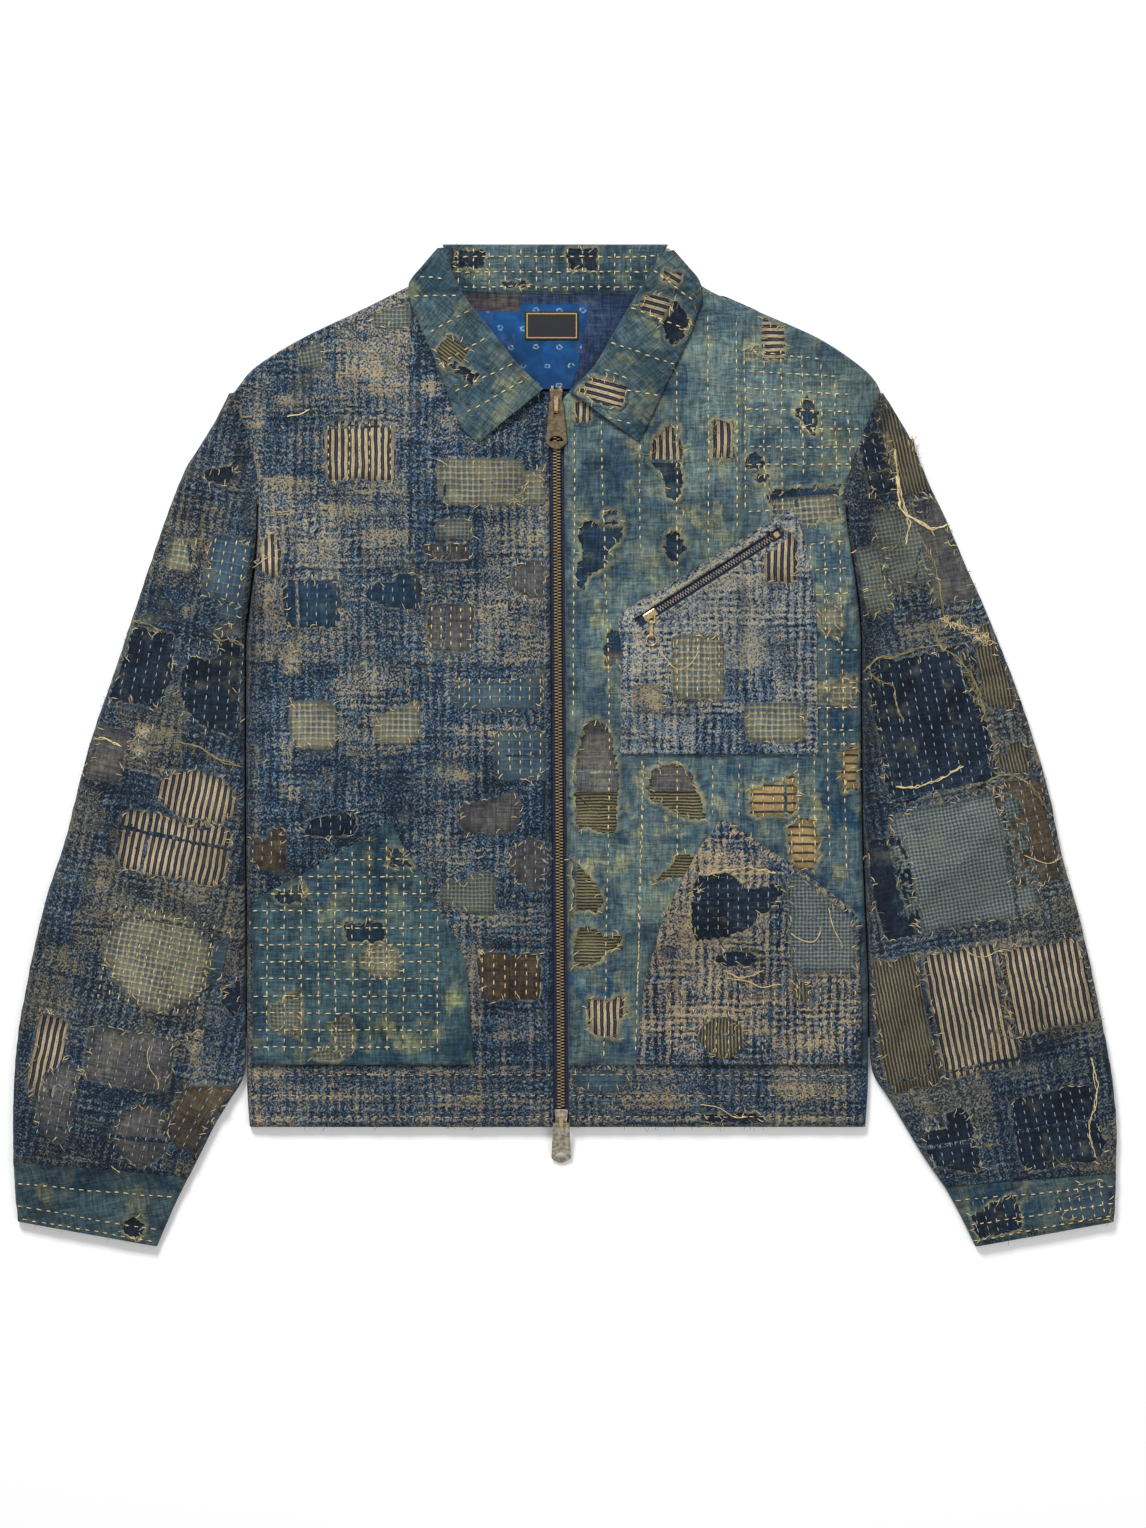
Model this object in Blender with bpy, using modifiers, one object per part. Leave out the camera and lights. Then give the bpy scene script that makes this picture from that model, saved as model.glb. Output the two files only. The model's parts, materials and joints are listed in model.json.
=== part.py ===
"""Patched boro jacket, zipped up and lying flat on its back.

Every panel is a thin wall of quilted cloth, worked out from sections across the panel. The jacket
rests on the plane z = 0, its hem runs along -Y and its collar along +Y. The wearer's left is +X.
Tables give places in millimetres; objects are built in metres.
"""

import math

import bmesh
import bpy
from mathutils import Vector

MM = 0.001

# Cloth and clearances
CLOTH = 2.6  # quilted layers of old cotton, stitched together
COLLAR_CLOTH = 2.4
POCKET_CLOTH = 2.0
LINING_CLOTH = 1.0
TAPE_CLOTH = 1.0
SEAM_GAP = 0.3  # between neighbouring pieces
LAY_GAP = 0.4  # between a piece and the panel it lies on

# Levels above the surface the jacket lies on
BACK_TOP = CLOTH
INSIDE_LEVEL = BACK_TOP + SEAM_GAP  # underside of the lining and the zip tapes
FRONT_LIE = 7.6  # usual height of the front panels' upper face
EDGE_LIFT = 0.3  # how far a rolled edge stops above the surface

# Body heights along Y
HEM_Y = -305.0
BAND_Y = -256.0  # seam between the hem band and the panels
NECK_SEAM_Y = 360.0
COLLAR_FOLD_Y = 400.5

# Front zip
ZIP_TOP = Vector((-7.0, 281.0))
ZIP_BOTTOM = Vector((-3.0, -305.0))
ZIP_OPENING = 12.0  # tape left uncovered between the front edges
CHAIN_WIDTH = 6.6
CHAIN_THICK = 2.6
TAPE_WIDTH = 11.0  # from the middle line to the sewn edge
TOP_SLIDER = (284.0, 270.0)  # nose, tail
BOTTOM_SLIDER = (-291.0, -307.0)

COLUMNS = 9  # spans across a front panel between its side roll and its zip edge

# Front panels, a row for each section: y, outer edge, inner edge, and how far the outer edge rolls
# down to the surface (1 where the side or shoulder folds under, 0 where the sleeve is sewn on).
# An inner edge of None is the edge along the zip.
FRONT_RIGHT = (
    # y, outer, inner, roll
    (-256.0, -254.4, None, 1.0),
    (-222.0, -254.4, None, 1.0),
    (-190.0, -254.4, None, 1.0),
    (-157.0, -254.4, None, 1.0),
    (-124.0, -254.4, None, 1.0),
    (-92.0, -254.7, None, 1.0),
    (-60.0, -255.0, None, 1.0),
    (-28.0, -255.0, None, 1.0),
    (4.0, -255.0, None, 1.0),
    (36.0, -255.0, None, 1.0),
    (60.0, -255.0, None, 1.0),
    (84.0, -254.6, None, 1.0),
    (116.0, -251.0, None, 1.0),
    (150.0, -246.8, None, 1.0),
    (180.0, -245.6, None, 1.0),
    (196.0, -245.6, None, 0.4),
    (212.0, -246.2, None, 0.0),
    (231.0, -249.8, None, 0.0),
    (250.0, -255.0, None, 0.0),
    (266.0, -261.5, None, 0.0),
    (277.5, -265.8, None, 0.0),
    (288.0, -260.4, -30.0, 0.5),
    (303.0, -246.4, -54.0, 1.0),
    (325.0, -210.4, -72.0, 1.0),
    (345.0, -168.8, -87.0, 1.0),
    (360.0, -138.5, -95.0, 1.0),
    (373.0, -112.0, -99.0, 1.0),
)
FRONT_LEFT = (
    # y, outer, inner, roll
    (-256.0, 242.4, None, 1.0),
    (-222.0, 242.4, None, 1.0),
    (-190.0, 242.2, None, 1.0),
    (-157.0, 240.8, None, 1.0),
    (-124.0, 239.4, None, 1.0),
    (-92.0, 238.2, None, 1.0),
    (-60.0, 237.4, None, 1.0),
    (-28.0, 237.0, None, 1.0),
    (4.0, 236.8, None, 1.0),
    (36.0, 236.8, None, 1.0),
    (60.0, 236.8, None, 1.0),
    (84.0, 236.6, None, 1.0),
    (116.0, 234.2, None, 1.0),
    (150.0, 229.6, None, 1.0),
    (180.0, 225.2, None, 1.0),
    (196.0, 224.8, None, 0.4),
    (212.0, 226.4, None, 0.0),
    (231.0, 232.4, None, 0.0),
    (250.0, 239.4, None, 0.0),
    (266.0, 246.2, None, 0.0),
    (277.5, 251.3, None, 0.0),
    (288.0, 250.4, 14.0, 0.5),
    (303.0, 236.0, 37.0, 1.0),
    (325.0, 203.0, 53.0, 1.0),
    (345.0, 158.0, 65.0, 1.0),
    (360.0, 122.0, 75.0, 1.0),
    (373.0, 100.0, 84.0, 1.0),
)

# How an edge rolls under: spans in from the outline, and drops below the panel's face
ROLL_SPANS = (0.0, 0.0, 1.3, 4.4)
FLAT_SPANS = (0.0, 1.5, 3.0, 4.4)
ROLL_DROPS = (None, 3.6, 1.0, 0.0)  # None reaches down to the surface

# Soft creases pressed into the fronts: from, to, half width, height
CREASES = (
    # x0, y0, x1, y1, half_width, height
    (-232.0, 176.0, -120.0, 92.0, 26.0, 0.6),
    (-205.0, -40.0, -70.0, -96.0, 24.0, 0.5),
    (215.0, 172.0, 214.0, 60.0, 22.0, 0.5),
    (60.0, 215.0, 160.0, 236.0, 24.0, 0.6),
    (-60.0, 150.0, -46.0, -20.0, 22.0, -0.5),
    (30.0, 10.0, 26.0, -190.0, 20.0, 0.5),
)

# Sleeves, a row for each ring from the armhole to the cuff seam: the ring's outer and inner edge,
# its height, and how far its middle bows towards the body
SLEEVE_RIGHT = (
    # outer_x, outer_y, inner_x, inner_y, height, bow
    (-268.7, 281.0, -246.3, 196.0, 7.8, 3.0),
    (-279.0, 260.0, -247.2, 164.0, 8.6, 3.2),
    (-291.0, 240.0, -251.0, 130.0, 9.0, 2.4),
    (-304.0, 219.0, -255.4, 95.0, 9.1, 1.2),
    (-316.0, 189.0, -255.9, 58.0, 9.2, 0.0),
    (-329.0, 152.0, -255.9, 20.0, 9.2, 0.0),
    (-345.0, 104.0, -255.9, -20.0, 9.0, 0.0),
    (-363.0, 50.0, -255.9, -62.0, 9.2, 0.0),
    (-377.5, 8.0, -255.6, -104.0, 8.8, 0.0),
    (-389.0, -34.0, -255.3, -146.0, 9.2, 0.0),
    (-400.0, -78.0, -255.2, -188.0, 8.8, 0.0),
    (-412.0, -114.0, -255.2, -226.0, 9.2, 0.0),
    (-422.0, -152.0, -256.0, -262.0, 9.0, 0.0),
    (-431.0, -196.0, -268.0, -284.0, 9.2, 0.0),
    (-437.5, -234.0, -279.5, -303.0, 8.8, 0.0),
    (-441.0, -284.0, -290.0, -324.0, 9.0, 0.0),
    (-441.0, -333.0, -300.5, -345.0, 8.2, 0.0),
)
SLEEVE_LEFT = (
    # outer_x, outer_y, inner_x, inner_y, height, bow
    (254.5, 281.0, 225.8, 196.0, 7.8, 3.4),
    (265.0, 264.0, 228.9, 164.0, 8.6, 3.4),
    (277.0, 243.0, 233.4, 130.0, 9.0, 2.4),
    (290.5, 210.0, 237.4, 97.0, 9.1, 1.2),
    (305.0, 179.0, 237.6, 62.0, 9.2, 0.0),
    (320.5, 143.0, 237.7, 24.0, 9.0, 0.0),
    (338.0, 103.0, 237.8, -16.0, 9.2, 0.0),
    (357.5, 54.0, 238.3, -58.0, 8.8, 0.0),
    (374.0, 6.0, 239.5, -100.0, 9.2, 0.0),
    (386.5, -38.0, 241.3, -142.0, 9.0, 0.0),
    (397.5, -90.0, 243.2, -186.0, 9.2, 0.0),
    (409.0, -130.0, 243.4, -226.0, 8.8, 0.0),
    (419.0, -172.0, 245.4, -260.0, 9.2, 0.0),
    (429.5, -222.0, 258.5, -282.0, 9.0, 0.0),
    (436.0, -258.0, 271.5, -304.0, 8.8, 0.0),
    (440.6, -300.0, 286.0, -328.0, 9.0, 0.0),
    (440.4, -342.0, 303.0, -352.5, 8.2, 0.0),
)
CUFF_RIGHT = (
    # outer_x, outer_y, inner_x, inner_y, height, bow
    (-441.0, -333.4, -300.8, -345.4, 8.0, 0.0),
    (-439.6, -357.0, -312.5, -369.0, 8.2, 0.0),
    (-437.6, -380.5, -326.0, -400.5, 7.4, 0.0),
)
CUFF_LEFT = (
    # outer_x, outer_y, inner_x, inner_y, height, bow
    (440.4, -342.6, 303.4, -353.2, 8.0, 0.0),
    (439.9, -362.0, 316.0, -376.0, 8.2, 0.0),
    (439.0, -381.0, 328.0, -400.8, 7.4, 0.0),
)
RING_TOP_SPANS = 8
RING_FLAT_SPANS = 4
RING_ARC_STEPS = 4  # over each half-round edge

# Patch pockets, a row for each section: y, left edge, right edge
POCKET_RIGHT = (
    (-255.0, -249.2, -72.4),
    (-224.0, -249.2, -74.6),
    (-193.0, -249.2, -77.0),
    (-165.0, -249.2, -82.5),
    (-128.0, -249.2, -102.7),
    (-105.0, -213.0, -112.8),
    (-80.0, -170.0, -129.5),
    (-61.5, -142.0, -138.6),
)
POCKET_LEFT = (
    (-255.0, 56.6, 236.6),
    (-224.0, 59.6, 236.6),
    (-193.0, 63.0, 236.2),
    (-165.0, 70.5, 235.0),
    (-138.0, 78.8, 233.6),
    (-103.0, 96.0, 192.6),
    (-80.0, 109.0, 158.0),
    (-60.5, 124.0, 128.5),
)
CHEST_POCKET = (
    (-7.0, 44.0, 202.3),
    (25.0, 44.2, 201.9),
    (55.0, 44.4, 201.4),
    (80.0, 44.6, 201.0),
    (104.0, 44.8, 200.6),
    (127.0, 81.2, 198.2),
    (150.0, 117.7, 193.8),
    (171.0, 151.0, 188.8),
    (188.0, 178.0, 182.4),
)
POCKET_SPANS = 7
POCKET_ZIP_FROM = Vector((58.0, 97.5))
POCKET_ZIP_TO = Vector((173.0, 170.3))
POCKET_SLOT = 9.4
POCKET_TAPE = 8.2
POCKET_CHAIN_WIDTH = 3.8

# Collar leaves, a row for each section from the neck corner to the point: the free edge and the fold
LEAF_RIGHT = (
    # edge_x, edge_y, fold_x, fold_y
    (-102.0, 396.5, -89.0, 396.5),
    (-113.5, 383.0, -90.8, 382.0),
    (-124.6, 368.5, -85.6, 368.0),
    (-123.0, 353.0, -78.4, 355.5),
    (-115.6, 334.0, -65.0, 338.5),
    (-106.4, 313.6, -51.5, 321.5),
    (-95.0, 284.0, -38.0, 304.5),
    (-83.0, 254.0, -26.6, 293.0),
    (-69.5, 241.2, -17.2, 284.0),
)
LEAF_LEFT = (
    # edge_x, edge_y, fold_x, fold_y
    (87.0, 395.0, 73.5, 391.5),
    (97.5, 383.0, 71.5, 381.0),
    (107.5, 370.5, 64.6, 371.0),
    (109.4, 356.0, 56.5, 358.5),
    (104.0, 339.0, 47.0, 342.5),
    (98.2, 323.0, 37.0, 325.5),
    (84.6, 296.0, 25.0, 305.0),
    (71.0, 266.0, 12.6, 291.0),
    (59.4, 241.8, 3.0, 281.9),
)
COLLAR_BACK = (
    # x along the fold, x along the neck seam
    (-98.0, -84.0),
    (-80.0, -68.0),
    (-48.0, -41.0),
    (-14.0, -13.0),
    (22.0, 15.0),
    (56.0, 40.0),
    (78.0, 56.0),
)
LINING = (
    # y, left edge, right edge
    (284.5, -44.0, 29.0),
    (305.0, -62.0, 46.0),
    (332.0, -84.0, 64.0),
    (359.6, -96.0, 78.0),
)
LABEL_CENTRE = Vector((-10.6, 335.0))
LABEL_SIZE = Vector((43.2, 23.0))
LABEL_THICK = 0.6

# Pull tabs, a row for each step down the tab from its hinge: distance, half width
TOP_TAB = ((-0.8, 5.6), (9.0, 6.3), (29.0, 8.4), (32.0, 8.3), (35.0, 5.2), (37.0, 1.4))
BOTTOM_TAB = ((-0.8, 6.6), (9.0, 6.9), (27.0, 7.8), (29.4, 7.6), (31.6, 4.6), (33.2, 1.0))
TAB_THICK = 1.2
TAB_SLOT = (0.8, 9.6, 2.2)  # from, to, half width
BAIL_WIDTH = 3.2
BAIL_THICK = 1.1
SLIDER_WIDTH = 11.0
SLIDER_TOP = 8.6
HINGE_Z = 10.1
TOP_HINGE_Y = 273.3
BOTTOM_HINGE_Y = -302.3
TOP_TAB_TILT = math.radians(2.6)
BOTTOM_TAB_TILT = math.radians(15.8)

# Chest pocket pull
RING_RADIUS = 4.2
RING_WIRE = 0.7
LINK_LENGTH = 10.0
LINK_WIDTH = 2.6
EYE_OUTER = 1.9
EYE_INNER = 1.1
LINK_WAIST = 1.4
PULL_X = 68.8
PULL_HINGE_Y = 97.6


def zip_x(y):
    """X of the zip's middle line at this height."""
    share = (y - ZIP_BOTTOM.y) / (ZIP_TOP.y - ZIP_BOTTOM.y)
    return ZIP_BOTTOM.x + share * (ZIP_TOP.x - ZIP_BOTTOM.x)


def front_top(x, y):
    """Height of the fronts' upper face: a broad swell and the pressed creases."""
    height = FRONT_LIE + 0.35 * math.sin(x / 47 + 1.1) * math.cos(y / 61) + 0.25 * math.sin((x + y) / 83)
    here = Vector((x, y))
    for x0, y0, x1, y1, half_width, lift in CREASES:
        start = Vector((x0, y0))
        along = Vector((x1, y1)) - start
        share = min(1.0, max(0.0, (here - start).dot(along) / along.length_squared))
        away = (here - start - along * share).length / half_width
        height += lift * math.exp(-away * away)
    return height


def metres(x, y, z):
    return Vector((x, y, z)) * MM


def material(name, colour, roughness=0.9, metallic=0.0):
    made = bpy.data.materials.get(name) or bpy.data.materials.new(name)
    made.use_nodes = True
    shader = made.node_tree.nodes["Principled BSDF"]
    shader.inputs["Base Color"].default_value = (*colour, 1.0)
    shader.inputs["Roughness"].default_value = roughness
    shader.inputs["Metallic"].default_value = metallic
    return made


def place(name, data, finish):
    """Adds the named piece to the jacket's collection with its finish."""
    data.materials.append(finish)
    piece = bpy.data.objects.new(name, data)
    jacket.objects.link(piece)
    return piece


def cloth(name, rows, thick, finish, closed=False):
    """A wall of cloth under (or inside) the surface through these rows of points."""
    bm = bmesh.new()
    grid = [[bm.verts.new(point) for point in row] for row in rows]
    for row, above in zip(grid, grid[1:]):
        spans = len(row) if closed else len(row) - 1
        for i in range(spans):
            j = (i + 1) % len(row)
            bm.faces.new((row[i], row[j], above[j], above[i]))
    for face in bm.faces:
        face.smooth = True
    data = bpy.data.meshes.new(name)
    bm.to_mesh(data)
    bm.free()
    piece = place(name, data, finish)
    wall = piece.modifiers.new("Wall", "SOLIDIFY")
    wall.thickness = thick * MM
    wall.offset = -1.0
    wall.use_even_offset = True
    return piece


def rolled_row(y, outer, inner, roll, lean):
    """One section of a front panel, from its outer edge, which may roll under, to its inner edge."""
    inwards = 1.0 if inner > outer else -1.0
    points = []
    for rolled, flat, drop in zip(ROLL_SPANS, FLAT_SPANS, ROLL_DROPS):
        x = outer + inwards * lean * (roll * rolled + (1 - roll) * flat)
        face = front_top(x, y)
        low = EDGE_LIFT if drop is None else face - drop
        points.append(metres(x, y, roll * low + (1 - roll) * face))
    crest = outer + inwards * lean * ROLL_SPANS[-1]
    for i in range(1, COLUMNS + 1):
        x = crest + (inner - crest) * i / COLUMNS
        points.append(metres(x, y, front_top(x, y)))
    return points if inwards > 0 else points[::-1]


def leans(table):
    """How much an outline leans off the Y direction at each of its rows, 1 where it runs along Y."""
    found = []
    for i in range(len(table)):
        before, after = table[max(i - 1, 0)], table[min(i + 1, len(table) - 1)]
        step = math.hypot(after[1] - before[1], after[0] - before[0])
        found.append(min(2.2, step / abs(after[0] - before[0])))
    return found


def front(name, table, side, finish):
    rows = []
    for (y, outer, inner, roll), lean in zip(table, leans(table)):
        if inner is None:
            inner = zip_x(y) + side * ZIP_OPENING / 2
        rows.append(rolled_row(max(y, BAND_Y + SEAM_GAP / 2), outer, inner, roll, lean))
    return cloth(name, rows, CLOTH, finish)


def hem_band_front(name, table, side, finish):
    """The front length of the hem band: five quilted rows, its lower corner drawn in a little."""
    outer = table[0][1]
    rows = []
    for share, drawn_in in ((0.0, 2.4), (0.25, 1.0), (0.5, 0.2), (0.75, 0.0), (1.0, 0.0)):
        y = HEM_Y + share * (BAND_Y - SEAM_GAP / 2 - HEM_Y)
        inner = zip_x(y) + side * ZIP_OPENING / 2
        rows.append(rolled_row(y, outer - side * drawn_in, inner, 1.0, 1.0))
    return cloth(name, rows, CLOTH, finish)


def flat_rows(table, spans, height):
    """Rows of points across a table of (y, left, right) sections, at a height given by (x, y)."""
    rows = []
    for y, left, right in table:
        xs = [left + (right - left) * i / spans for i in range(spans + 1)]
        rows.append([metres(x, y, height(x, y)) for x in xs])
    return rows


def back_sections():
    """The back under both fronts: inside their rolled edges, and level with them at the armholes."""
    table = []
    right_leans, left_leans = leans(FRONT_RIGHT), leans(FRONT_LEFT)
    for right, left, right_lean, left_lean in zip(FRONT_RIGHT, FRONT_LEFT, right_leans, left_leans):
        y = right[0]
        if y > NECK_SEAM_Y:
            break
        tuck = CLOTH + 2 * LAY_GAP if right[3] > 0.0 else 0.0
        y = min(max(y, BAND_Y + SEAM_GAP / 2), NECK_SEAM_Y - SEAM_GAP)
        table.append((y, right[1] + tuck * right_lean, left[1] - tuck * left_lean))
    return table


def hem_back_sections():
    tuck = CLOTH + LAY_GAP
    right, left = FRONT_RIGHT[0][1] + tuck, FRONT_LEFT[0][1] - tuck
    return (
        (HEM_Y, right + 2.4, left - 2.4),
        (HEM_Y + 24.0, right + 0.2, left - 0.2),
        (BAND_Y - SEAM_GAP / 2, right, left),
    )


def ring(outer, inner, height, bow):
    """A flattened ring between two edges: flat where it rests, half round at its edges."""
    across = inner - outer
    width = across.length
    across.normalize()
    towards_body = Vector((-across.y, across.x)) * (1.0 if across.x > 0 else -1.0)
    radius = height / 2
    places = []
    for i in range(RING_ARC_STEPS + 1):  # the outer edge, from the surface up
        turn = math.pi * i / RING_ARC_STEPS
        places.append((radius - radius * math.sin(turn), radius - radius * math.cos(turn)))
    for i in range(1, RING_TOP_SPANS):
        places.append((radius + (width - 2 * radius) * i / RING_TOP_SPANS, height))
    for i in range(RING_ARC_STEPS + 1):  # the inner edge, back down
        turn = math.pi * i / RING_ARC_STEPS
        places.append((width - radius + radius * math.sin(turn), radius + radius * math.cos(turn)))
    for i in range(1, RING_FLAT_SPANS):
        places.append((width - radius - (width - 2 * radius) * i / RING_FLAT_SPANS, 0.0))
    points = []
    for along, z in places:
        share = along / width
        spot = outer + across * along + towards_body * bow * 4 * share * (1 - share)
        points.append(metres(spot.x, spot.y, z))
    return points


def tube(name, table, finish):
    """A sleeve or cuff: an open tube of cloth through its rings."""
    rows = []
    for outer_x, outer_y, inner_x, inner_y, height, bow in table:
        points = ring(Vector((outer_x, outer_y)), Vector((inner_x, inner_y)), height, bow)
        rows.append(points if outer_x > 0 else points[::-1])
    return cloth(name, rows, CLOTH, finish, closed=True)


def leaf(name, table, finish):
    """A collar leaf: its fall lies on the front, rolls over at the fold and runs back underneath."""
    top = LAY_GAP + 2 * COLLAR_CLOTH + 1.6
    rows = []
    for edge_x, edge_y, fold_x, fold_y in table:
        edge, fold = Vector((edge_x, edge_y)), Vector((fold_x, fold_y))
        width = (fold - edge).length
        radius = min(3.4, 0.28 * width)
        reach = width - radius
        section = (
            (0.0, LAY_GAP + COLLAR_CLOTH),
            (0.22 * reach, LAY_GAP + COLLAR_CLOTH + 0.6),
            (0.48 * reach, top - 1.2),
            (0.75 * reach, top - 0.3),
            (reach, top),
            (reach + 0.7 * radius, 0.85 * top),
            (width, (top + LAY_GAP) / 2),
            (reach + 0.7 * radius, LAY_GAP + 0.15 * top),
            (reach, LAY_GAP),
            (0.62 * reach, LAY_GAP),
        )
        points = []
        for along, lift in section:
            spot = edge.lerp(fold, along / width)
            points.append(metres(spot.x, spot.y, front_top(spot.x, spot.y) + lift))
        rows.append(points)
    rows = rows if table[0][0] > 0 else [row[::-1] for row in rows]
    return cloth(name, rows, COLLAR_CLOTH, finish)


def collar_back(finish):
    """The back of the collar: its inner face shows above the neck seam, the fall is folded under."""
    top = 2 * COLLAR_CLOTH + 1.4
    reach = COLLAR_FOLD_Y - NECK_SEAM_Y - SEAM_GAP
    section = (
        # share from the neck seam to the fold, height
        (0.0, INSIDE_LEVEL + COLLAR_CLOTH - 0.4),
        (0.35, top - 0.3),
        (0.7, top),
        (0.91, top),
        (0.975, 0.82 * top),
        (1.0, 0.5 * top),
        (0.975, 0.18 * top),
        (0.91, 0.0),
        (0.5, 0.0),
        (0.14, 0.0),
    )
    rows = []
    for fold_x, seam_x in COLLAR_BACK:
        points = []
        for share, z in section:
            x = seam_x + (fold_x - seam_x) * share
            points.append(metres(x, NECK_SEAM_Y + SEAM_GAP + reach * share, z))
        rows.append(points[::-1])
    return cloth("collar_back", rows, COLLAR_CLOTH, finish)


def block(name, corners, low, high, finish):
    """A low block of this outline between two heights."""
    bm = bmesh.new()
    face = bm.faces.new([bm.verts.new(metres(x, y, low)) for x, y in corners])
    raised = bmesh.ops.extrude_face_region(bm, geom=[face])["geom"]
    bmesh.ops.translate(
        bm, vec=(0.0, 0.0, (high - low) * MM), verts=[v for v in raised if isinstance(v, bmesh.types.BMVert)]
    )
    bmesh.ops.recalc_face_normals(bm, faces=bm.faces)
    data = bpy.data.meshes.new(name)
    bm.to_mesh(data)
    bm.free()
    return place(name, data, finish)


def strip_corners(start, end, half_width, shift=0.0):
    """Corners of a straight strip between two points, shifted sideways."""
    side = (end - start).normalized()
    side = Vector((-side.y, side.x))
    return [
        start + side * (shift - half_width),
        end + side * (shift - half_width),
        end + side * (shift + half_width),
        start + side * (shift + half_width),
    ]


def flat_curve(name, outlines, thick, finish):
    """A flat plate of this outline, holes and all, in its own XY plane."""
    curve = bpy.data.curves.new(name, "CURVE")
    curve.dimensions = "2D"
    curve.fill_mode = "BOTH"
    curve.extrude = thick / 2 * MM
    for outline in outlines:
        spline = curve.splines.new("POLY")
        spline.points.add(len(outline) - 1)
        for point, (x, y) in zip(spline.points, outline):
            point.co = (x * MM, y * MM, 0.0, 1.0)
        spline.use_cyclic_u = True
    return place(name, curve, finish)


def circle(x, y, radius, steps=16):
    turns = [2 * math.pi * i / steps for i in range(steps)]
    return [(x + radius * math.cos(turn), y + radius * math.sin(turn)) for turn in turns]


def pull_tab(name, table, hole_from, hole_half, finish):
    """A stamped tab that hangs from its hinge at the origin: a slot for the bail, a half-moon hole."""
    right = [(half, -down) for down, half in table]
    outline = right + [(-x, y) for x, y in reversed(right)]
    slot_from, slot_to, slot_half = TAB_SLOT
    slot = [
        (-slot_half, -slot_from),
        (-slot_half, -slot_to),
        (slot_half, -slot_to),
        (slot_half, -slot_from),
    ]
    turns = [math.pi * i / 8 for i in range(9)]
    moon = [(hole_half * math.cos(turn), -hole_from - 4.4 + 4.4 * math.sin(turn)) for turn in turns]
    return flat_curve(name, (outline, slot, moon), TAB_THICK, finish)


def bail(name, hinge_y, ahead, behind, finish):
    """The brass loop on a slider that the tab's bar hangs in, as a bent strap along the zip."""
    foot, crown = SLIDER_TOP + SEAM_GAP - HINGE_Z, 2.4
    inner_crown = crown - BAIL_THICK
    outer = [
        (ahead, foot),
        (ahead, 0.9),
        (ahead - 1.4, crown),
        (1.4 - behind, crown),
        (-behind, 0.9),
        (-behind, foot),
    ]
    inner = [
        (BAIL_THICK - behind, foot),
        (BAIL_THICK - behind, 0.4),
        (1.9 - behind, inner_crown),
        (ahead - 1.9, inner_crown),
        (ahead - BAIL_THICK, 0.4),
        (ahead - BAIL_THICK, foot),
    ]
    piece = flat_curve(name, (outer + inner,), BAIL_WIDTH, finish)
    piece.rotation_euler = (math.pi / 2, 0.0, math.pi / 2)
    piece.location = metres(zip_x(hinge_y), hinge_y, HINGE_Z)
    return piece


def slider(name, nose_y, tail_y, tail_top, finish):
    """The body of a zip slider: wide at its nose, drawn in and sloped down at its tail."""
    bpy.ops.mesh.primitive_cube_add(size=1.0)
    piece = bpy.context.object
    piece.name = name
    low = INSIDE_LEVEL + TAPE_CLOTH + SEAM_GAP
    bm = bmesh.new()
    bm.from_mesh(piece.data)
    for vert in bm.verts:
        at_nose = vert.co.y > 0
        half = SLIDER_WIDTH / 2 if at_nose else CHAIN_WIDTH / 2 + 0.8
        y = nose_y if at_nose else tail_y
        top = SLIDER_TOP if at_nose else tail_top
        x = zip_x(y) + (half if vert.co.x > 0 else -half)
        vert.co = metres(x, y, top if vert.co.z > 0 else low)
    bmesh.ops.recalc_face_normals(bm, faces=bm.faces)
    bm.to_mesh(piece.data)
    bm.free()
    piece.data.materials.append(finish)
    for collection in piece.users_collection:
        collection.objects.unlink(piece)
    jacket.objects.link(piece)
    rounded = piece.modifiers.new("Rounded", "BEVEL")
    rounded.width = 0.8 * MM
    rounded.segments = 2
    return piece


for leftover in list(bpy.data.objects):
    bpy.data.objects.remove(leftover, do_unlink=True)
jacket = bpy.data.collections.new("patched_boro_jacket")
cutters = bpy.data.collections.new("cutters")
bpy.context.scene.collection.children.link(jacket)
bpy.context.scene.collection.children.link(cutters)

indigo = material("indigo_slub", (0.10, 0.15, 0.22))
teal = material("teal_cotton", (0.08, 0.16, 0.19))
navy = material("navy_tape", (0.02, 0.025, 0.06), 0.8)
lining = material("blue_lining", (0.03, 0.12, 0.32), 0.8)
brass = material("brass", (0.42, 0.28, 0.10), 0.4, 1.0)
antique = material("antique_metal", (0.14, 0.12, 0.09), 0.45, 1.0)
woven = material("woven_label", (0.01, 0.01, 0.01), 0.8)

# Back and its hem band lie on the surface
cloth("back", flat_rows(back_sections(), 10, lambda x, y: BACK_TOP), CLOTH, indigo)
cloth("hem_band_back", flat_rows(hem_back_sections(), 10, lambda x, y: BACK_TOP), CLOTH, indigo)

# Fronts and their hem bands lie on the back and roll under at the sides and shoulders
front("front_right", FRONT_RIGHT, -1.0, indigo)
front("front_left", FRONT_LEFT, 1.0, teal)
hem_band_front("hem_band_right", FRONT_RIGHT, -1.0, indigo)
hem_band_front("hem_band_left", FRONT_LEFT, 1.0, indigo)

# Sleeves and cuffs are flattened tubes beside the body
tube("sleeve_right", SLEEVE_RIGHT, indigo)
tube("sleeve_left", SLEEVE_LEFT, indigo)
tube("cuff_right", CUFF_RIGHT, teal)
tube("cuff_left", CUFF_LEFT, teal)

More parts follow.
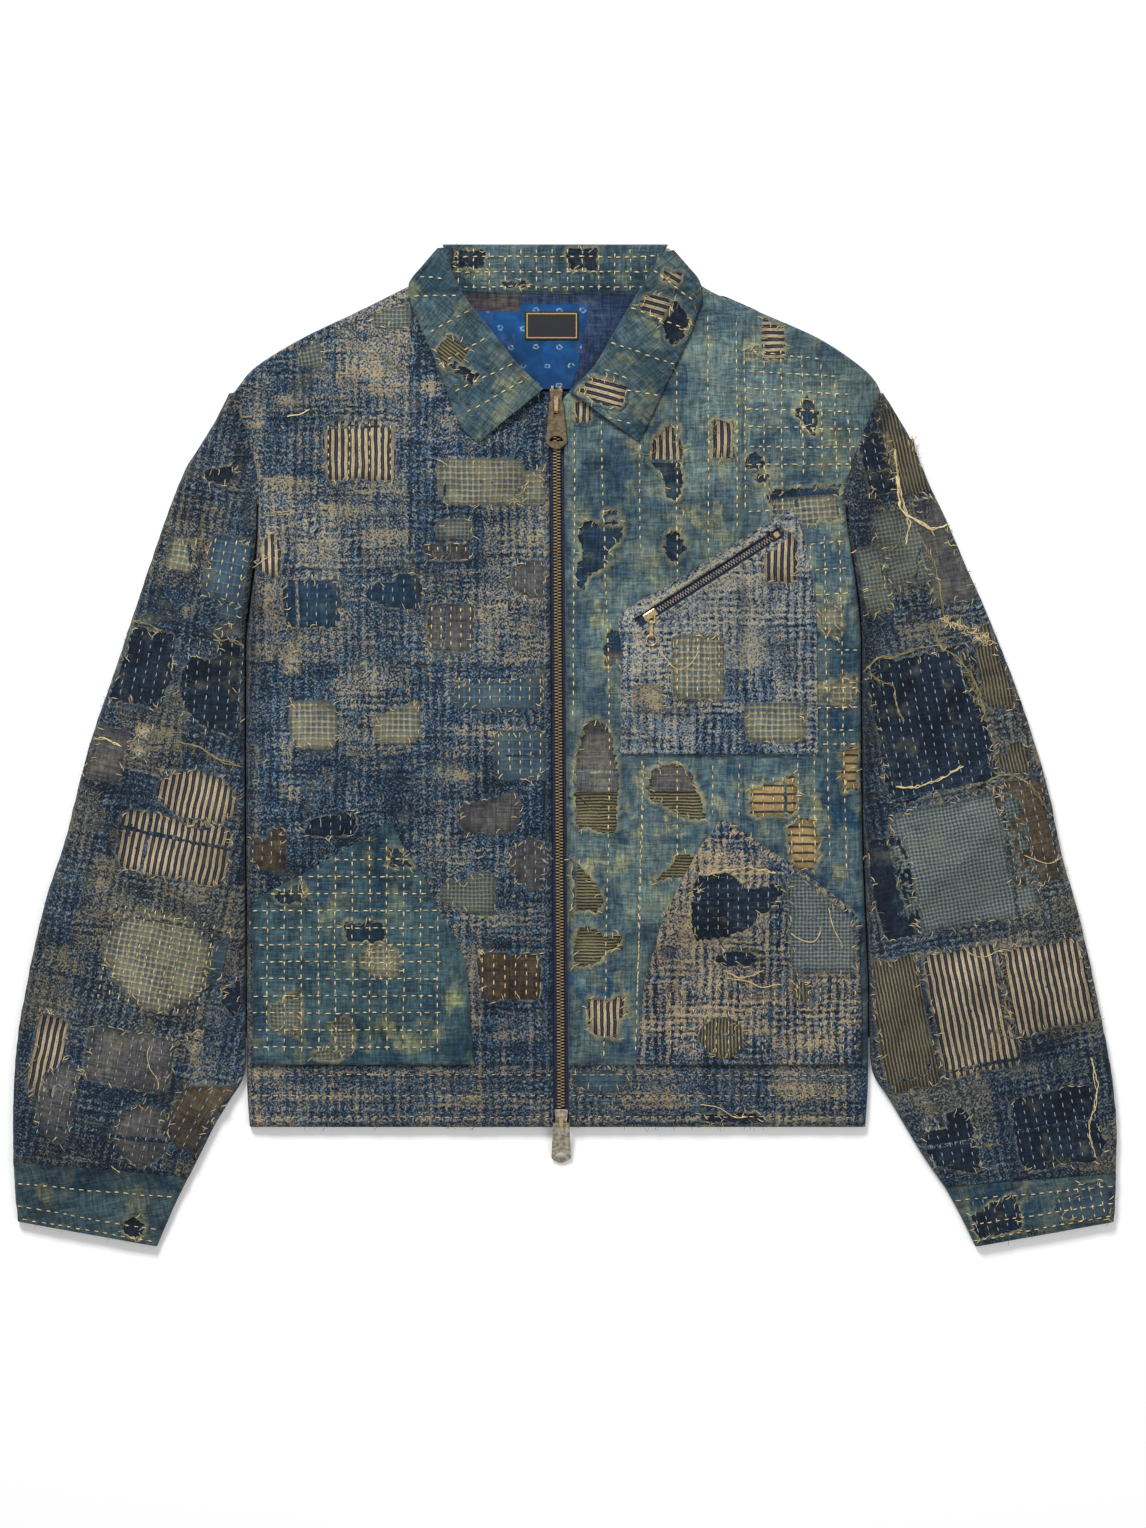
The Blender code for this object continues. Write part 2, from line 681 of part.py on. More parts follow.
# Collar, and the lining and blank label that show inside the neck
collar_back(teal)
leaf("collar_leaf_right", LEAF_RIGHT, teal)
leaf("collar_leaf_left", LEAF_LEFT, teal)
lining_top = INSIDE_LEVEL + LINING_CLOTH
cloth("lining_back", flat_rows(LINING, 6, lambda x, y: lining_top), LINING_CLOTH, lining)
label_low = lining_top + SEAM_GAP
label_left, label_right = (LABEL_CENTRE - LABEL_SIZE / 2, LABEL_CENTRE + LABEL_SIZE / 2)
label_corners = [
    (label_left.x, label_left.y),
    (label_right.x, label_left.y),
    (label_right.x, label_right.y),
    (label_left.x, label_right.y),
]
block("neck_label", label_corners, label_low, label_low + LABEL_THICK, woven)

# Pockets lie on the fronts
pocket_lift = LAY_GAP + POCKET_CLOTH


def on_front(x, y):
    return front_top(x, y) + pocket_lift


cloth("lower_pocket_right", flat_rows(POCKET_RIGHT, POCKET_SPANS, on_front), POCKET_CLOTH, teal)
cloth("lower_pocket_left", flat_rows(POCKET_LEFT, POCKET_SPANS, on_front), POCKET_CLOTH, indigo)
chest = cloth("chest_pocket", flat_rows(CHEST_POCKET, POCKET_SPANS, on_front), POCKET_CLOTH, indigo)

# The chest pocket's zip is set in a slot under its slanted top edge
slot = block("pocket_slot", strip_corners(POCKET_ZIP_FROM, POCKET_ZIP_TO, POCKET_SLOT / 2), 4.0, 16.0, navy)
jacket.objects.unlink(slot)
cutters.objects.link(slot)
slot.hide_render = True
slot.display_type = "WIRE"
cut = chest.modifiers.new("Zip slot", "BOOLEAN")
cut.operation = "DIFFERENCE"
cut.object = slot
pocket_level = max(front_top(*POCKET_ZIP_FROM), front_top(*POCKET_ZIP_TO), front_top(115.0, 134.0))
tape_low = pocket_level + SEAM_GAP
tape_high = tape_low + 0.7
zip_along = (POCKET_ZIP_TO - POCKET_ZIP_FROM).normalized()
tape_ends = (POCKET_ZIP_FROM + zip_along * 0.6, POCKET_ZIP_TO - zip_along * 0.6)
block("pocket_zip_tape", strip_corners(*tape_ends, POCKET_TAPE / 2), tape_low, tape_high, navy)
slider_from, slider_to = POCKET_ZIP_FROM + zip_along * 6.0, POCKET_ZIP_FROM + zip_along * 17.5
chain_ends = (slider_to + zip_along * SEAM_GAP, POCKET_ZIP_TO - zip_along * 7.0)
chain_low = tape_high + SEAM_GAP
chain_corners = strip_corners(*chain_ends, POCKET_CHAIN_WIDTH / 2)
block("pocket_zip_chain", chain_corners, chain_low, chain_low + 1.5, brass)
body = block("pocket_slider", strip_corners(slider_from, slider_to, 2.9), chain_low, chain_low + 2.0, brass)
rounded = body.modifiers.new("Rounded", "BEVEL")
rounded.width = 0.7 * MM
rounded.segments = 2

# Its pull: a bar on the slider, a link round the bar, and a ring in the link's lower eye
pocket_face = max(on_front(PULL_X, PULL_HINGE_Y - step) for step in (0.0, 5.0, 10.0, 15.0, 20.0))
pull_z = pocket_face + SEAM_GAP + EYE_OUTER
staple = bpy.data.curves.new("pocket_bail", "CURVE")
staple.dimensions = "3D"
staple.bevel_depth = RING_WIRE * MM
staple.bevel_resolution = 2
staple.use_fill_caps = True
bend = staple.splines.new("POLY")
staple_points = ((-2.6, 3.4), (-2.6, 0.6), (-2.0, 0.0), (2.0, 0.0), (2.6, 0.6), (2.6, 5.6))
bend.points.add(len(staple_points) - 1)
for point, (x, y) in zip(bend.points, staple_points):
    point.co = (x * MM, y * MM, 0.0, 1.0)
place("pocket_bail", staple, brass).location = metres(PULL_X, PULL_HINGE_Y, pull_z)



def pull_link(name, finish):
    """A strap folded round the bar above and the ring below: two eyes joined by a narrow waist."""
    waist_turn = math.asin(LINK_WAIST / 2 / EYE_OUTER)
    outline = []
    for centre, start in ((0.0, waist_turn - math.pi), (-LINK_LENGTH, waist_turn)):
        for i in range(15):
            turn = start + (2 * math.pi - 2 * waist_turn) * i / 14
            outline.append((centre + EYE_OUTER * math.cos(turn), EYE_OUTER * math.sin(turn)))
    eyes = (circle(0.0, 0.0, EYE_INNER, 12), circle(-LINK_LENGTH, 0.0, EYE_INNER, 12))
    piece = flat_curve(name, (outline, *eyes), LINK_WIDTH, finish)
    piece.rotation_euler = (math.pi / 2, 0.0, math.pi / 2)
    piece.location = metres(PULL_X, PULL_HINGE_Y, pull_z)


pull_link("pocket_link", brass)

bpy.ops.mesh.primitive_torus_add(
    major_radius=RING_RADIUS * MM, minor_radius=RING_WIRE * MM, major_segments=28, minor_segments=8
)
ring_piece = bpy.context.object
ring_piece.name = "pocket_ring"
for vert in ring_piece.data.vertices:
    vert.co.y -= RING_RADIUS * MM
ring_piece.data.materials.append(brass)
for collection in ring_piece.users_collection:
    collection.objects.unlink(ring_piece)
jacket.objects.link(ring_piece)
ring_piece.location = metres(PULL_X, PULL_HINGE_Y - LINK_LENGTH, pull_z)
ring_drop = EYE_OUTER - RING_WIRE
ring_piece.rotation_euler = (math.asin(ring_drop / (2 * RING_RADIUS)), 0.0, 0.0)

# Front zip: two tapes between the fronts, the closed chain on them, and a slider at each end
for name, side in (("zip_tape_right", -1.0), ("zip_tape_left", 1.0)):
    tape = []
    for y in (HEM_Y + 1.5, -150.0, 0.0, 150.0, 282.5):
        edges = sorted((zip_x(y) + side * SEAM_GAP / 2, zip_x(y) + side * TAPE_WIDTH))
        tape.append((y, *edges))
    cloth(name, flat_rows(tape, 2, lambda x, y: INSIDE_LEVEL + TAPE_CLOTH), TAPE_CLOTH, navy)
chain_from, chain_to = BOTTOM_SLIDER[0] + SEAM_GAP, TOP_SLIDER[1] - SEAM_GAP
chain_line = (Vector((zip_x(chain_from), chain_from)), Vector((zip_x(chain_to), chain_to)))
chain_low = INSIDE_LEVEL + TAPE_CLOTH + SEAM_GAP
block("zip_chain", strip_corners(*chain_line, CHAIN_WIDTH / 2), chain_low, chain_low + CHAIN_THICK, brass)
slider("top_slider", *TOP_SLIDER, SLIDER_TOP, antique)
slider("bottom_slider", *BOTTOM_SLIDER, SLIDER_TOP - 2.6, antique)
bail("top_bail", TOP_HINGE_Y, 4.7, 8.3, brass)
bail("bottom_bail", BOTTOM_HINGE_Y, 4.8, 4.6, brass)
for name, table, hole_from, hole_half, hinge_y, tilt in (
    ("top_tab", TOP_TAB, 26.6, 5.6, TOP_HINGE_Y, TOP_TAB_TILT),
    ("bottom_tab", BOTTOM_TAB, 24.0, 5.2, BOTTOM_HINGE_Y, BOTTOM_TAB_TILT),
):
    tab = pull_tab(name, table, hole_from, hole_half, antique)
    tab.location = metres(zip_x(hinge_y), hinge_y, HINGE_Z)
    tab.rotation_euler = (tilt, 0.0, 0.0)
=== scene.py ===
"""Patched boro jacket laid flat on its back on a white table, seen from straight above.

Tables give places and sizes in millimetres on the jacket: X to the wearer's left, Y up to the collar.
"""

import json
import math
import random

import bpy
from mathutils import Vector, noise
from mathutils.bvhtree import BVHTree
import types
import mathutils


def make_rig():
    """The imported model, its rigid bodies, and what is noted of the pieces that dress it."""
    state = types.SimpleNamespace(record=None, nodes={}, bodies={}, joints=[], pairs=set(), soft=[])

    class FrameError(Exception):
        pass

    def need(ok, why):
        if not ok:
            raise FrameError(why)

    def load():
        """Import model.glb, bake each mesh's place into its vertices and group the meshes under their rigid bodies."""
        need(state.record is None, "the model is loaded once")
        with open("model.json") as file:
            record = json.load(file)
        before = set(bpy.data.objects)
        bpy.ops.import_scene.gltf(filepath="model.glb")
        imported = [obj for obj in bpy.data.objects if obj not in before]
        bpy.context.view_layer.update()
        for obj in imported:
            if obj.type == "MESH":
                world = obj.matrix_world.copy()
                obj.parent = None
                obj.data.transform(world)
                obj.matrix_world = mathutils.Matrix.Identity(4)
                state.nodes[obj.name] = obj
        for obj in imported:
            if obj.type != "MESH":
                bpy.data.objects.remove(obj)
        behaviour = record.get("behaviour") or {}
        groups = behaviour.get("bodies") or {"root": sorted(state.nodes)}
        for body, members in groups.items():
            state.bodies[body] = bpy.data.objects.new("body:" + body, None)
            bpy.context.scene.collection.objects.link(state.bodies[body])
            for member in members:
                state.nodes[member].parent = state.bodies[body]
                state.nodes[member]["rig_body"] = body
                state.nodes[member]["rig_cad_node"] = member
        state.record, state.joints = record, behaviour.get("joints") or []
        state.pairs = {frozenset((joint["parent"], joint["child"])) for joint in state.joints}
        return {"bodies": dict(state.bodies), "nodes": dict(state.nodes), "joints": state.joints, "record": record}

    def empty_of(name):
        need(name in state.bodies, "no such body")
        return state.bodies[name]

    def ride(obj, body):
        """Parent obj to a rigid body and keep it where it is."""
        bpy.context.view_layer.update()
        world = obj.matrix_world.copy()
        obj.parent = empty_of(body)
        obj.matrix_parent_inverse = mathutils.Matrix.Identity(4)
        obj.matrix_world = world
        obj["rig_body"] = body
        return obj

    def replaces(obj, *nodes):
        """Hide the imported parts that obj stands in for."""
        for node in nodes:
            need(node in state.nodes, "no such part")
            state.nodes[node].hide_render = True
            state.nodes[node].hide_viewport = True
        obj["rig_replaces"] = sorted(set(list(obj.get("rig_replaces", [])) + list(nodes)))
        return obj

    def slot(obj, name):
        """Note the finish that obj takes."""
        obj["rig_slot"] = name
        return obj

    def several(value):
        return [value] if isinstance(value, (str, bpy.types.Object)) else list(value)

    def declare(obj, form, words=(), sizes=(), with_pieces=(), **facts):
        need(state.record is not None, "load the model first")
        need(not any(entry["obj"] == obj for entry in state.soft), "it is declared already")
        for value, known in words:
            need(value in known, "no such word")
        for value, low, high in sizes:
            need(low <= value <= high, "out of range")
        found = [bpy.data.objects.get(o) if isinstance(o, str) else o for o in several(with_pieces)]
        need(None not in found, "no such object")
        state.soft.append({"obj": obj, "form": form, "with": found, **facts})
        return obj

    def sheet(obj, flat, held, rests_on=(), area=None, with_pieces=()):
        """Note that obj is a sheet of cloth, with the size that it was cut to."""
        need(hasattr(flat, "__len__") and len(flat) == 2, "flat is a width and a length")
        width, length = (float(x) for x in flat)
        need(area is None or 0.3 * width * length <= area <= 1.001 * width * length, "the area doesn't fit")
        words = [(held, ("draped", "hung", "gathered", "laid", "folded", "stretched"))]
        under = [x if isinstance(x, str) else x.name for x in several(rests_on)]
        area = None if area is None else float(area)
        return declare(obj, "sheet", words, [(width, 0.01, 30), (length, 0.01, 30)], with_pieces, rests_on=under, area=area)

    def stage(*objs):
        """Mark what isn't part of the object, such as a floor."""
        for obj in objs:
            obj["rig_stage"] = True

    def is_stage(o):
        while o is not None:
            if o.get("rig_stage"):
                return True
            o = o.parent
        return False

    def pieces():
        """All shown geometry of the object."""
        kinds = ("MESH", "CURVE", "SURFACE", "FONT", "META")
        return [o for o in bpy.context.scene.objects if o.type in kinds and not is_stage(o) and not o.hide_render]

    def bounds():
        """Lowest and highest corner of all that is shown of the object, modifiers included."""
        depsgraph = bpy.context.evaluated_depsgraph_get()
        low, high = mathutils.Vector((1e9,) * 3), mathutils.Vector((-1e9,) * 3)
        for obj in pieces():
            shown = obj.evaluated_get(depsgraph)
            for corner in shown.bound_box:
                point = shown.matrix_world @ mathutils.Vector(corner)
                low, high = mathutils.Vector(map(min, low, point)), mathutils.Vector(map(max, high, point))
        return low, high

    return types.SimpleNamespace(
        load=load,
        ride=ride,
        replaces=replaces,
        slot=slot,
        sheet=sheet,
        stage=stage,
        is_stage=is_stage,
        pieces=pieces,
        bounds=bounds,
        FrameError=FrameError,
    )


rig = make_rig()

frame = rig.load()
size_at_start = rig.bounds()

# ---- Back: two quilted layers of indigo cotton, cut in one with the side seams. It lies on the table
# under the fronts, so only its underside and its seams show. Woven from uneven, slubby yarn whose pale
# flecks gather in lines along and across the cloth.
MM = 0.001
HEM_Y, BAND_Y, NECK_Y = -305.0, -256.0, 360.0
SHELL_STEP = 2.8  # spacing of the points on the top shells
UNDER_STEP = 5.0  # and on the hidden undersides

FRONT_RIGHT = (
    # y, outer, inner, roll
    (-256, -254.4, None, 1), (-222, -254.4, None, 1), (-190, -254.4, None, 1), (-157, -254.4, None, 1),
    (-124, -254.4, None, 1), (-92, -254.7, None, 1), (-60, -255, None, 1), (-28, -255, None, 1),
    (4, -255, None, 1), (36, -255, None, 1), (60, -255, None, 1), (84, -254.6, None, 1),
    (116, -251, None, 1), (150, -246.8, None, 1), (180, -245.6, None, 1), (196, -245.6, None, 0.4),
    (212, -246.2, None, 0), (231, -249.8, None, 0), (250, -255, None, 0), (266, -261.5, None, 0),
    (277.5, -265.8, None, 0), (288, -260.4, -30, 0.5), (303, -246.4, -54, 1), (325, -210.4, -72, 1),
    (345, -168.8, -87, 1), (360, -138.5, -95, 1), (373, -112, -99, 1),
)
FRONT_LEFT = (
    # y, outer, inner, roll
    (-256, 242.4, None, 1), (-222, 242.4, None, 1), (-190, 242.2, None, 1), (-157, 240.8, None, 1),
    (-124, 239.4, None, 1), (-92, 238.2, None, 1), (-60, 237.4, None, 1), (-28, 237, None, 1),
    (4, 236.8, None, 1), (36, 236.8, None, 1), (60, 236.8, None, 1), (84, 236.6, None, 1),
    (116, 234.2, None, 1), (150, 229.6, None, 1), (180, 225.2, None, 1), (196, 224.8, None, 0.4),
    (212, 226.4, None, 0), (231, 232.4, None, 0), (250, 239.4, None, 0), (266, 246.2, None, 0),
    (277.5, 251.3, None, 0), (288, 250.4, 14, 0.5), (303, 236, 37, 1), (325, 203, 53, 1), (345, 158, 65, 1),
    (360, 122, 75, 1), (373, 100, 84, 1),
)


ZIP_FOOT_X, ZIP_LEAN, ZIP_LENGTH = -3.0, 4.0, 586.0  # it leans this far over its length


def zip_x(y):
    """X of the zip's middle line at this height."""
    return ZIP_FOOT_X - ZIP_LEAN * (y - HEM_Y) / ZIP_LENGTH


def curl(x, y, size, seed=0.0):
    """Soft random value, -1 to 1, that changes over about this many millimetres."""
    return noise.noise(Vector((x / size, y / size, seed)))


def crumple(x, y, seed=0.0):
    """Small dents and ridges that washing and quilting leave all over the cloth."""
    ridge = 1.0 - abs(curl(x + 0.5 * y, y, 24.0, seed + 7.1)) * 2.2
    grain = 0.42 * curl(x, y, 17.0, seed) + 0.30 * curl(x, y, 7.5, seed + 3.3)
    return grain + 0.14 * curl(x, y, 3.6, seed + 5.9) + 0.55 * max(0.0, ridge) ** 3


def creases(x, y, table):
    """Height that the listed creases add: each runs between two points, a ridge or a trough."""
    height = 0.0
    for x0, y0, x1, y1, half, lift in table:
        reach = 2.6 * half
        near_x = min(x0, x1) - reach < x < max(x0, x1) + reach
        if not near_x or not min(y0, y1) - reach < y < max(y0, y1) + reach:
            continue
        dx, dy = x1 - x0, y1 - y0
        share = min(1.0, max(0.0, ((x - x0) * dx + (y - y0) * dy) / (dx * dx + dy * dy)))
        away = math.hypot(x - x0 - dx * share, y - y0 - dy * share) + 0.25 * half * curl(x, y, 30.0, x0)
        fade = min(1.0, 0.35 + 2.6 * share, 0.35 + 2.6 * (1.0 - share))
        height += lift * fade * math.exp(-((away / half) ** 2))
    return height


def add(tree, kind, sockets=None, **settings):
    """Adds a shader node and returns it; sockets gives its inputs as values or as links."""
    made = tree.nodes.new("ShaderNode" + kind)
    for key, value in settings.items():
        setattr(made, key, value)
    for key, value in (sockets or {}).items():
        if isinstance(value, bpy.types.NodeSocket):
            tree.links.new(value, made.inputs[key])
        else:
            made.inputs[key].default_value = value
    return made


def calc(tree, rule, a, b=0.0, c=0.0):
    return add(tree, "Math", {0: a, 1: b, 2: c}, operation=rule).outputs[0]


def times(tree, a, b):
    return calc(tree, "MULTIPLY", a, b)


def plus(tree, a, b):
    return calc(tree, "ADD", a, b)


def less(tree, a, b):
    return calc(tree, "SUBTRACT", a, b)


def vector(tree, rule, a, b=(0.0, 0.0, 0.0)):
    return add(tree, "VectorMath", {0: a, 1: b}, operation=rule).outputs[0]


def cloud(tree, place, size, detail=2.0, rough=0.55):
    """Noise whose blotches are about this many millimetres, or so many each way."""
    sizes = size if isinstance(size, tuple) else (size, size, size)
    scaled = vector(tree, "DIVIDE", place, sizes)
    sockets = {"Vector": scaled, "Scale": 1.0, "Detail": detail, "Roughness": rough}
    return add(tree, "TexNoise", sockets).outputs[0]


def between(tree, value, low, high, to_low=0.0, to_high=1.0):
    """Where value passes from low to high, runs smoothly from to_low to to_high."""
    sockets = {0: value, 1: low, 2: high, 3: to_low, 4: to_high}
    return add(tree, "MapRange", sockets, interpolation_type="SMOOTHSTEP").outputs[0]


def tint(tree, share, a, b, mode="MIX"):
    return add(tree, "Mix", {0: share, 6: a, 7: b}, data_type="RGBA", blend_type=mode).outputs[2]


def shaded(tree, colour, shade):
    """The colour made darker or lighter by this much."""
    grey = add(tree, "CombineColor", {0: shade, 1: shade, 2: shade}).outputs[0]
    return tint(tree, 1.0, colour, grey, "MULTIPLY")


def wavy(tree, place, size, amount):
    """The place on the cloth, pushed about by this many millimetres so that no line runs true."""
    scaled = vector(tree, "DIVIDE", place, (size, size, size))
    push = add(tree, "TexNoise", {"Vector": scaled, "Scale": 1.0, "Detail": 1.0}).outputs[1]
    centred = vector(tree, "SUBTRACT", push, (0.5, 0.5, 0.5))
    return vector(tree, "ADD", place, vector(tree, "MULTIPLY", centred, (2 * amount, 2 * amount, 0.0)))


def weave_group(name, inputs):
    """Starts a fabric as a node group: takes a place in millimetres, gives a colour and a height."""
    tree = bpy.data.node_groups.new(name, "ShaderNodeTree")
    tree.interface.new_socket("Place", in_out="INPUT", socket_type="NodeSocketVector")
    for label, value in inputs.items():
        kind = "NodeSocketColor" if isinstance(value, tuple) else "NodeSocketFloat"
        made = tree.interface.new_socket(label, in_out="INPUT", socket_type=kind)
        made.default_value = (*value, 1.0) if isinstance(value, tuple) else value
    tree.interface.new_socket("Colour", in_out="OUTPUT", socket_type="NodeSocketColor")
    tree.interface.new_socket("Height", in_out="OUTPUT", socket_type="NodeSocketFloat")
    start, end = tree.nodes.new("NodeGroupInput"), tree.nodes.new("NodeGroupOutput")

    def finish(colour, height):
        tree.links.new(colour, end.inputs["Colour"])
        tree.links.new(height, end.inputs["Height"])
        return tree

    return tree, start.outputs, finish


def srgb(code):
    """A written colour such as "4f6682" as the renderer's linear red, green and blue."""
    parts = [int(code[i : i + 2], 16) / 255 for i in (0, 2, 4)]
    return tuple(p / 12.92 if p <= 0.04045 else ((p + 0.055) / 1.055) ** 2.4 for p in parts)


def rgba(code):
    return (*srgb(code), 1.0)


def new_finish(name):
    """A new material with its nodes and its shader."""
    made = bpy.data.materials.new(name)
    made.use_nodes = True
    return made, made.node_tree, made.node_tree.nodes["Principled BSDF"]


def place_on_jacket(tree):
    """The place on the jacket in millimetres."""
    return vector(tree, "MULTIPLY", add(tree, "TexCoord").outputs["Object"], (1 / MM, 1 / MM, 1 / MM))


tree, given, finish = weave_group(
    "indigo_slub",
    {
        "Ground": srgb("476073"),
        "Deep": srgb("33475a"),
        "Fleck": srgb("b3a07c"),
        "Amount": 0.5,
        "Dark": 0.5,
        "Ribs": 0.062,
    },
)
loose = wavy(tree, wavy(tree, given["Place"], 18.0, 2.2), 3.2, 0.6)
parts = add(tree, "SeparateXYZ", {0: loose})
ribs_up = calc(tree, "COSINE", times(tree, parts.outputs[0], 2 * math.pi / 6.6))
ribs_over = calc(tree, "COSINE", times(tree, parts.outputs[1], 2 * math.pi / 5.4))
where_up = between(tree, cloud(tree, given["Place"], (24.0, 60.0, 1.0), 2.0), 0.38, 0.54)
where_over = between(tree, cloud(tree, given["Place"], (60.0, 24.0, 1.0), 2.0), 0.46, 0.58)
ribs = plus(tree, times(tree, ribs_up, where_up), times(tree, ribs_over, where_over))
patchy = times(tree, cloud(tree, given["Place"], (34.0, 26.0, 1.0), 4.0, 0.6), 0.4)
for size in ((8.0, 70.0, 1.0), (70.0, 8.0, 1.0)):
    patchy = calc(tree, "MULTIPLY_ADD", cloud(tree, loose, size, 2.0, 0.6), 0.3, patchy)
share = plus(tree, times(tree, less(tree, patchy, 0.5), 3.6), given["Amount"])
block = vector(tree, "DIVIDE", wavy(tree, given["Place"], 34.0, 6.0), (58.0, 74.0, 1.0))
block = vector(tree, "FLOOR", block)
luck = add(tree, "TexWhiteNoise", {"Vector": block}).outputs[0]
share = calc(tree, "MULTIPLY_ADD", less(tree, luck, 0.5), 0.8, share)
speck = cloud(tree, loose, (1.5, 1.8, 1.0), 2.0, 0.65)
slub = cloud(tree, loose, (4.8, 4.0, 1.0), 2.0)
yarn = calc(tree, "MULTIPLY_ADD", ribs, given["Ribs"], calc(tree, "MULTIPLY_ADD", speck, 1.25, -0.125))
yarn = calc(tree, "MULTIPLY_ADD", less(tree, share, 0.5), 0.17, yarn)
yarn = calc(tree, "MULTIPLY_ADD", less(tree, slub, 0.5), 0.27, yarn)
pale = between(tree, yarn, 0.53, 0.64)
dark = between(tree, calc(tree, "MULTIPLY_ADD", given["Dark"], -0.06, yarn), 0.445, 0.355)
near = cloud(tree, given["Place"], 9.0, 3.0)
warm = between(tree, calc(tree, "MULTIPLY_ADD", share, 0.25, near), 0.5, 0.72)
fleck = tint(tree, warm, rgba("818f95"), given["Fleck"])
ground = tint(tree, between(tree, patchy, 0.42, 0.53), given["Deep"], given["Ground"])
ground = tint(tree, between(tree, luck, 0.66, 0.3, 0.0, 0.55), ground, rgba("2b5273"))
colour = tint(tree, dark, ground, rgba("161f2d"))
colour = tint(tree, times(tree, pale, 0.96), colour, fleck)
slub_cloth = finish(colour, times(tree, yarn, 4.0))

# Years of wear on every cloth: uneven fading, a little yellow dust, grime in broad soft areas.
tree, given, finish = weave_group("years_of_wear", {"Cloth": (0.5, 0.5, 0.5), "Amount": 1.0})
broad = cloud(tree, given["Place"], 95.0, 3.0)
near = cloud(tree, given["Place"], 21.0, 4.0, 0.62)
dust = times(tree, between(tree, near, 0.52, 0.74), given["Amount"])
worn = tint(tree, times(tree, dust, 0.24), given["Cloth"], rgba("8f8d6d"))
grime = times(tree, between(tree, near, 0.46, 0.28), given["Amount"])
worn = tint(tree, times(tree, grime, 0.42), worn, rgba("1c222c"))
level = between(tree, broad, 0.3, 0.7, 0.78, 1.2)
years_of_wear = finish(shaded(tree, worn, level), near)


def dyed(name, fabric, values, bump=0.8, wear=1.0, fray="8f8c6c"):
    """A cloth material: the fabric's weave and colours, its wear, painted shade, and its yarns as fine bumps."""
    made, tree, shader = new_finish(name)
    grain = add(tree, "UVMap", uv_map="cloth").outputs[0]
    woven = add(tree, "Group", node_tree=fabric)
    tree.links.new(grain, woven.inputs["Place"])
    for label, value in values.items():
        woven.inputs[label].default_value = rgba(value) if isinstance(value, str) else value
    if "Amount" in woven.inputs:
        rubbed = add(tree, "Attribute", attribute_name="rubbed").outputs["Fac"]
        tree.links.new(plus(tree, rubbed, woven.inputs["Amount"].default_value), woven.inputs["Amount"])
    place = place_on_jacket(tree)
    torn = add(tree, "Attribute", attribute_name="fray").outputs["Fac"]
    cloth = tint(tree, torn, woven.outputs["Colour"], rgba(fray))
    aged = add(tree, "Group", node_tree=years_of_wear)
    tree.links.new(place, aged.inputs["Place"])
    tree.links.new(cloth, aged.inputs["Cloth"])
    aged.inputs["Amount"].default_value = wear
    # painted shade: the point attribute darkens the cloth towards near black
    dirt = times(tree, add(tree, "Attribute", attribute_name="dirt").outputs["Fac"], 0.8)
    tree.links.new(tint(tree, dirt, aged.outputs["Colour"], rgba("10151d")), shader.inputs["Base Color"])
    raised = add(tree, "Bump", {"Height": woven.outputs["Height"], "Strength": bump, "Distance": 0.0012})
    tree.links.new(raised.outputs[0], shader.inputs["Normal"])
    shader.inputs["Roughness"].default_value = 0.92
    shader.inputs["Sheen Weight"].default_value = 0.12
    shader.inputs["Specular IOR Level"].default_value = 0.12
    return made


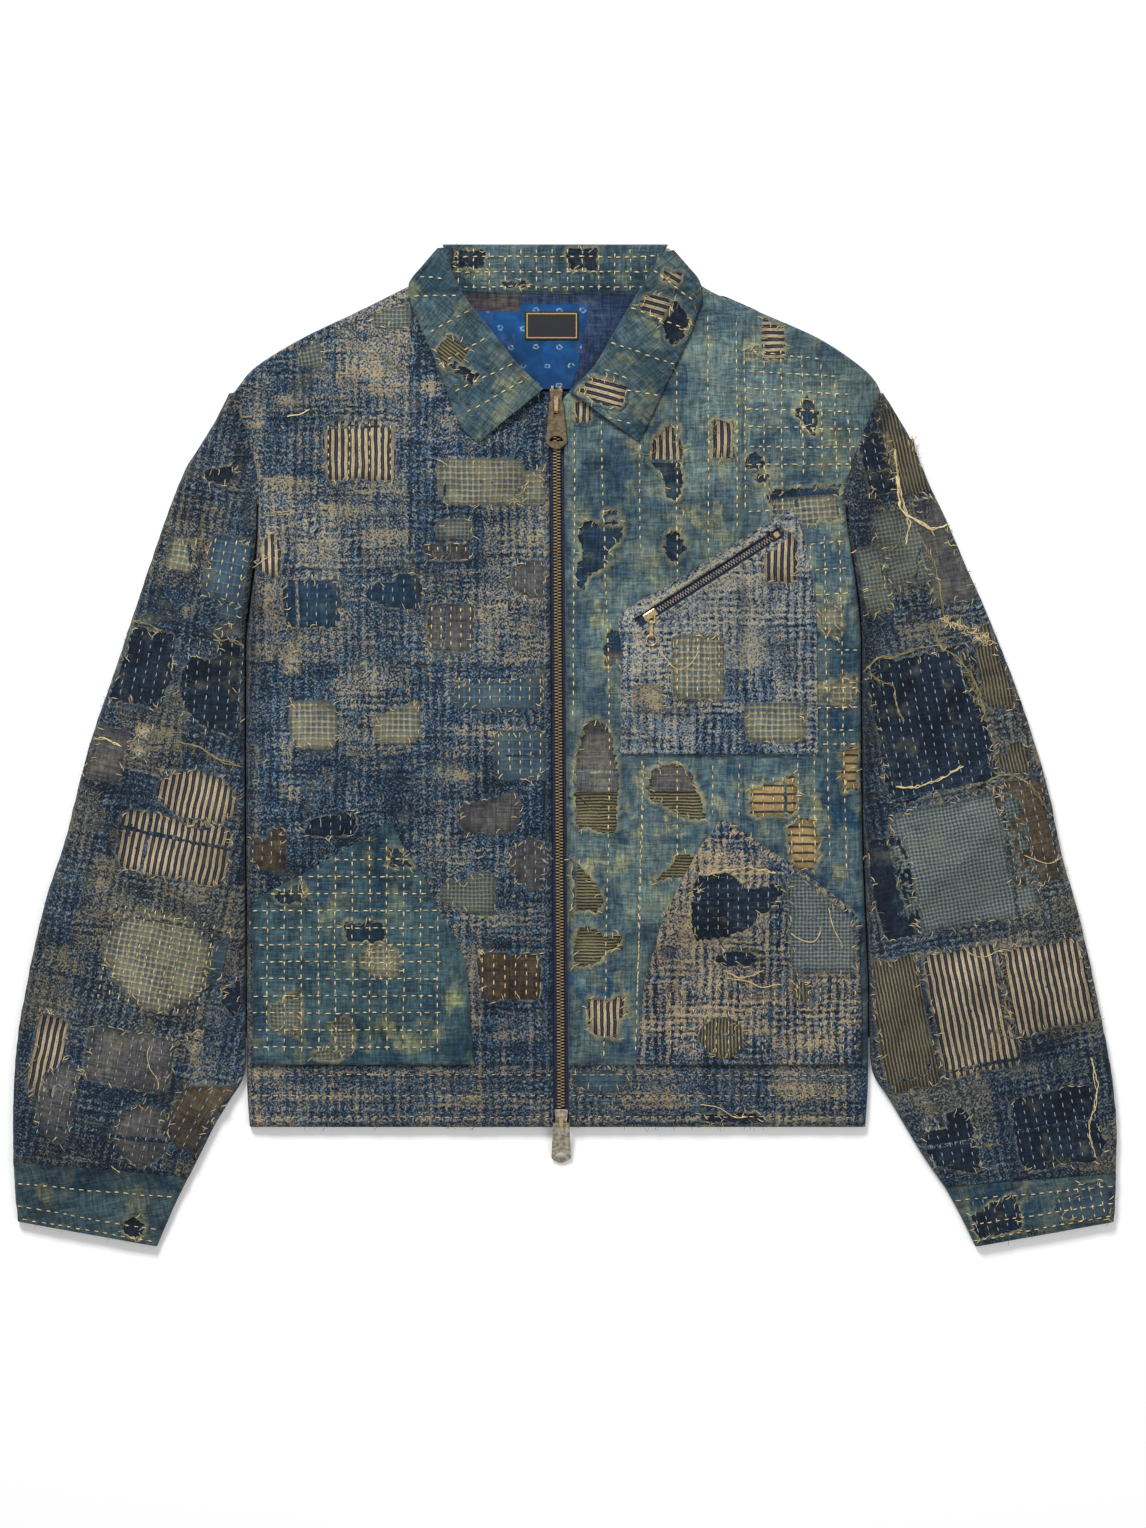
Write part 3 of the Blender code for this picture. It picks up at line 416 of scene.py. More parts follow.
SHADE_AND_RUBBED_LINES = (
    # painted shade along seams and edges, and where parts meet or lie over others: from x, y, to x, y, half width,
    # amount, up to this height
    (-263, 282, -252, 150, 7, 0.75, 30), (-252, 150, -252, -20, 8, 0.75, 30),
    (-252, -20, -250, -250, 6, 0.7, 30), (251, 274, 241, 170, 8, 0.8, 30), (241, 170, 244, -10, 8, 0.8, 30),
    (244, -10, 238, -250, 7, 0.8, 30), (-128, 352, -72, 254, 6, 0.55, 9.5),
    (-72, 254, -30, 290, 6, 0.6, 9.5), (110, 348, 50, 254, 6, 0.6, 9.5), (50, 254, 10, 290, 6, 0.55, 9.5),
    (-98, 360, 80, 360, 7, 0.6, 6.5), (-96, 352, -14, 284, 7, 0.6, 6.5), (78, 354, 2, 284, 7, 0.6, 6.5),
    (-113, 362, 96, 362, 2.2, 0.6, 30), (-254, -108, -254, -248, 4, 0.6, 10),
    (-254, -250, -97, -250, 3, 0.6, 10), (-97, -250, -112, -132, 3.5, 0.6, 10),
    (-112, -132, -152, -70, 3.5, 0.55, 10), (-152, -70, -254, -106, 3.5, 0.5, 10),
    (56, 97, 56, 26, 3, 0.6, 10), (56, 26, 176, 26, 3, 0.65, 10), (176, 26, 174, 118, 3, 0.6, 10),
    (174, 118, 160, 172, 3, 0.5, 10), (160, 172, 56, 99, 3, 0.5, 10), (80, -250, 238, -250, 3, 0.6, 10),
    (78, -246, 94, -150, 3, 0.6, 10), (94, -150, 134, -64, 3, 0.6, 10), (134, -64, 236, -134, 3, 0.5, 10),
    (-12.5, 262, -9.5, -250, 2.6, 0.6, 30), (0.5, 262, 3.5, -250, 2.6, 0.6, 30),
    (-252, -256.5, 240, -256.5, 2.4, 0.65, 30), (-250, -303, 238, -303, 3, 0.4, 30),
    (-441, -332, -300, -345, 2.6, 0.7, 30), (441, -341, 303, -352, 2.6, 0.7, 30),
    (141.5, 330, 142, -60, 2.2, 0.5, 30), (12, 226, 139, 228, 2, 0.4, 30),
    (-214, 320, -216, -60, 1.8, 0.55, 30), (-96.5, 262, -97.5, -66, 1.6, 0.35, 30),
    (-215, 253, -100, 256, 1.6, 0.35, 30), (-214, 142, -98, 137, 1.6, 0.4, 30),
    (-250, 66, -16, 62, 1.6, 0.35, 30),
    # and edges that are rubbed pale, with their amounts below nought
    (58, 95, 58, 28, 2.6, -0.9, 30), (60, 29, 172, 29, 2.4, -0.8, 30), (171, 30, 170, 118, 2.4, -0.6, 30),
    (64, 108, 158, 170, 3.2, -0.9, 30), (94, -150, 134, -66, 3, -0.9, 30),
    (134, -66, 232, -134, 2.6, -0.7, 30), (82, -240, 94, -152, 2.4, -0.5, 30),
    (-250, -260, -10, -260, 2.2, -0.6, 30), (6, -260, 236, -260, 2.2, -0.6, 30),
    (-250, -300, 236, -300, 2.4, -0.6, 30), (-247, 60, -247, -96, 3, -0.7, 30),
    (-245, 200, -246, 62, 3, -0.5, 30),
)
RUBBED_SPOTS = (
    # where the cloth is rubbed pale: x, y, half width, half height, amount
    (-110, 285, 9, 7, 0.9), (-158, 298, 20, 5, 0.9), (-146, 283, 14, 5, 0.8), (-219, 275, 14, 5, 0.9),
    (-226, 210, 14, 4, 0.9), (-176, 186, 24, 6, 0.7), (-96, 262, 10, 10, 0.5), (-140, 168, 26, 5, 0.6),
    (-218, 70, 9, 12, 1.1), (-221, -36, 9, 11, 1), (-223, -6, 6, 16, 0.8), (-244, 73, 11, 8, 0.9),
    (-240, 118, 8, 18, 0.7), (-176, 96, 12, 12, 0.4), (-168, 50, 22, 9, 0.5), (-66, 108, 26, 7, 0.5),
    (-68, 12, 34, 6, 0.6), (-84, -24, 26, 5, 0.7), (-150, -16, 30, 5, 0.5), (-48, -140, 28, 8, 0.5),
    (-90, -214, 16, 26, 0.6), (-40, -226, 26, 12, 0.6), (-30, 60, 14, 22, 0.4), (-336, 11, 7, 6, 1.1),
    (-340, -2, 6, 6, 1), (-320, 9, 9, 5, 1), (-303, 106, 6, 5, 1.2), (-367, -95, 7, 7, 0.9),
    (-369, -110, 6, 5, 1), (-352, 140, 12, 10, 0.5), (-300, 170, 20, 12, 0.4), (-392, -170, 18, 14, 0.6),
    (-360, -134, 26, 8, 0.5), (-300, -116, 20, 8, 0.5), (-292, -258, 12, 20, 0.6),
    (-400, -210, 18, 10, 0.5), (286, 92, 22, 9, 0.6), (262, 74, 14, 10, 0.6), (330, 4, 16, 12, 0.9),
    (340, -28, 22, 8, 0.5), (312, 212, 14, 12, 0.7), (322, 118, 18, 12, 0.4), (290, -168, 20, 7, 0.6),
    (352, -158, 24, 7, 0.5), (272, -284, 20, 10, 0.6), (368, -262, 24, 7, 0.7), (420, -216, 10, 22, 0.6),
    (66, 40, 16, 14, 0.8), (112, 34, 8, 14, 0.9), (148, 60, 8, 28, 0.5), (74, 90, 16, 8, 0.5),
    (124, 130, 30, 8, 0.5), (110, -84, 16, 8, 0.8), (134, -104, 26, 7, 0.7), (100, -150, 9, 20, 0.6),
    (120, -214, 26, 7, 0.5), (196, -236, 26, 8, 0.6), (90, -208, 8, 14, 0.8), (226, -206, 8, 30, 0.6),
    (-190, -278, 46, 8, 0.5), (-70, -286, 38, 7, 0.6), (66, -284, 32, 8, 0.7), (188, -276, 36, 8, 0.6),
    (104, 200, 20, 44, 0.5), (30, 130, 16, 40, 0.6), (72, 60, 20, 30, 0.5), (90, -60, 34, 26, 0.8),
    (30, -90, 22, 24, 0.6), (86, 246, 40, 18, 0.5), (190, 302, 30, 10, 0.3), (210, 120, 16, 14, 0.6),
    (212, 46, 18, 22, 0.8), (170, -52, 34, 18, 0.6), (206, -92, 20, 14, 0.8), (-170, -190, 24, 22, 0.5),
    (-224, -232, 26, 12, 0.7), (-130, -226, 20, 16, 0.6), (-200, -130, 30, 10, 0.5),
)


CELL = 30.0  # the tables above are looked up by squares of this size


def by_square(table, reach_of):
    """The table's rows by each square of the jacket that they reach."""
    squares = {}
    for row in table:
        (low_x, high_x), (low_y, high_y) = reach_of(row)
        for i in range(math.floor(low_x / CELL), math.floor(high_x / CELL) + 1):
            for k in range(math.floor(low_y / CELL), math.floor(high_y / CELL) + 1):
                squares.setdefault((i, k), []).append(row)
    return squares


def line_reach(row):
    """How far a line's painted shade or rubbing goes: 2.4 half widths to every side."""
    reach = 2.4 * row[4]
    (x0, x1), (y0, y1) = sorted((row[0], row[2])), sorted((row[1], row[3]))
    return (x0 - reach, x1 + reach), (y0 - reach, y1 + reach)


def spot_reach(row):
    """How far a rubbed spot goes: 1.8 times its half width and half height."""
    x, y, wide, high = row[0], row[1], 1.8 * row[2], 1.8 * row[3]
    return (x - wide, x + wide), (y - high, y + high)


shade_and_rubbed_lines, rubbed_spots = by_square(SHADE_AND_RUBBED_LINES, line_reach), by_square(RUBBED_SPOTS, spot_reach)


def mark_shade_and_wear(piece):
    """Writes on each point of a piece how much painted shade lies there and how far it is rubbed."""
    dirt, rubbed = [], []
    for x, y, z in ((vert.co.x / MM, vert.co.y / MM, vert.co.z / MM) for vert in piece.data.vertices):
        square = (math.floor(x / CELL), math.floor(y / CELL))
        uneven, dark, pale = 0.75 + 0.6 * curl(x, y, 11.0, 17.0), 0.0, 0.0
        for x0, y0, x1, y1, half, amount, top in shade_and_rubbed_lines.get(square, ()):
            if z < top:
                dx, dy = x1 - x0, y1 - y0
                along = min(1.0, max(0.0, ((x - x0) * dx + (y - y0) * dy) / (dx * dx + dy * dy)))
                away = math.hypot(x - x0 - dx * along, y - y0 - dy * along) / half
                # painted shade: darkest on the line, and only on points below its height
                dark = max(dark, amount * math.exp(-away * away))
                pale = max(pale, -amount * math.exp(-away * away))
        for spot_x, spot_y, half_x, half_y, amount in rubbed_spots.get(square, ()):
            away = ((x - spot_x) / half_x) ** 2 + ((y - spot_y) / half_y) ** 2
            pale = max(pale, amount * math.exp(-away * away))
        dirt.append(uneven * dark)
        rubbed.append(uneven * pale)
    for label, values in (("dirt", dirt), ("rubbed", rubbed)):
        if any(values) and label not in piece.data.attributes:
            piece.data.attributes.new(label, "FLOAT", "POINT").data.foreach_set("value", values)


def mesh_piece(name, points, faces, places, finish, smooth=True):
    """A named piece that rides with the jacket, from points in millimetres and cloth places."""
    data = bpy.data.meshes.new(name)
    data.from_pydata([(x * MM, y * MM, z * MM) for x, y, z in points], [], faces)
    layer = data.uv_layers.new(name="cloth")
    layer.data.foreach_set("uv", [value for loop in data.loops for value in places[loop.vertex_index]])
    if smooth:
        data.shade_smooth()
    data.materials.append(finish)
    piece = bpy.data.objects.new(name, data)
    bpy.context.scene.collection.objects.link(piece)
    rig.ride(piece, "jacket")
    return piece


def grid_faces(rows, columns, closed=False, first=0):
    """Quads over rows of points, each row this many columns long."""
    spans = columns if closed else columns - 1
    faces = []
    for r in range(rows - 1):
        for c in range(spans):
            a, b = first + r * columns + c, first + r * columns + (c + 1) % columns
            faces.append((a, b, b + columns, a + columns))
    return faces


def turned(point, degrees):
    """A point's place on the cloth, its yarns this many degrees round from the jacket's length.

    Its height counts both ways, so that the weave goes on round an edge and down a side.
    """
    x, y, z = point
    turn = math.radians(degrees)
    c, s = math.cos(turn), math.sin(turn)
    return (x + z) * c + (y + z) * s, (y + z) * c - (x + z) * s


def shell(name, rows, finish, grain=0.0, closed=False, flip=False):
    """A skin of cloth through rows of points, all rows equally long."""
    points = [point for row in rows for point in row]
    places = [turned(point, grain) for point in points]
    faces = grid_faces(len(rows), len(rows[0]), closed)
    if flip:
        faces = [face[::-1] for face in faces]
    piece = mesh_piece(name, points, faces, places, finish)
    mark_shade_and_wear(piece)
    return piece


def curved(before, low, high, after, t):
    """Twice the way a smooth curve has gone from low when it is this share t of the way to high."""
    square = (2 * before - 5 * low + 4 * high - after) * t * t
    return (high - before) * t + square + (3 * low - before - 3 * high + after) * t**3


def smooth_table(table, step):
    """The table's rows, filled in with rows between them along a smooth curve about a step apart."""
    filled = []
    for i in range(len(table) - 1):
        before, after = table[max(i - 1, 0)], table[min(i + 2, len(table) - 1)]
        low, high = table[i], table[i + 1]
        spans = max(1, round(max(abs(high[0] - low[0]), abs(high[1] - low[1])) / step))
        for k in range(spans):
            t = k / spans
            filled.append([b + 0.5 * curved(a, b, c, d, t) for a, b, c, d in zip(before, low, high, after)])
    filled.append(list(table[-1]))
    return filled


ZIP_EDGE = 6.0  # the fronts and the hem band end this far from the zip's middle line


def edged(table, side):
    """The front's table with the edge along the zip filled in."""
    filled = []
    for y, outer, inner, roll in table:
        filled.append((y, outer, zip_x(y) + side * ZIP_EDGE if inner is None else inner, roll))
    return filled


front_rows = {"right": edged(FRONT_RIGHT, -1.0), "left": edged(FRONT_LEFT, 1.0)}
old_indigo = dyed("old_indigo", slub_cloth, {"Amount": 0.35, "Dark": 0.7})
back_rows = []
for right, left in zip(*(smooth_table(front_rows[side], UNDER_STEP) for side in ("right", "left"))):
    y = min(right[0], NECK_Y - 0.5)
    # It reaches under the sleeve, but stays back from a side that is rolled under.
    beside_sleeve = -236.0 < y < 196.0
    tuck = -2.6 if beside_sleeve else 4.5 if right[3] > 0.02 else 0.3
    low, high = right[1] + tuck, left[1] - tuck
    xs = [low + (high - low) * i / 96 for i in range(97)]
    back_rows.append([(x, y, 0.55 + 0.22 * crumple(x, y, 40.0)) for x in xs])
back = shell("back_cloth", back_rows, old_indigo, flip=True)
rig.replaces(back, "back")
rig.slot(back, "indigo_cloth")
laid_cloths = []


def lay_cloth(piece, panel, flat, area, rests_on, held="laid"):
    """Notes how a cloth was cut; it is declared at the end, with all that is sewn on its panel."""
    laid_cloths.append((piece, panel, flat, area, rests_on, held))


lay_cloth(back, "back", (0.518, 0.616), 0.291, ["table"])

# ---- Fronts: quilted like the back and rolled under at the sides and shoulders. The wearer's right one is
# the slubby indigo, the left a plain teal-blue cotton faded in blocks, worn to yellow-green in places.
CREASES_RIGHT = (
    # from x, y, to x, y, half width, height
    (-232, 176, -120, 92, 26, 0.6), (-205, -40, -70, -96, 24, 0.5), (-60, 150, -46, -20, 22, -0.5),
    (-238, 196, -176, 150, 6, 1.6), (-236, 176, -190, 120, 5, -1.2), (-244, 150, -196, 128, 6, 1.3),
    (-250, 60, -205, 44, 7, 1.2), (-252, 20, -214, -30, 8, -1), (-246, -60, -190, -52, 5, 1.1),
    (-22, 262, -14, 170, 4, -1.4), (-30, 250, -64, 190, 6, 1.4), (-18, 150, -16, 30, 4, 1),
    (-16, 20, -18, -120, 5, -1), (-100, 290, -60, 240, 8, -1.1), (-190, 300, -140, 280, 9, 1),
    (-110, 70, -90, -10, 7, 0.9), (-70, -110, -20, -150, 7, 1.2), (-66, -200, -12, -214, 6, 1.3),
    (-160, 70, -120, 40, 6, -0.9), (-235, 250, -180, 262, 8, -1.2),
)
CREASES_LEFT = (
    # from x, y, to x, y, half width, height
    (215, 172, 214, 60, 22, 0.5), (60, 215, 160, 236, 24, 0.6), (30, 10, 26, -190, 20, 0.5),
    (142, 300, 146, 196, 3.5, -1.5), (148, 290, 152, 200, 5, 1.3), (228, 190, 190, 130, 6, 1.5),
    (226, 168, 206, 90, 5, -1.3), (222, 130, 212, 30, 6, 1.3), (30, 232, 70, 196, 6, 1.2),
    (14, 210, 60, 170, 7, -1.1), (12, 100, 30, 20, 6, 1.2), (60, 140, 56, 20, 5, 1),
    (12, -20, 60, -90, 8, 1.2), (10, -80, 52, -150, 6, -1.2), (14, -170, 56, -196, 6, 1.3),
    (210, -20, 216, -70, 7, 1.1), (100, 300, 140, 250, 8, -1), (170, 320, 214, 290, 8, 1.1),
    (110, -20, 130, -56, 7, -1.1), (186, 250, 220, 228, 6, 1.2),
)


def lie(x, y):
    """Height of a front's face before its fine creases: a broad swell."""
    return 7.6 + 0.35 * math.sin(x / 47 + 1.1) * math.cos(y / 61) + 0.25 * math.sin((x + y) / 83)


SASHIKO_LINES = (28.0, 59.2, 88.8, 114.4, 136.0)  # rows of running stitch up the left front
SASHIKO_GRID = (148.0, 12.4)  # and a grid of them from here to its side, this far apart


def quilting(x, y):
    """Puckers that the rows of stitching draw into the cloth."""
    if x < zip_x(y):
        row = math.sin(math.pi * (y + 1.6 * curl(x, y, 40.0, 4.0)) / 7.0) * math.sin(math.pi * x / 7.4)
        return 0.30 * row * (0.5 + abs(curl(x, y, 45.0, 8.0)) * 2.0)
    start, pitch = SASHIKO_GRID
    if x > start - pitch / 2:
        square = abs(math.sin(math.pi * (x - start) / pitch) * math.sin(math.pi * y / pitch))
        return 0.9 * square**0.6 - 0.5
    pull = max(math.exp(-(((x - line) / 2.4) ** 2)) for line in SASHIKO_LINES)
    return -0.75 * pull * (0.7 + 0.5 * math.sin(y * 0.85))


def front_face(x, y):
    table = CREASES_RIGHT if x < zip_x(y) else CREASES_LEFT
    return lie(x, y) + 1.25 * creases(x, y, table) + 1.5 * crumple(x, y) + quilting(x, y)


ROLL_UNDER, ROLL_FOOT, ROLL_SIDE = 9.0, 0.35, 3.2  # how far a rolled edge goes under; its heights


def rolled_edge(outer, inner, y, roll, face):
    """Points from under the side seam, round the rolled edge and up to the face.

    With a roll of nought the edge is cut and lies level with the face.
    """
    inwards = 1.0 if inner > outer else -1.0
    points = [(outer + inwards * ROLL_UNDER * roll, y, ROLL_FOOT + (1 - roll) * (face(outer, y) - 3.0))]
    for k in range(8):
        turn = math.radians(-60.0 + 150.0 * k / 7)
        out = (4.4 if turn > 0 else 2.6) * (1.0 - math.cos(turn))
        x = outer + inwards * (roll * out + (1 - roll) * 0.62 * k)
        high = face(x, y)
        if turn < 0:
            z = 0.3 + 2.9 * (1 + math.sin(turn) / math.sin(math.radians(60.0)))
        else:
            z = ROLL_SIDE + (high - ROLL_SIDE) * math.sin(turn)
        points.append((x, y, roll * z + (1 - roll) * (high - {0: 2.4, 1: 0.9}.get(k, 0.0))))
    return points


def turned_edge(inner, outer, y, face, depth=2.4):
    """Points over a folded or cut edge: rounded over, then down to the cloth below."""
    away = 1.0 if inner > outer else -1.0
    points = []
    for k in range(4):
        turn = math.radians(90.0 * k / 3)
        x = inner - away * 1.1 * (1.0 - math.sin(turn))
        points.append((x, y, face(x, y) - depth * (1.0 - math.cos(turn))))
    return points


FRONT_SPANS, BAND_SPANS = 93, 101  # points across a front's face, and across the hem band's


def front_shell(name, table, face, finish):
    """A front, from under its side seam over its face to the edge along the zip."""
    rows = []
    for y, outer, inner, roll in smooth_table(table, SHELL_STEP):
        away = 1.0 if inner > outer else -1.0
        ragged = 0.5 * curl(0.0, y, 9.0, outer)
        row = rolled_edge(outer, inner, y, min(1.0, max(0.0, roll)), face)
        start, stop = row[-1][0], inner - away * (1.4 + ragged)
        for i in range(1, FRONT_SPANS):
            x = start + (stop - start) * i / FRONT_SPANS
            row.append((x, y, face(x, y)))
        row.extend(turned_edge(inner - away * ragged, outer, y, face))
        rows.append(row if away > 0 else row[::-1])
    return shell(name, rows, finish)


worn_indigo = dyed(
    "worn_indigo",
    slub_cloth,
    {"Amount": 0.5, "Dark": 0.75, "Ground": "3b5b73", "Deep": "2c4760", "Fleck": "ad9d7c"},
    fray="7c8384",
)
tree, given, finish = weave_group(
    "plain_cotton",
    {"Fresh": srgb("223f55"), "Faded": srgb("637571"), "Worn": srgb("87896b"), "Amount": 0.5, "Block": 52.0},
)
loose = wavy(tree, given["Place"], 26.0, 4.0)
block = add(tree, "CombineXYZ", {0: given["Block"], 1: times(tree, given["Block"], 1.35), 2: 1.0}).outputs[0]
block = vector(tree, "FLOOR", vector(tree, "DIVIDE", loose, block))
luck = add(tree, "TexWhiteNoise", {"Vector": block}).outputs[0]
soft = between(tree, cloud(tree, given["Place"], 30.0, 5.0, 0.6), 0.38, 0.62)
faded = plus(tree, times(tree, luck, 0.42), times(tree, soft, 0.58))
colour = tint(tree, faded, given["Fresh"], given["Faded"])
rubbed = between(tree, cloud(tree, given["Place"], (24.0, 34.0, 1.0), 5.0, 0.6), 0.52, 0.68)
rubbed = times(tree, rubbed, given["Amount"])
colour = tint(tree, rubbed, colour, given["Worn"])
warp = cloud(tree, given["Place"], (1.5, 22.0, 1.0), 3.0, 0.6)
weft = cloud(tree, given["Place"], (22.0, 1.5, 1.0), 3.0, 0.6)
mottle = cloud(tree, given["Place"], 4.6, 4.0, 0.7)
yarn = plus(tree, warp, weft)
shade = between(tree, yarn, 0.76, 1.24, 0.56, 1.44)
shade = times(tree, shade, between(tree, mottle, 0.33, 0.67, 0.72, 1.26))
colour = shaded(tree, colour, shade)
plain_cloth = finish(colour, plus(tree, times(tree, yarn, 0.9), times(tree, mottle, 1.2)))
teal_cotton = dyed("teal_cotton", plain_cloth, {"Amount": 0.6}, bump=0.6)

right_front = front_shell("front_right_cloth", front_rows["right"], front_face, worn_indigo)
left_front = front_shell("front_left_cloth", front_rows["left"], front_face, teal_cotton)
for piece, panel, finish_slot, flat in (
    (right_front, "front_right", "indigo_cloth", (0.262, 0.632)),
    (left_front, "front_left", "teal_cloth", (0.256, 0.632)),
):
    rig.replaces(piece, panel)
    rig.slot(piece, finish_slot)
    lay_cloth(piece, panel, flat, 0.94 * flat[0] * flat[1], ["back_cloth"])

# ---- Hem band: a separate strip of the same indigo cloth quilted in close rows, so that it stands in ridges.
# It is sewn under both fronts and the back in three lengths.
BAND_ROW = 8.4  # spacing of its quilting


def band_face(x, y):
    across = (y - HEM_Y) / BAND_ROW + 0.16 * curl(x, y, 30.0, 2.0)
    ridge = abs(math.sin(math.pi * across)) ** 0.6
    pucker = curl(x * 1.7, y * 0.4, 6.0, 9.0) * 0.5
    return lie(x, y) - 0.9 + 1.25 * ridge + pucker * ridge + 0.6 * crumple(x, y, 12.0)


def hem_band(name, table, side, node):
    """A front length of the band, its side rolled under like the front's above it."""
    outer = table[0][1]
    rows = []
    for i in range(25):
        share = i / 24
        y = HEM_Y + share * (BAND_Y - HEM_Y)
        drawn_in = 2.4 * (1.0 - share) ** 2
        inner = zip_x(y) + side * ZIP_EDGE
        row = rolled_edge(outer - side * drawn_in, inner, y, 1.0, band_face)
        start, stop = row[-1][0], inner + side * 1.2
        for k in range(1, BAND_SPANS):
            x = start + (stop - start) * k / BAND_SPANS
            row.append((x, y, band_face(x, y)))
        row.extend(turned_edge(inner, outer, y, band_face))
        rows.append(row)
    # The bottom edge is folded under.
    fold = []
    for down, back_in in ((-6.4, 2.2), (-4.6, 0.4), (-2.2, -0.3)):
        fold.append([(x, HEM_Y + back_in, max(0.35, min(z, z + down))) for x, y, z in rows[0]])
    rows = fold + rows
    rows = rows if side < 0 else [row[::-1] for row in rows]
    piece = shell(name, rows, hem_indigo)
    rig.replaces(piece, node)
    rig.slot(piece, "indigo_cloth")
    lay_cloth(piece, node, (0.262, 0.057), 0.0145, ["hem_band_back_cloth"])
    return piece


hem_indigo = dyed("hem_indigo", slub_cloth, {"Amount": 0.6, "Dark": 0.75, "Ground": "43586a"}, bump=0.9)
rows = []
for i in range(12):
    y = HEM_Y + 1.0 + i * (BAND_Y - HEM_Y - 1.0) / 11
    xs = [-250.6 + 489.0 * k / 98 for k in range(99)]
    rows.append([(x, y, 0.5 + 0.2 * crumple(x, y, 44.0)) for x in xs])
band_back = shell("hem_band_back_cloth", rows, hem_indigo, flip=True)
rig.replaces(band_back, "hem_band_back")
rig.slot(band_back, "indigo_cloth")
lay_cloth(band_back, "hem_band_back", (0.489, 0.048), None, ["table"])
band_right = hem_band("hem_band_right_cloth", FRONT_RIGHT, -1.0, "hem_band_right")
band_left = hem_band("hem_band_left_cloth", FRONT_LEFT, 1.0, "hem_band_left")

# ---- Sleeves: tubes of darker indigo cloth, pressed flat, set in at the armhole and narrowed to the cuff.
# They crease across at the elbow and at the underarm, on both sides.
SLEEVE_RIGHT = (
    # outer_x, outer_y, inner_x, inner_y, height, bow
    (-268.7, 281, -246.3, 196, 7.8, 3), (-279, 260, -247.2, 164, 8.6, 3.2), (-291, 240, -251, 130, 9, 2.4),
    (-304, 219, -255.4, 95, 9.1, 1.2), (-316, 189, -255.9, 58, 9.2, 0), (-329, 152, -255.9, 20, 9.2, 0),
    (-345, 104, -255.9, -20, 9, 0), (-363, 50, -255.9, -62, 9.2, 0), (-377.5, 8, -255.6, -104, 8.8, 0),
    (-389, -34, -255.3, -146, 9.2, 0), (-400, -78, -255.2, -188, 8.8, 0),
    (-412, -114, -255.2, -226, 9.2, 0), (-422, -152, -256, -262, 9, 0), (-431, -196, -268, -284, 9.2, 0),
    (-437.5, -234, -279.5, -303, 8.8, 0), (-441, -284, -290, -324, 9, 0),
    (-441, -333, -300.5, -345, 8.2, 0),
)
SLEEVE_LEFT = (
    # outer_x, outer_y, inner_x, inner_y, height, bow
    (254.5, 281, 225.8, 196, 7.8, 3.4), (265, 264, 228.9, 164, 8.6, 3.4), (277, 243, 233.4, 130, 9, 2.4),
    (290.5, 210, 237.4, 97, 9.1, 1.2), (305, 179, 237.6, 62, 9.2, 0), (320.5, 143, 237.7, 24, 9, 0),
    (338, 103, 237.8, -16, 9.2, 0), (357.5, 54, 238.3, -58, 8.8, 0), (374, 6, 239.5, -100, 9.2, 0),
    (386.5, -38, 241.3, -142, 9, 0), (397.5, -90, 243.2, -186, 9.2, 0), (409, -130, 243.4, -226, 8.8, 0),
    (419, -172, 245.4, -260, 9.2, 0), (429.5, -222, 258.5, -282, 9, 0), (436, -258, 271.5, -304, 8.8, 0),
    (440.6, -300, 286, -328, 9, 0), (440.4, -342, 303, -352.5, 8.2, 0),
)
SLEEVE_GRAIN = 11.0  # degrees the sleeves hang away from the body
SLEEVE_CREASES = (
    # down the sleeve, across at the outer edge, at the inner edge, half width, height
    (0.06, 0.15, 0.8, 0.02, 1.1), (0.12, 0.3, 1, 0.016, -1.2), (0.17, 0.45, 1, 0.012, 1.3),
    (0.24, 0.2, 0.9, 0.014, -0.9), (0.33, 0, 0.5, 0.012, 1.1), (0.41, 0.3, 1, 0.014, 1),
    (0.46, 0, 0.7, 0.01, -1.1), (0.52, 0.1, 1, 0.013, 1.2), (0.6, 0.4, 1, 0.012, -0.9),
    (0.68, 0, 0.6, 0.013, 1), (0.76, 0.2, 1, 0.012, 1.1), (0.84, 0, 0.8, 0.01, -1),
    (0.92, 0.1, 1, 0.01, 1.1),
)
TOP_SPANS, BOTTOM_SPANS, ARC = 62, 22, 6  # points over a tube, under it and round each edge


def tube_rows(table, relief, step=SHELL_STEP):
    """Rings of a flattened tube: up its outer edge, over its face, down the inner edge, back below."""
    rows = []
    for n, (outer_x, outer_y, inner_x, inner_y, height, bow) in enumerate(smooth_table(table, step)):
        outer, inner = Vector((outer_x, outer_y)), Vector((inner_x, inner_y))
        outer.x += 0.5 * curl(outer_x, outer_y, 8.0, 5.0)
        across = inner - outer
        width = across.length
        across.normalize()
        side = 1.0 if across.x > 0 else -1.0
        body = Vector((-across.y, across.x)) * side
        radius = height / 2
        places = []
        for i in range(ARC + 1):
            turn = math.pi * i / ARC
            places.append((radius - radius * math.sin(turn), radius - radius * math.cos(turn)))
        for i in range(1, TOP_SPANS):
            places.append((radius + (width - 2 * radius) * i / TOP_SPANS, height))
        for i in range(ARC + 1):
            turn = math.pi * i / ARC
            places.append((width - radius + radius * math.sin(turn), radius + radius * math.cos(turn)))
        for i in range(1, BOTTOM_SPANS):
            places.append((width - radius - (width - 2 * radius) * i / BOTTOM_SPANS, 0.0))
        row = []
        for along, z in places:
            share = min(1.0, max(0.0, along / width))
            spot = outer + across * along + body * bow * 4 * share * (1 - share)
            rise = relief(spot.x, spot.y, share, n)
            lifted = max(0.15, z - 0.2 + rise * (z / height)) if z > 0.3 * height else 0.3 + 0.2 * rise
            row.append((spot.x, spot.y, max(0.12, lifted)))
        rows.append(row)
    return rows


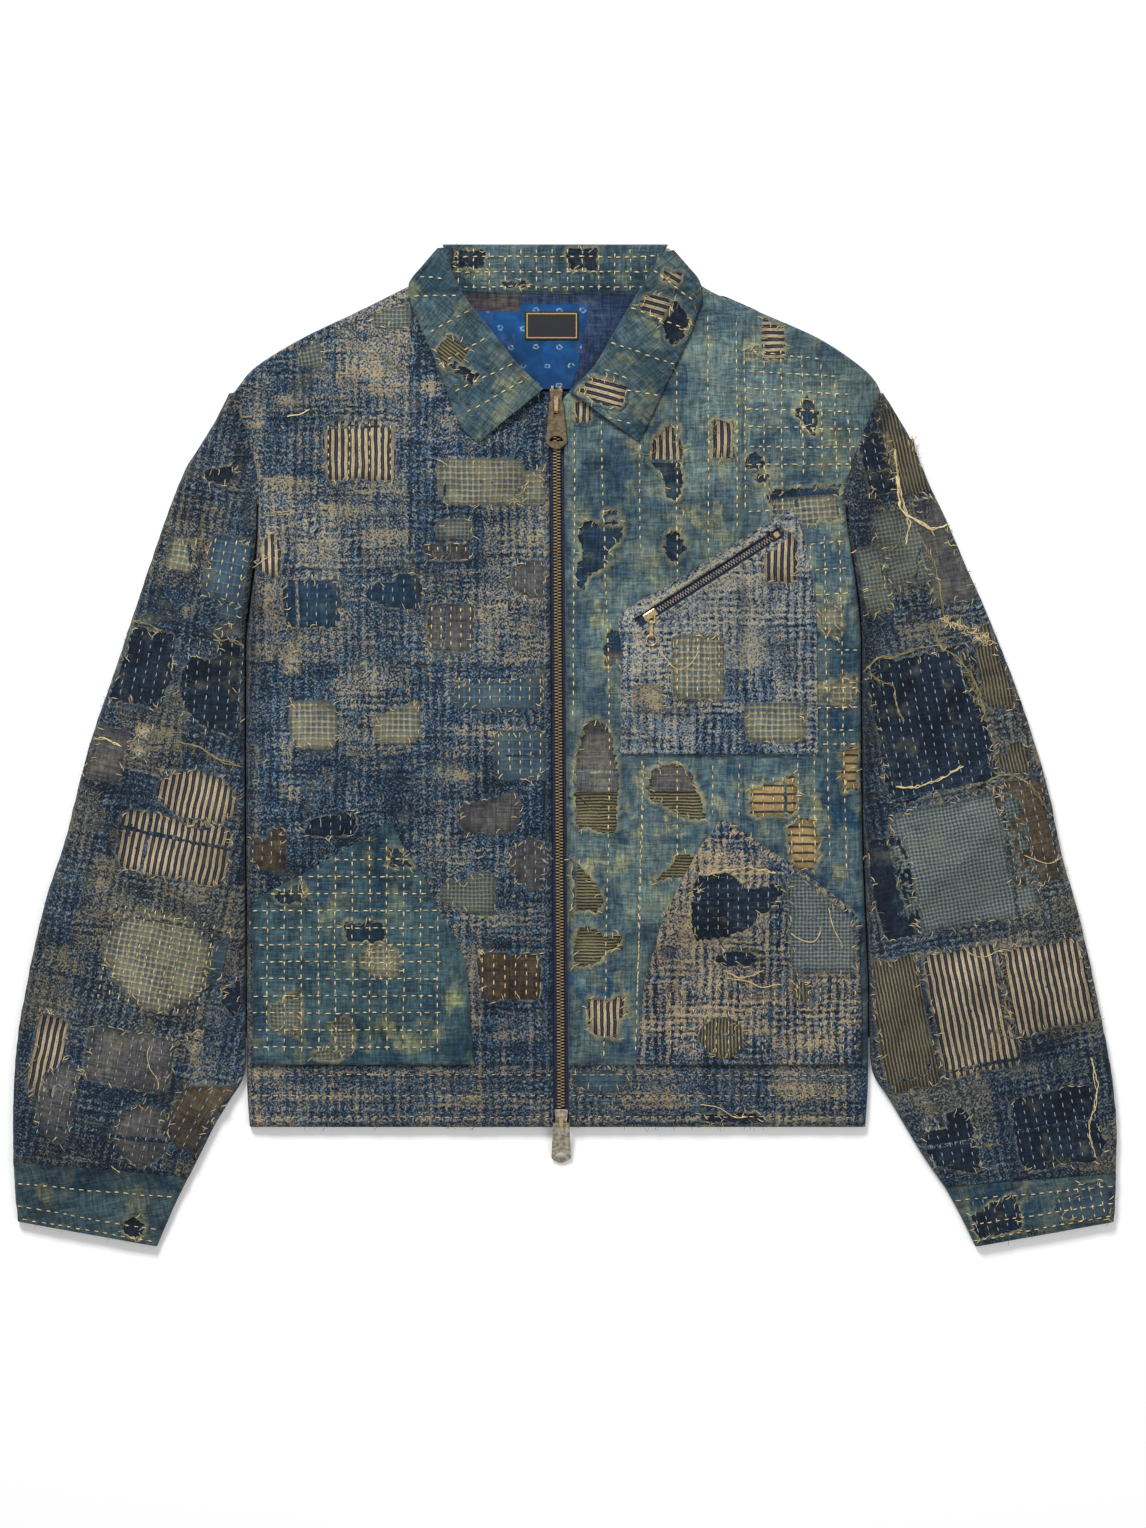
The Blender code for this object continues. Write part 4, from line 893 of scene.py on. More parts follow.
def sleeve(name, table, node, seed):
    """A sleeve with its creases across and its head running on under the armhole's edge."""
    count = len(smooth_table(table, SHELL_STEP)) - 1

    def relief(x, y, share, n):
        down = n / count
        rise = 1.5 * crumple(x, y, seed)
        for at, start, stop, half, lift in SLEEVE_CREASES:
            off = (down - at - 0.05 * (share - 0.5) + 0.012 * curl(x, y, 40.0, seed + at)) / half
            if abs(off) < 2.6 and start - 0.15 < share < stop + 0.15:
                fade = min(1.0, (share - start + 0.15) / 0.2, (stop + 0.15 - share) / 0.2)
                rise += 1.5 * lift * fade * math.exp(-off * off)
        return rise

    rows = tube_rows(table, relief)
    side = 1.0 if table[0][0] < 0 else -1.0
    head = [(x + side * 5.0, y + 1.0, min(z, 5.2)) for x, y, z in rows[0]]
    rows.insert(0, head)
    grain = -SLEEVE_GRAIN if table[0][0] < 0 else SLEEVE_GRAIN
    piece = shell(name, rows, sleeve_indigo, grain=grain, closed=True, flip=table[0][0] < 0)
    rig.replaces(piece, node)
    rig.slot(piece, "indigo_cloth")
    return piece


sleeve_indigo = dyed(
    "sleeve_indigo",
    slub_cloth,
    {"Amount": 0.4, "Dark": 0.7, "Ground": "3c4851", "Deep": "313a42", "Fleck": "8b816a"},
    fray="6f7674",
)
right_sleeve = sleeve("sleeve_right_cloth", SLEEVE_RIGHT, "sleeve_right", 21.0)
left_sleeve = sleeve("sleeve_left_cloth", SLEEVE_LEFT, "sleeve_left", 33.0)
lay_cloth(right_sleeve, "sleeve_right", (0.360, 0.560), 0.162, ["table"])
lay_cloth(left_sleeve, "sleeve_left", (0.360, 0.560), 0.172, ["table"])

# ---- Cuffs: short bands of plain teal cotton sewn round the sleeve ends, with two rows of running stitch.
CUFF_RIGHT = (
    # outer x, y, inner x, y, height, bow
    (-441, -333, -300.8, -345, 8.4, 0), (-439.6, -357, -312.5, -369, 8.4, 0),
    (-437.6, -380.5, -326, -400.5, 7.4, 0),
)
CUFF_LEFT = (
    # outer x, y, inner x, y, height, bow
    (440.4, -342, 303.4, -352.8, 8.4, 0), (439.9, -362, 316, -376, 8.4, 0),
    (439, -381, 328, -400.8, 7.4, 0),
)


def cuff(name, table, node, seed, area):
    """A short tube with its two rows of stitching sunk in."""

    def relief(x, y, share, n):
        ridge = math.exp(-(((n - 1.2) / 1.3) ** 2)) * 0.9
        return 0.7 * crumple(x, y, seed) + ridge + 0.5 * math.sin(n * 0.55 + 3 * curl(x, y, 40.0, seed))

    rows = tube_rows(table, relief, 2.0)
    piece = shell(name, rows, cuff_teal, grain=SLEEVE_GRAIN, closed=True, flip=table[0][0] < 0)
    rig.replaces(piece, node)
    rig.slot(piece, "teal_cloth")
    lay_cloth(piece, node, (0.290, 0.052), area, ["table"])
    return piece


cuff_teal = dyed(
    "cuff_teal",
    plain_cloth,
    {"Amount": 0.55, "Fresh": "1c3547", "Faded": "46585c", "Worn": "7d7d5f"},
    bump=0.45,
)
right_cuff = cuff("cuff_right_cloth", CUFF_RIGHT, "cuff_right", 51.0, 0.0139)
left_cuff = cuff("cuff_left_cloth", CUFF_LEFT, "cuff_left", 57.0, 0.0118)

# ---- Collar: two layers of teal cotton folded over all round. Its leaves fall forward on the fronts and
# its back length stands flat above the neck seam, inner face up.
LEAF_RIGHT = (
    # edge_x, edge_y, fold_x, fold_y
    (-102, 396.5, -89, 396.5), (-113.5, 383, -90.8, 382), (-124.6, 368.5, -85.6, 368),
    (-123, 353, -78.4, 355.5), (-115.6, 334, -65, 338.5), (-106.4, 313.6, -51.5, 321.5),
    (-95, 284, -38, 304.5), (-83, 254, -26.6, 293), (-69.5, 241.2, -17.2, 284),
)
LEAF_LEFT = (
    # edge_x, edge_y, fold_x, fold_y
    (87, 395, 73.5, 391.5), (97.5, 383, 71.5, 381), (107.5, 370.5, 64.6, 371), (109.4, 356, 56.5, 358.5),
    (104, 339, 47, 342.5), (98.2, 323, 37, 325.5), (84.6, 296, 25, 305), (71, 266, 12.6, 291),
    (59.4, 241.8, 3, 281.9),
)
COLLAR_BACK = (
    # x along the fold, x along the neck seam
    (-98, -84), (-80, -68), (-48, -41), (-14, -13), (22, 15), (56, 40), (78, 56),
)
COLLAR_THICK = 2.4
NECK_SEAM_Y, COLLAR_DEPTH = 360.3, 40.0  # where the back length starts, and how far up it stands


def joined(places, spans):
    """Places along a section, with this many steps from each to the next."""
    fine = []
    for (a, low), (b, high) in zip(places, places[1:]):
        fine.extend((a + (b - a) * k / spans, low + (high - low) * k / spans) for k in range(spans))
    return [*fine, places[-1]]


def collar_piece(name, rows, grain, flip):
    """The collar's shell over one of its parts."""
    piece = shell(name, rows, collar_teal, grain=grain, flip=flip)
    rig.replaces(piece, name.replace("_cloth", ""))
    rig.slot(piece, "teal_cloth")
    return piece


def collar_leaf(name, table, grain):
    """A leaf's fall from its free edge up over the roll, and its inner half back underneath."""
    top = 0.4 + 2 * COLLAR_THICK + 1.6
    rows = []
    for edge_x, edge_y, fold_x, fold_y in smooth_table(table, 2.4):
        edge, fold = Vector((edge_x, edge_y)), Vector((fold_x, fold_y))
        width = (fold - edge).length
        radius = min(3.4, 0.28 * width)
        reach = width - radius
        edge_round = ((0.9, 0.5), (0.0, 1.2), (0.1, 2.2), (0.9, 2.9))
        over_the_roll = (
            (0.10 * reach, 3.0),
            (0.22 * reach, 3.4),
            (0.48 * reach, top - 1.2),
            (0.75 * reach, top - 0.3),
            (reach, top),
            (reach + 0.7 * radius, 0.85 * top),
            (width, (top + 0.4) / 2),
            (reach + 0.7 * radius, 0.4 + 0.15 * top),
            (reach, 0.6),
            (0.62 * reach, 0.6),
        )
        row = []
        for n, (along, lift) in enumerate((*edge_round, *joined(over_the_roll, 6))):
            spot = edge.lerp(fold, along / width)
            dent = 0.75 * crumple(spot.x, spot.y, 61.0) if 3 < n < 32 else 0.0
            seam = -0.8 * math.exp(-(((along - 5.5) / 1.4) ** 2)) if 3 < n < 32 else 0.0
            row.append((spot.x, spot.y, lie(spot.x, spot.y) + lift + dent + seam))
        rows.append(row)
    return collar_piece(name, rows, grain, flip=table[0][0] < 0)


def collar_band():
    """The collar's back length: up from the neck seam, over the top fold, and its back underneath."""
    top = 2 * COLLAR_THICK + 1.4
    section = (
        (0.0, 4.4),
        (0.06, 5.2),
        (0.35, top - 0.3),
        (0.7, top),
        (0.91, top),
        (0.975, 0.82 * top),
        (1.0, 0.5 * top),
        (0.975, 0.18 * top),
        (0.91, 0.25),
        (0.5, 0.25),
        (0.14, 0.25),
    )
    rows = []
    # On the wearer's left it goes on a little under the leaf.
    under_leaf = (COLLAR_BACK[-1][0] + 4.5, COLLAR_BACK[-1][1] + 4.5)
    for fold_x, seam_x in smooth_table((*COLLAR_BACK, under_leaf), 2.2):
        row = []
        for n, (share, z) in enumerate(joined(section, 5)):
            x, y = seam_x + (fold_x - seam_x) * share, NECK_SEAM_Y + COLLAR_DEPTH * share
            dent = 0.7 * crumple(x, y, 66.0) if 1 < n < 30 else 0.0
            row.append((x, y, max(0.2, z + dent)))
        rows.append(row)
    return collar_piece("collar_back_cloth", rows, 0.0, flip=True)


collar_teal = dyed(
    "collar_teal",
    plain_cloth,
    {"Amount": 0.6, "Fresh": "203b49", "Faded": "4c6066", "Worn": "828668", "Block": 34.0},
)
collar_right = collar_leaf("collar_leaf_right_cloth", LEAF_RIGHT, -38.0)
collar_left = collar_leaf("collar_leaf_left_cloth", LEAF_LEFT, 38.0)
collar_top = collar_band()
for piece, panel, flat, area in (
    (collar_right, "leaf_right", (0.095, 0.170), 0.0110),
    (collar_left, "leaf_left", (0.095, 0.168), 0.0112),
    (collar_top, "collar_back", (0.176, 0.084), 0.0123),
):
    lay_cloth(piece, panel, flat, area, ["front_right_cloth", "front_left_cloth"], "folded")

# ---- Inside the neck: the back lining in three cloths, pieced edge to edge over the back. A blank black
# label with a thin yellow border is sewn on it.
LINING = (
    # y, left edge, right edge
    (284.5, -44, 29), (305, -62, 46), (332, -84, 64), (359.6, -96, 78),
)
LABEL_CENTRE, LABEL_SIZE = (-10.6, 335.0), (43.2, 23.0)

tree, given, finish = weave_group("flowered_lining", {"Ground": srgb("1b4f86"), "Petal": srgb("8fa9b4")})
shifted = wavy(tree, given["Place"], 14.0, 1.6)
scaled = vector(tree, "DIVIDE", shifted, (19.0, 15.0, 1.0))
row_of = calc(tree, "FLOOR", add(tree, "SeparateXYZ", {0: scaled}).outputs[1])
brick = add(tree, "CombineXYZ", {0: times(tree, row_of, 0.5)}).outputs[0]
cell = vector(tree, "FRACTION", vector(tree, "ADD", scaled, brick))
centred = vector(tree, "SUBTRACT", vector(tree, "MULTIPLY", cell, (1.0, 1.0, 0.0)), (0.5, 0.5, 0.0))
parts = add(tree, "SeparateXYZ", {0: centred})
PETALS = 5.0
petals = calc(tree, "COSINE", times(tree, calc(tree, "ARCTAN2", parts.outputs[1], parts.outputs[0]), PETALS))
out = add(tree, "VectorMath", {0: centred}, operation="LENGTH").outputs[1]
ring = calc(tree, "ABSOLUTE", less(tree, out, calc(tree, "MULTIPLY_ADD", petals, 0.012, 0.105)))
flower = between(tree, ring, 0.045, 0.02)
flower = times(tree, flower, between(tree, cloud(tree, given["Place"], 2.2, 3.0), 0.38, 0.56))
soft = cloud(tree, given["Place"], 24.0, 3.0)
colour = tint(tree, between(tree, soft, 0.35, 0.7), given["Ground"], rgba("153860"))
printed_cloth = finish(tint(tree, times(tree, flower, 0.8), colour, given["Petal"]), soft)

printed_lining = dyed("flowered_lining", printed_cloth, {}, bump=0.2)
slate = {"Amount": 0.1, "Fresh": "222f4c", "Faded": "344562", "Block": 90.0}
slate_lining = dyed("slate_lining", plain_cloth, slate, bump=0.3)
grey = {"Amount": 0.1, "Fresh": "3a373f", "Faded": "4f4845", "Block": 60.0}
grey_lining = dyed("grey_lining", plain_cloth, grey, bump=0.3)


def lining_face(x, y):
    wrinkle = 0.5 * math.sin(x / 6.0 + 2.2 * curl(x, y, 26.0, 71.0)) * max(0.0, curl(x, y, 40.0, 73.0))
    return 4.0 + 0.9 * crumple(x, y, 70.0) + wrinkle


def lining_length(name, low_y, high_y, left_share, right_share, finish, lift=0.0):
    """A cloth of the lining from one height to the other, its top sunk under the collar."""
    rows = []
    top_y, top_left, top_right = LINING[-1]
    for y, left, right in smooth_table((*LINING, (top_y + 3.0, top_left, top_right)), 1.8):
        if not low_y - 1.2 <= y <= high_y + 1.2:
            continue
        low, high = left + (right - left) * left_share, left + (right - left) * right_share
        row = []
        for i in range(61):
            x = low + (high - low) * i / 60
            sunk = 1.6 if y > top_y + 0.4 else 0.0
            row.append((x, y, lining_face(x, y) + lift * (1.0 if 0 < i < 60 else -1.0) - sunk))
        rows.append(row)
    piece = shell(name, rows, finish)
    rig.slot(piece, "lining")
    return piece


lining = lining_length("lining_cloth", 284.0, 347.0, 0.0, 1.0, slate_lining)
printed = lining_length("lining_flowered", 284.0, 352.0, -0.01, 0.68, printed_lining, 0.45)
grey_strip = lining_length("lining_grey_strip", 346.0, 363.0, 0.0, 0.345, grey_lining, 0.55)
slate_strip = lining_length("lining_slate_strip", 343.0, 363.0, 0.335, 1.0, slate_lining, 0.25)
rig.replaces(lining, "lining_back")
lay_cloth(lining, "lining", (0.174, 0.064), 0.0080, ["back_cloth"])

woven_black, tree, shader = new_finish("woven_black")
grain = add(tree, "UVMap", uv_map="cloth").outputs[0]
from_edge = vector(tree, "ABSOLUTE", vector(tree, "SUBTRACT", grain, (*LABEL_CENTRE, 0.0)))
reach = vector(tree, "SUBTRACT", (LABEL_SIZE[0] / 2, LABEL_SIZE[1] / 2, 0.0), from_edge)
sides = add(tree, "SeparateXYZ", {0: reach})
inset = calc(tree, "MINIMUM", sides.outputs[0], sides.outputs[1])
line = calc(tree, "ABSOLUTE", less(tree, inset, 1.9))
border = between(tree, line, 0.55, 0.25)
black = tint(tree, cloud(tree, grain, 1.4, 2.0), rgba("101217"), rgba("20222a"))
tree.links.new(tint(tree, border, black, rgba("b89a3e")), shader.inputs["Base Color"])
shader.inputs["Roughness"].default_value = 0.8
points = []
for i in range(25):
    y = LABEL_CENTRE[1] + LABEL_SIZE[1] * (i / 24 - 0.5)
    for k in range(41):
        x = LABEL_CENTRE[0] + LABEL_SIZE[0] * (k / 40 - 0.5)
        at_edge = i in (0, 24) or k in (0, 40)
        points.append((x, y, lining_face(x, y) * 0.3 + 3.55 + (0.25 if at_edge else 1.1)))
places = [(x, y) for x, y, _ in points]
label = mesh_piece("neck_label_woven", points, grid_faces(25, 41), places, woven_black)
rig.replaces(label, "neck_label")
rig.slot(label, "label")
lay_cloth(label, "neck_label", (0.0432, 0.023), None, ["lining_cloth"])

# ---- Pockets: two lower patch pockets with slanted openings and a chest pocket with a slanted zip, sewn
# on the fronts. The wearer's right one is stitched teal cotton, the other two slubby indigo.
POCKET_RIGHT = (
    # y, left edge, right edge
    (-255, -249.2, -72.4), (-224, -249.2, -74.6), (-193, -249.2, -77), (-165, -249.2, -82.5),
    (-128, -249.2, -102.7), (-105, -213, -112.8), (-80, -170, -129.5), (-61.5, -142, -138.6),
)
POCKET_LEFT = (
    # y, left edge, right edge
    (-255, 56.6, 236.6), (-224, 59.6, 236.6), (-193, 63, 236.2), (-165, 70.5, 235), (-138, 78.8, 233.6),
    (-103, 96, 192.6), (-80, 109, 158), (-60.5, 124, 128.5),
)
CHEST_POCKET = (
    # y, left edge, right edge
    (-7, 44, 202.3), (25, 44.2, 201.9), (55, 44.4, 201.4), (80, 44.6, 201), (104, 44.8, 200.6),
    (127, 81.2, 198.2), (150, 117.7, 193.8), (171, 151, 188.8), (188, 178, 182.4),
)
POCKET_LIFT = 2.5  # a pocket's face over the front's
POCKET_EDGE = ((0.4, 2.5), (0.0, 1.5), (0.3, 0.5))  # how far in and down, from its foot to the face
POCKET_ZIP = ((58.0, 97.5), (173.0, 170.3))  # the chest pocket's zip runs between these places
POCKET_SLOT, SLOT_FLOOR = 9.4, 7.3  # width of its opening, height of the cloth inside it


def pocket_face(seed):
    def face(x, y):
        return front_face(x, y) * 0.5 + lie(x, y) * 0.5 + POCKET_LIFT + 1.3 * crumple(x, y, seed)

    return face


chest_face = pocket_face(87.0)


def slot_face(x, y):
    """The chest pocket's face, cut away along its zip."""
    (x0, y0), (x1, y1) = POCKET_ZIP
    length = math.hypot(x1 - x0, y1 - y0)
    along = ((x - x0) * (x1 - x0) + (y - y0) * (y1 - y0)) / length
    away = abs((y - y0) * (x1 - x0) - (x - x0) * (y1 - y0)) / length
    if -1.5 < along < length + 1.5 and away < POCKET_SLOT / 2 + 0.6:
        return SLOT_FLOOR
    return chest_face(x, y)


def pocket(name, table, finish, face, columns, node, flat, area, seams=()):
    """A patch pocket with turned edges all round and a sunk line at each of its seams."""
    rows = []
    for y, left, right in smooth_table(table, 2.3):
        low, high = left + 0.6 * curl(0.0, y, 5.0, left), right + 0.6 * curl(0.0, y, 5.0, right)
        row = [(low + inwards, y, face(low, y) - down) for inwards, down in POCKET_EDGE]
        for i in range(columns + 1):
            x = low + 0.8 + (high - low - 1.6) * i / columns
            hem = -0.55 * math.exp(-(((min(x - low, high - x) - 5.0) / 1.1) ** 2))
            across = sum(-0.9 * math.exp(-(((y - at) / 1.3) ** 2)) for at in seams)
            row.append((x, y, face(x, y) + hem + across))
        row += [(high - inwards, y, face(high, y) - down) for inwards, down in POCKET_EDGE[::-1]]
        rows.append(row)
    over = [[(x, y + grow, z - drop) for x, y, z in rows[-1]] for grow, drop in ((0.5, 0.7), (0.4, 2.2))]
    under = [[(x, y - grow, z - drop) for x, y, z in rows[0]] for grow, drop in ((0.3, 2.2), (0.4, 0.8))]
    piece = shell(name, under + rows + over, finish)
    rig.replaces(piece, node)
    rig.slot(piece, "teal_cloth" if "teal" in finish.name else "indigo_cloth")
    lay_cloth(piece, node, flat, area, ["front_left_cloth", "front_right_cloth"])
    return piece


pocket_teal = dyed(
    "pocket_teal",
    plain_cloth,
    {"Amount": 0.5, "Fresh": "1c3547", "Faded": "476066", "Worn": "7f8563", "Block": 44.0},
    bump=0.6,
)
pale_indigo = dyed(
    "pale_indigo",
    slub_cloth,
    {"Amount": 0.6, "Dark": 0.7, "Ground": "647c93", "Deep": "506880", "Fleck": "bdb296", "Ribs": 0.09},
)
pocket_indigo = dyed(
    "pocket_indigo",
    slub_cloth,
    {"Amount": 0.66, "Dark": 0.9, "Ground": "4a5c6c", "Fleck": "b5a07f", "Ribs": 0.1},
)
right_pocket = pocket(
    "lower_pocket_right_teal", POCKET_RIGHT, pocket_teal, pocket_face(81.0), 70,
    "lower_pocket_right", (0.178, 0.194), 0.0277, seams=(-159.0,),
)
left_pocket = pocket(
    "lower_pocket_left_cloth", POCKET_LEFT, pocket_indigo, pocket_face(84.0), 70,
    "lower_pocket_left", (0.180, 0.195), 0.0275, seams=(-186.0, -232.0),
)
chest = pocket(
    "chest_pocket_cloth", CHEST_POCKET, pale_indigo, slot_face, 84,
    "chest_pocket", (0.159, 0.195), 0.0250,
)

# ---- Old cloths let in all over: ticking, checks, stripes, navy, brown and grey homespun. Each lies in a
# tear of the panel, whose frayed edge stands up round it, or is laid on flat, and is held by running stitch.
tree, given, finish = weave_group(
    "striped_cotton",
    {"Light": srgb("c4b18a"), "Dark": srgb("20263a"), "Pitch": 5.3, "Share": 0.45, "Pin": 0.4},
)
bent = wavy(tree, wavy(tree, given["Place"], 22.0, 1.3), 4.0, 0.35)
across = calc(tree, "DIVIDE", add(tree, "SeparateXYZ", {0: bent}).outputs[0], given["Pitch"])
from_middle = calc(tree, "ABSOLUTE", less(tree, calc(tree, "FRACT", across), 0.5))
edge = less(tree, times(tree, given["Share"], 0.5), from_middle)
stripe = between(tree, edge, -0.05, 0.05)
rubbed = between(tree, cloud(tree, given["Place"], (1.6, 4.0, 1.0), 3.0, 0.7), 0.3, 0.5)
pin = times(tree, between(tree, from_middle, 0.09, 0.04), given["Pin"])
hair = times(tree, between(tree, from_middle, 0.44, 0.48), 0.16)
light = times(tree, stripe, calc(tree, "MULTIPLY_ADD", rubbed, 0.45, 0.55))
light = times(tree, light, less(tree, 1.0, pin))
yarn = cloud(tree, given["Place"], (3.0, 0.8, 1.0), 2.0, 0.6)
tone = between(tree, cloud(tree, given["Place"], 30.0, 3.0), 0.3, 0.7, 0.78, 1.12)
tone = times(tree, tone, between(tree, yarn, 0.3, 0.7, 0.82, 1.12))
colour = tint(tree, calc(tree, "MAXIMUM", light, hair), given["Dark"], given["Light"])
colour = shaded(tree, colour, tone)
striped_cloth = finish(colour, plus(tree, times(tree, stripe, 0.7), times(tree, yarn, 0.4)))

tree, given, finish = weave_group(
    "checked_gauze",
    {"Line": srgb("b5a97c"), "Ground": srgb("5a6a70"), "Pitch": 5.4, "Share": 0.36, "Fade": 0.4},
)
bent = wavy(tree, wavy(tree, given["Place"], 18.0, 1.4), 3.0, 0.4)
bars = []
for n in (0, 1):
    across = calc(tree, "DIVIDE", add(tree, "SeparateXYZ", {0: bent}).outputs[n], given["Pitch"])
    from_middle = calc(tree, "ABSOLUTE", less(tree, calc(tree, "FRACT", across), 0.5))
    edge = less(tree, times(tree, given["Share"], 0.5), from_middle)
    bars.append(between(tree, edge, -0.07, 0.07))
crossed = times(tree, plus(tree, bars[0], bars[1]), 0.5)
rubbed = between(tree, cloud(tree, given["Place"], 1.7, 3.0, 0.7), 0.3, 0.56, 0.5, 1.0)
haze = times(tree, between(tree, cloud(tree, given["Place"], 20.0, 4.0), 0.42, 0.64), given["Fade"])
line = calc(tree, "MAXIMUM", times(tree, crossed, rubbed), haze)
colour = tint(tree, line, given["Ground"], given["Line"])
tone = between(tree, cloud(tree, given["Place"], 0.9, 2.0, 0.7), 0.3, 0.7, 0.76, 1.16)
checked_cloth = finish(shaded(tree, colour, tone), crossed)

CLOTHS = {}  # of each cloth its material and whether its stripes run across
for name, label, fabric, across, values in (
    ("ticking", "ticking", striped_cloth, False, {}),
    ("bolster", "bolster_stripe", striped_cloth, True,
     {"Light": "a58c62", "Dark": "22242f", "Pitch": 6.9, "Share": 0.76, "Pin": 0.0}),
    ("shirting", "shirting", striped_cloth, True,
     {"Light": "7d7559", "Dark": "26241f", "Pitch": 2.5, "Share": 0.5, "Pin": 0.0}),
    ("slat", "slat_stripe", striped_cloth, False,
     {"Light": "7b735d", "Dark": "2f2c27", "Pitch": 2.7, "Pin": 0.0}),
    ("gauze", "yellow_gauze", checked_cloth, False,
     {"Line": "aea379", "Ground": "4d5a62", "Pitch": 4.6, "Share": 0.38, "Fade": 0.34}),
    ("gingham", "blue_check", checked_cloth, False,
     {"Line": "8b8f7e", "Ground": "2c4159", "Pitch": 3.0, "Share": 0.5, "Fade": 0.15}),
    ("plaid", "teal_plaid", checked_cloth, False,
     {"Line": "5f7378", "Ground": "33485a", "Pitch": 8.0, "Share": 0.2}),
    ("navy", "navy_cotton", plain_cloth, False,
     {"Fresh": "10161f", "Faded": "202c3d", "Worn": "2b4250", "Block": 30.0}),
    ("deep", "deep_blue", plain_cloth, False,
     {"Fresh": "182a3c", "Faded": "2c4356", "Worn": "40566a", "Block": 30.0}),
    ("grey", "grey_homespun", plain_cloth, False,
     {"Fresh": "3d3e46", "Faded": "62605b", "Worn": "6f6d60", "Block": 26.0}),
    ("brown", "brown_homespun", plain_cloth, False,
     {"Fresh": "39302a", "Faded": "5a4e40", "Worn": "6a5b45", "Block": 40.0}),
    ("olive", "olive_gauze", checked_cloth, False,
     {"Line": "8d8d74", "Ground": "3e4c57", "Pitch": 3.2, "Share": 0.42, "Fade": 0.2}),
    ("cream", "worn_cream", slub_cloth, False,
     {"Amount": 0.95, "Dark": 0.3, "Ground": "6c7983", "Fleck": "b8ab8a"}),
):
    CLOTHS[name] = (dyed(label, fabric, values, wear=0.7 if name == "ticking" else 1.0), across)
CLOTHS["ticking_across"] = (CLOTHS["ticking"][0], True)
THREADS = {
    # colour, thickness
    "cream": ("e6d09c", 0.64),
    "pale_blue": ("9fb6c0", 0.5),
    "straw": ("968b62", 0.4),
    "denim": ("4c6178", 0.34),
}
DOWN, CLEAR_OF_JACKET = Vector((0.0, 0.0, -1.0)), 0.05


def skin_over(pieces):
    """The outer faces of these pieces, to lay things on."""
    points, faces = [], []
    for piece in pieces:
        first = len(points)
        points.extend(vert.co.copy() for vert in piece.data.vertices)
        faces.extend([first + i for i in face.vertices] for face in piece.data.polygons)
    return BVHTree.FromPolygons(points, faces)


def height_at(skin, x, y, from_below=False):
    """Height of the cloth over this place, or None off its edge."""
    side = -1.0 if from_below else 1.0
    hit = skin.ray_cast(Vector((x * MM, y * MM, side * CLEAR_OF_JACKET)), DOWN * side)[0]
    return None if hit is None else hit.z / MM


class Heap:
    """Points and faces gathered for one joined mesh."""

    def __init__(self):
        self.points, self.faces, self.places, self.fray, self.dirt = [], [], [], [], []

    def grid(self, rows, places, closed=False, fray=None, dirt=None):
        """Adds a skin through rows of points, with how frayed each point is and how much painted shade lies on it."""
        first = len(self.points)
        self.faces.extend(grid_faces(len(rows), len(rows[0]), closed, first))
        for row in rows:
            self.points.extend(row)
        for row in places:
            self.places.extend(row)
        plain = [0.0] * sum(len(row) for row in rows)
        self.fray.extend(fray or plain)
        self.dirt.extend(dirt or plain)

    def piece(self, name, finish):
        made = mesh_piece(name, self.points, self.faces, self.places, finish)
        for label, values in (("fray", self.fray), ("dirt", self.dirt)):
            if any(values):
                made.data.attributes.new(label, "FLOAT", "POINT").data.foreach_set("value", values)
        mark_shade_and_wear(made)
        return made


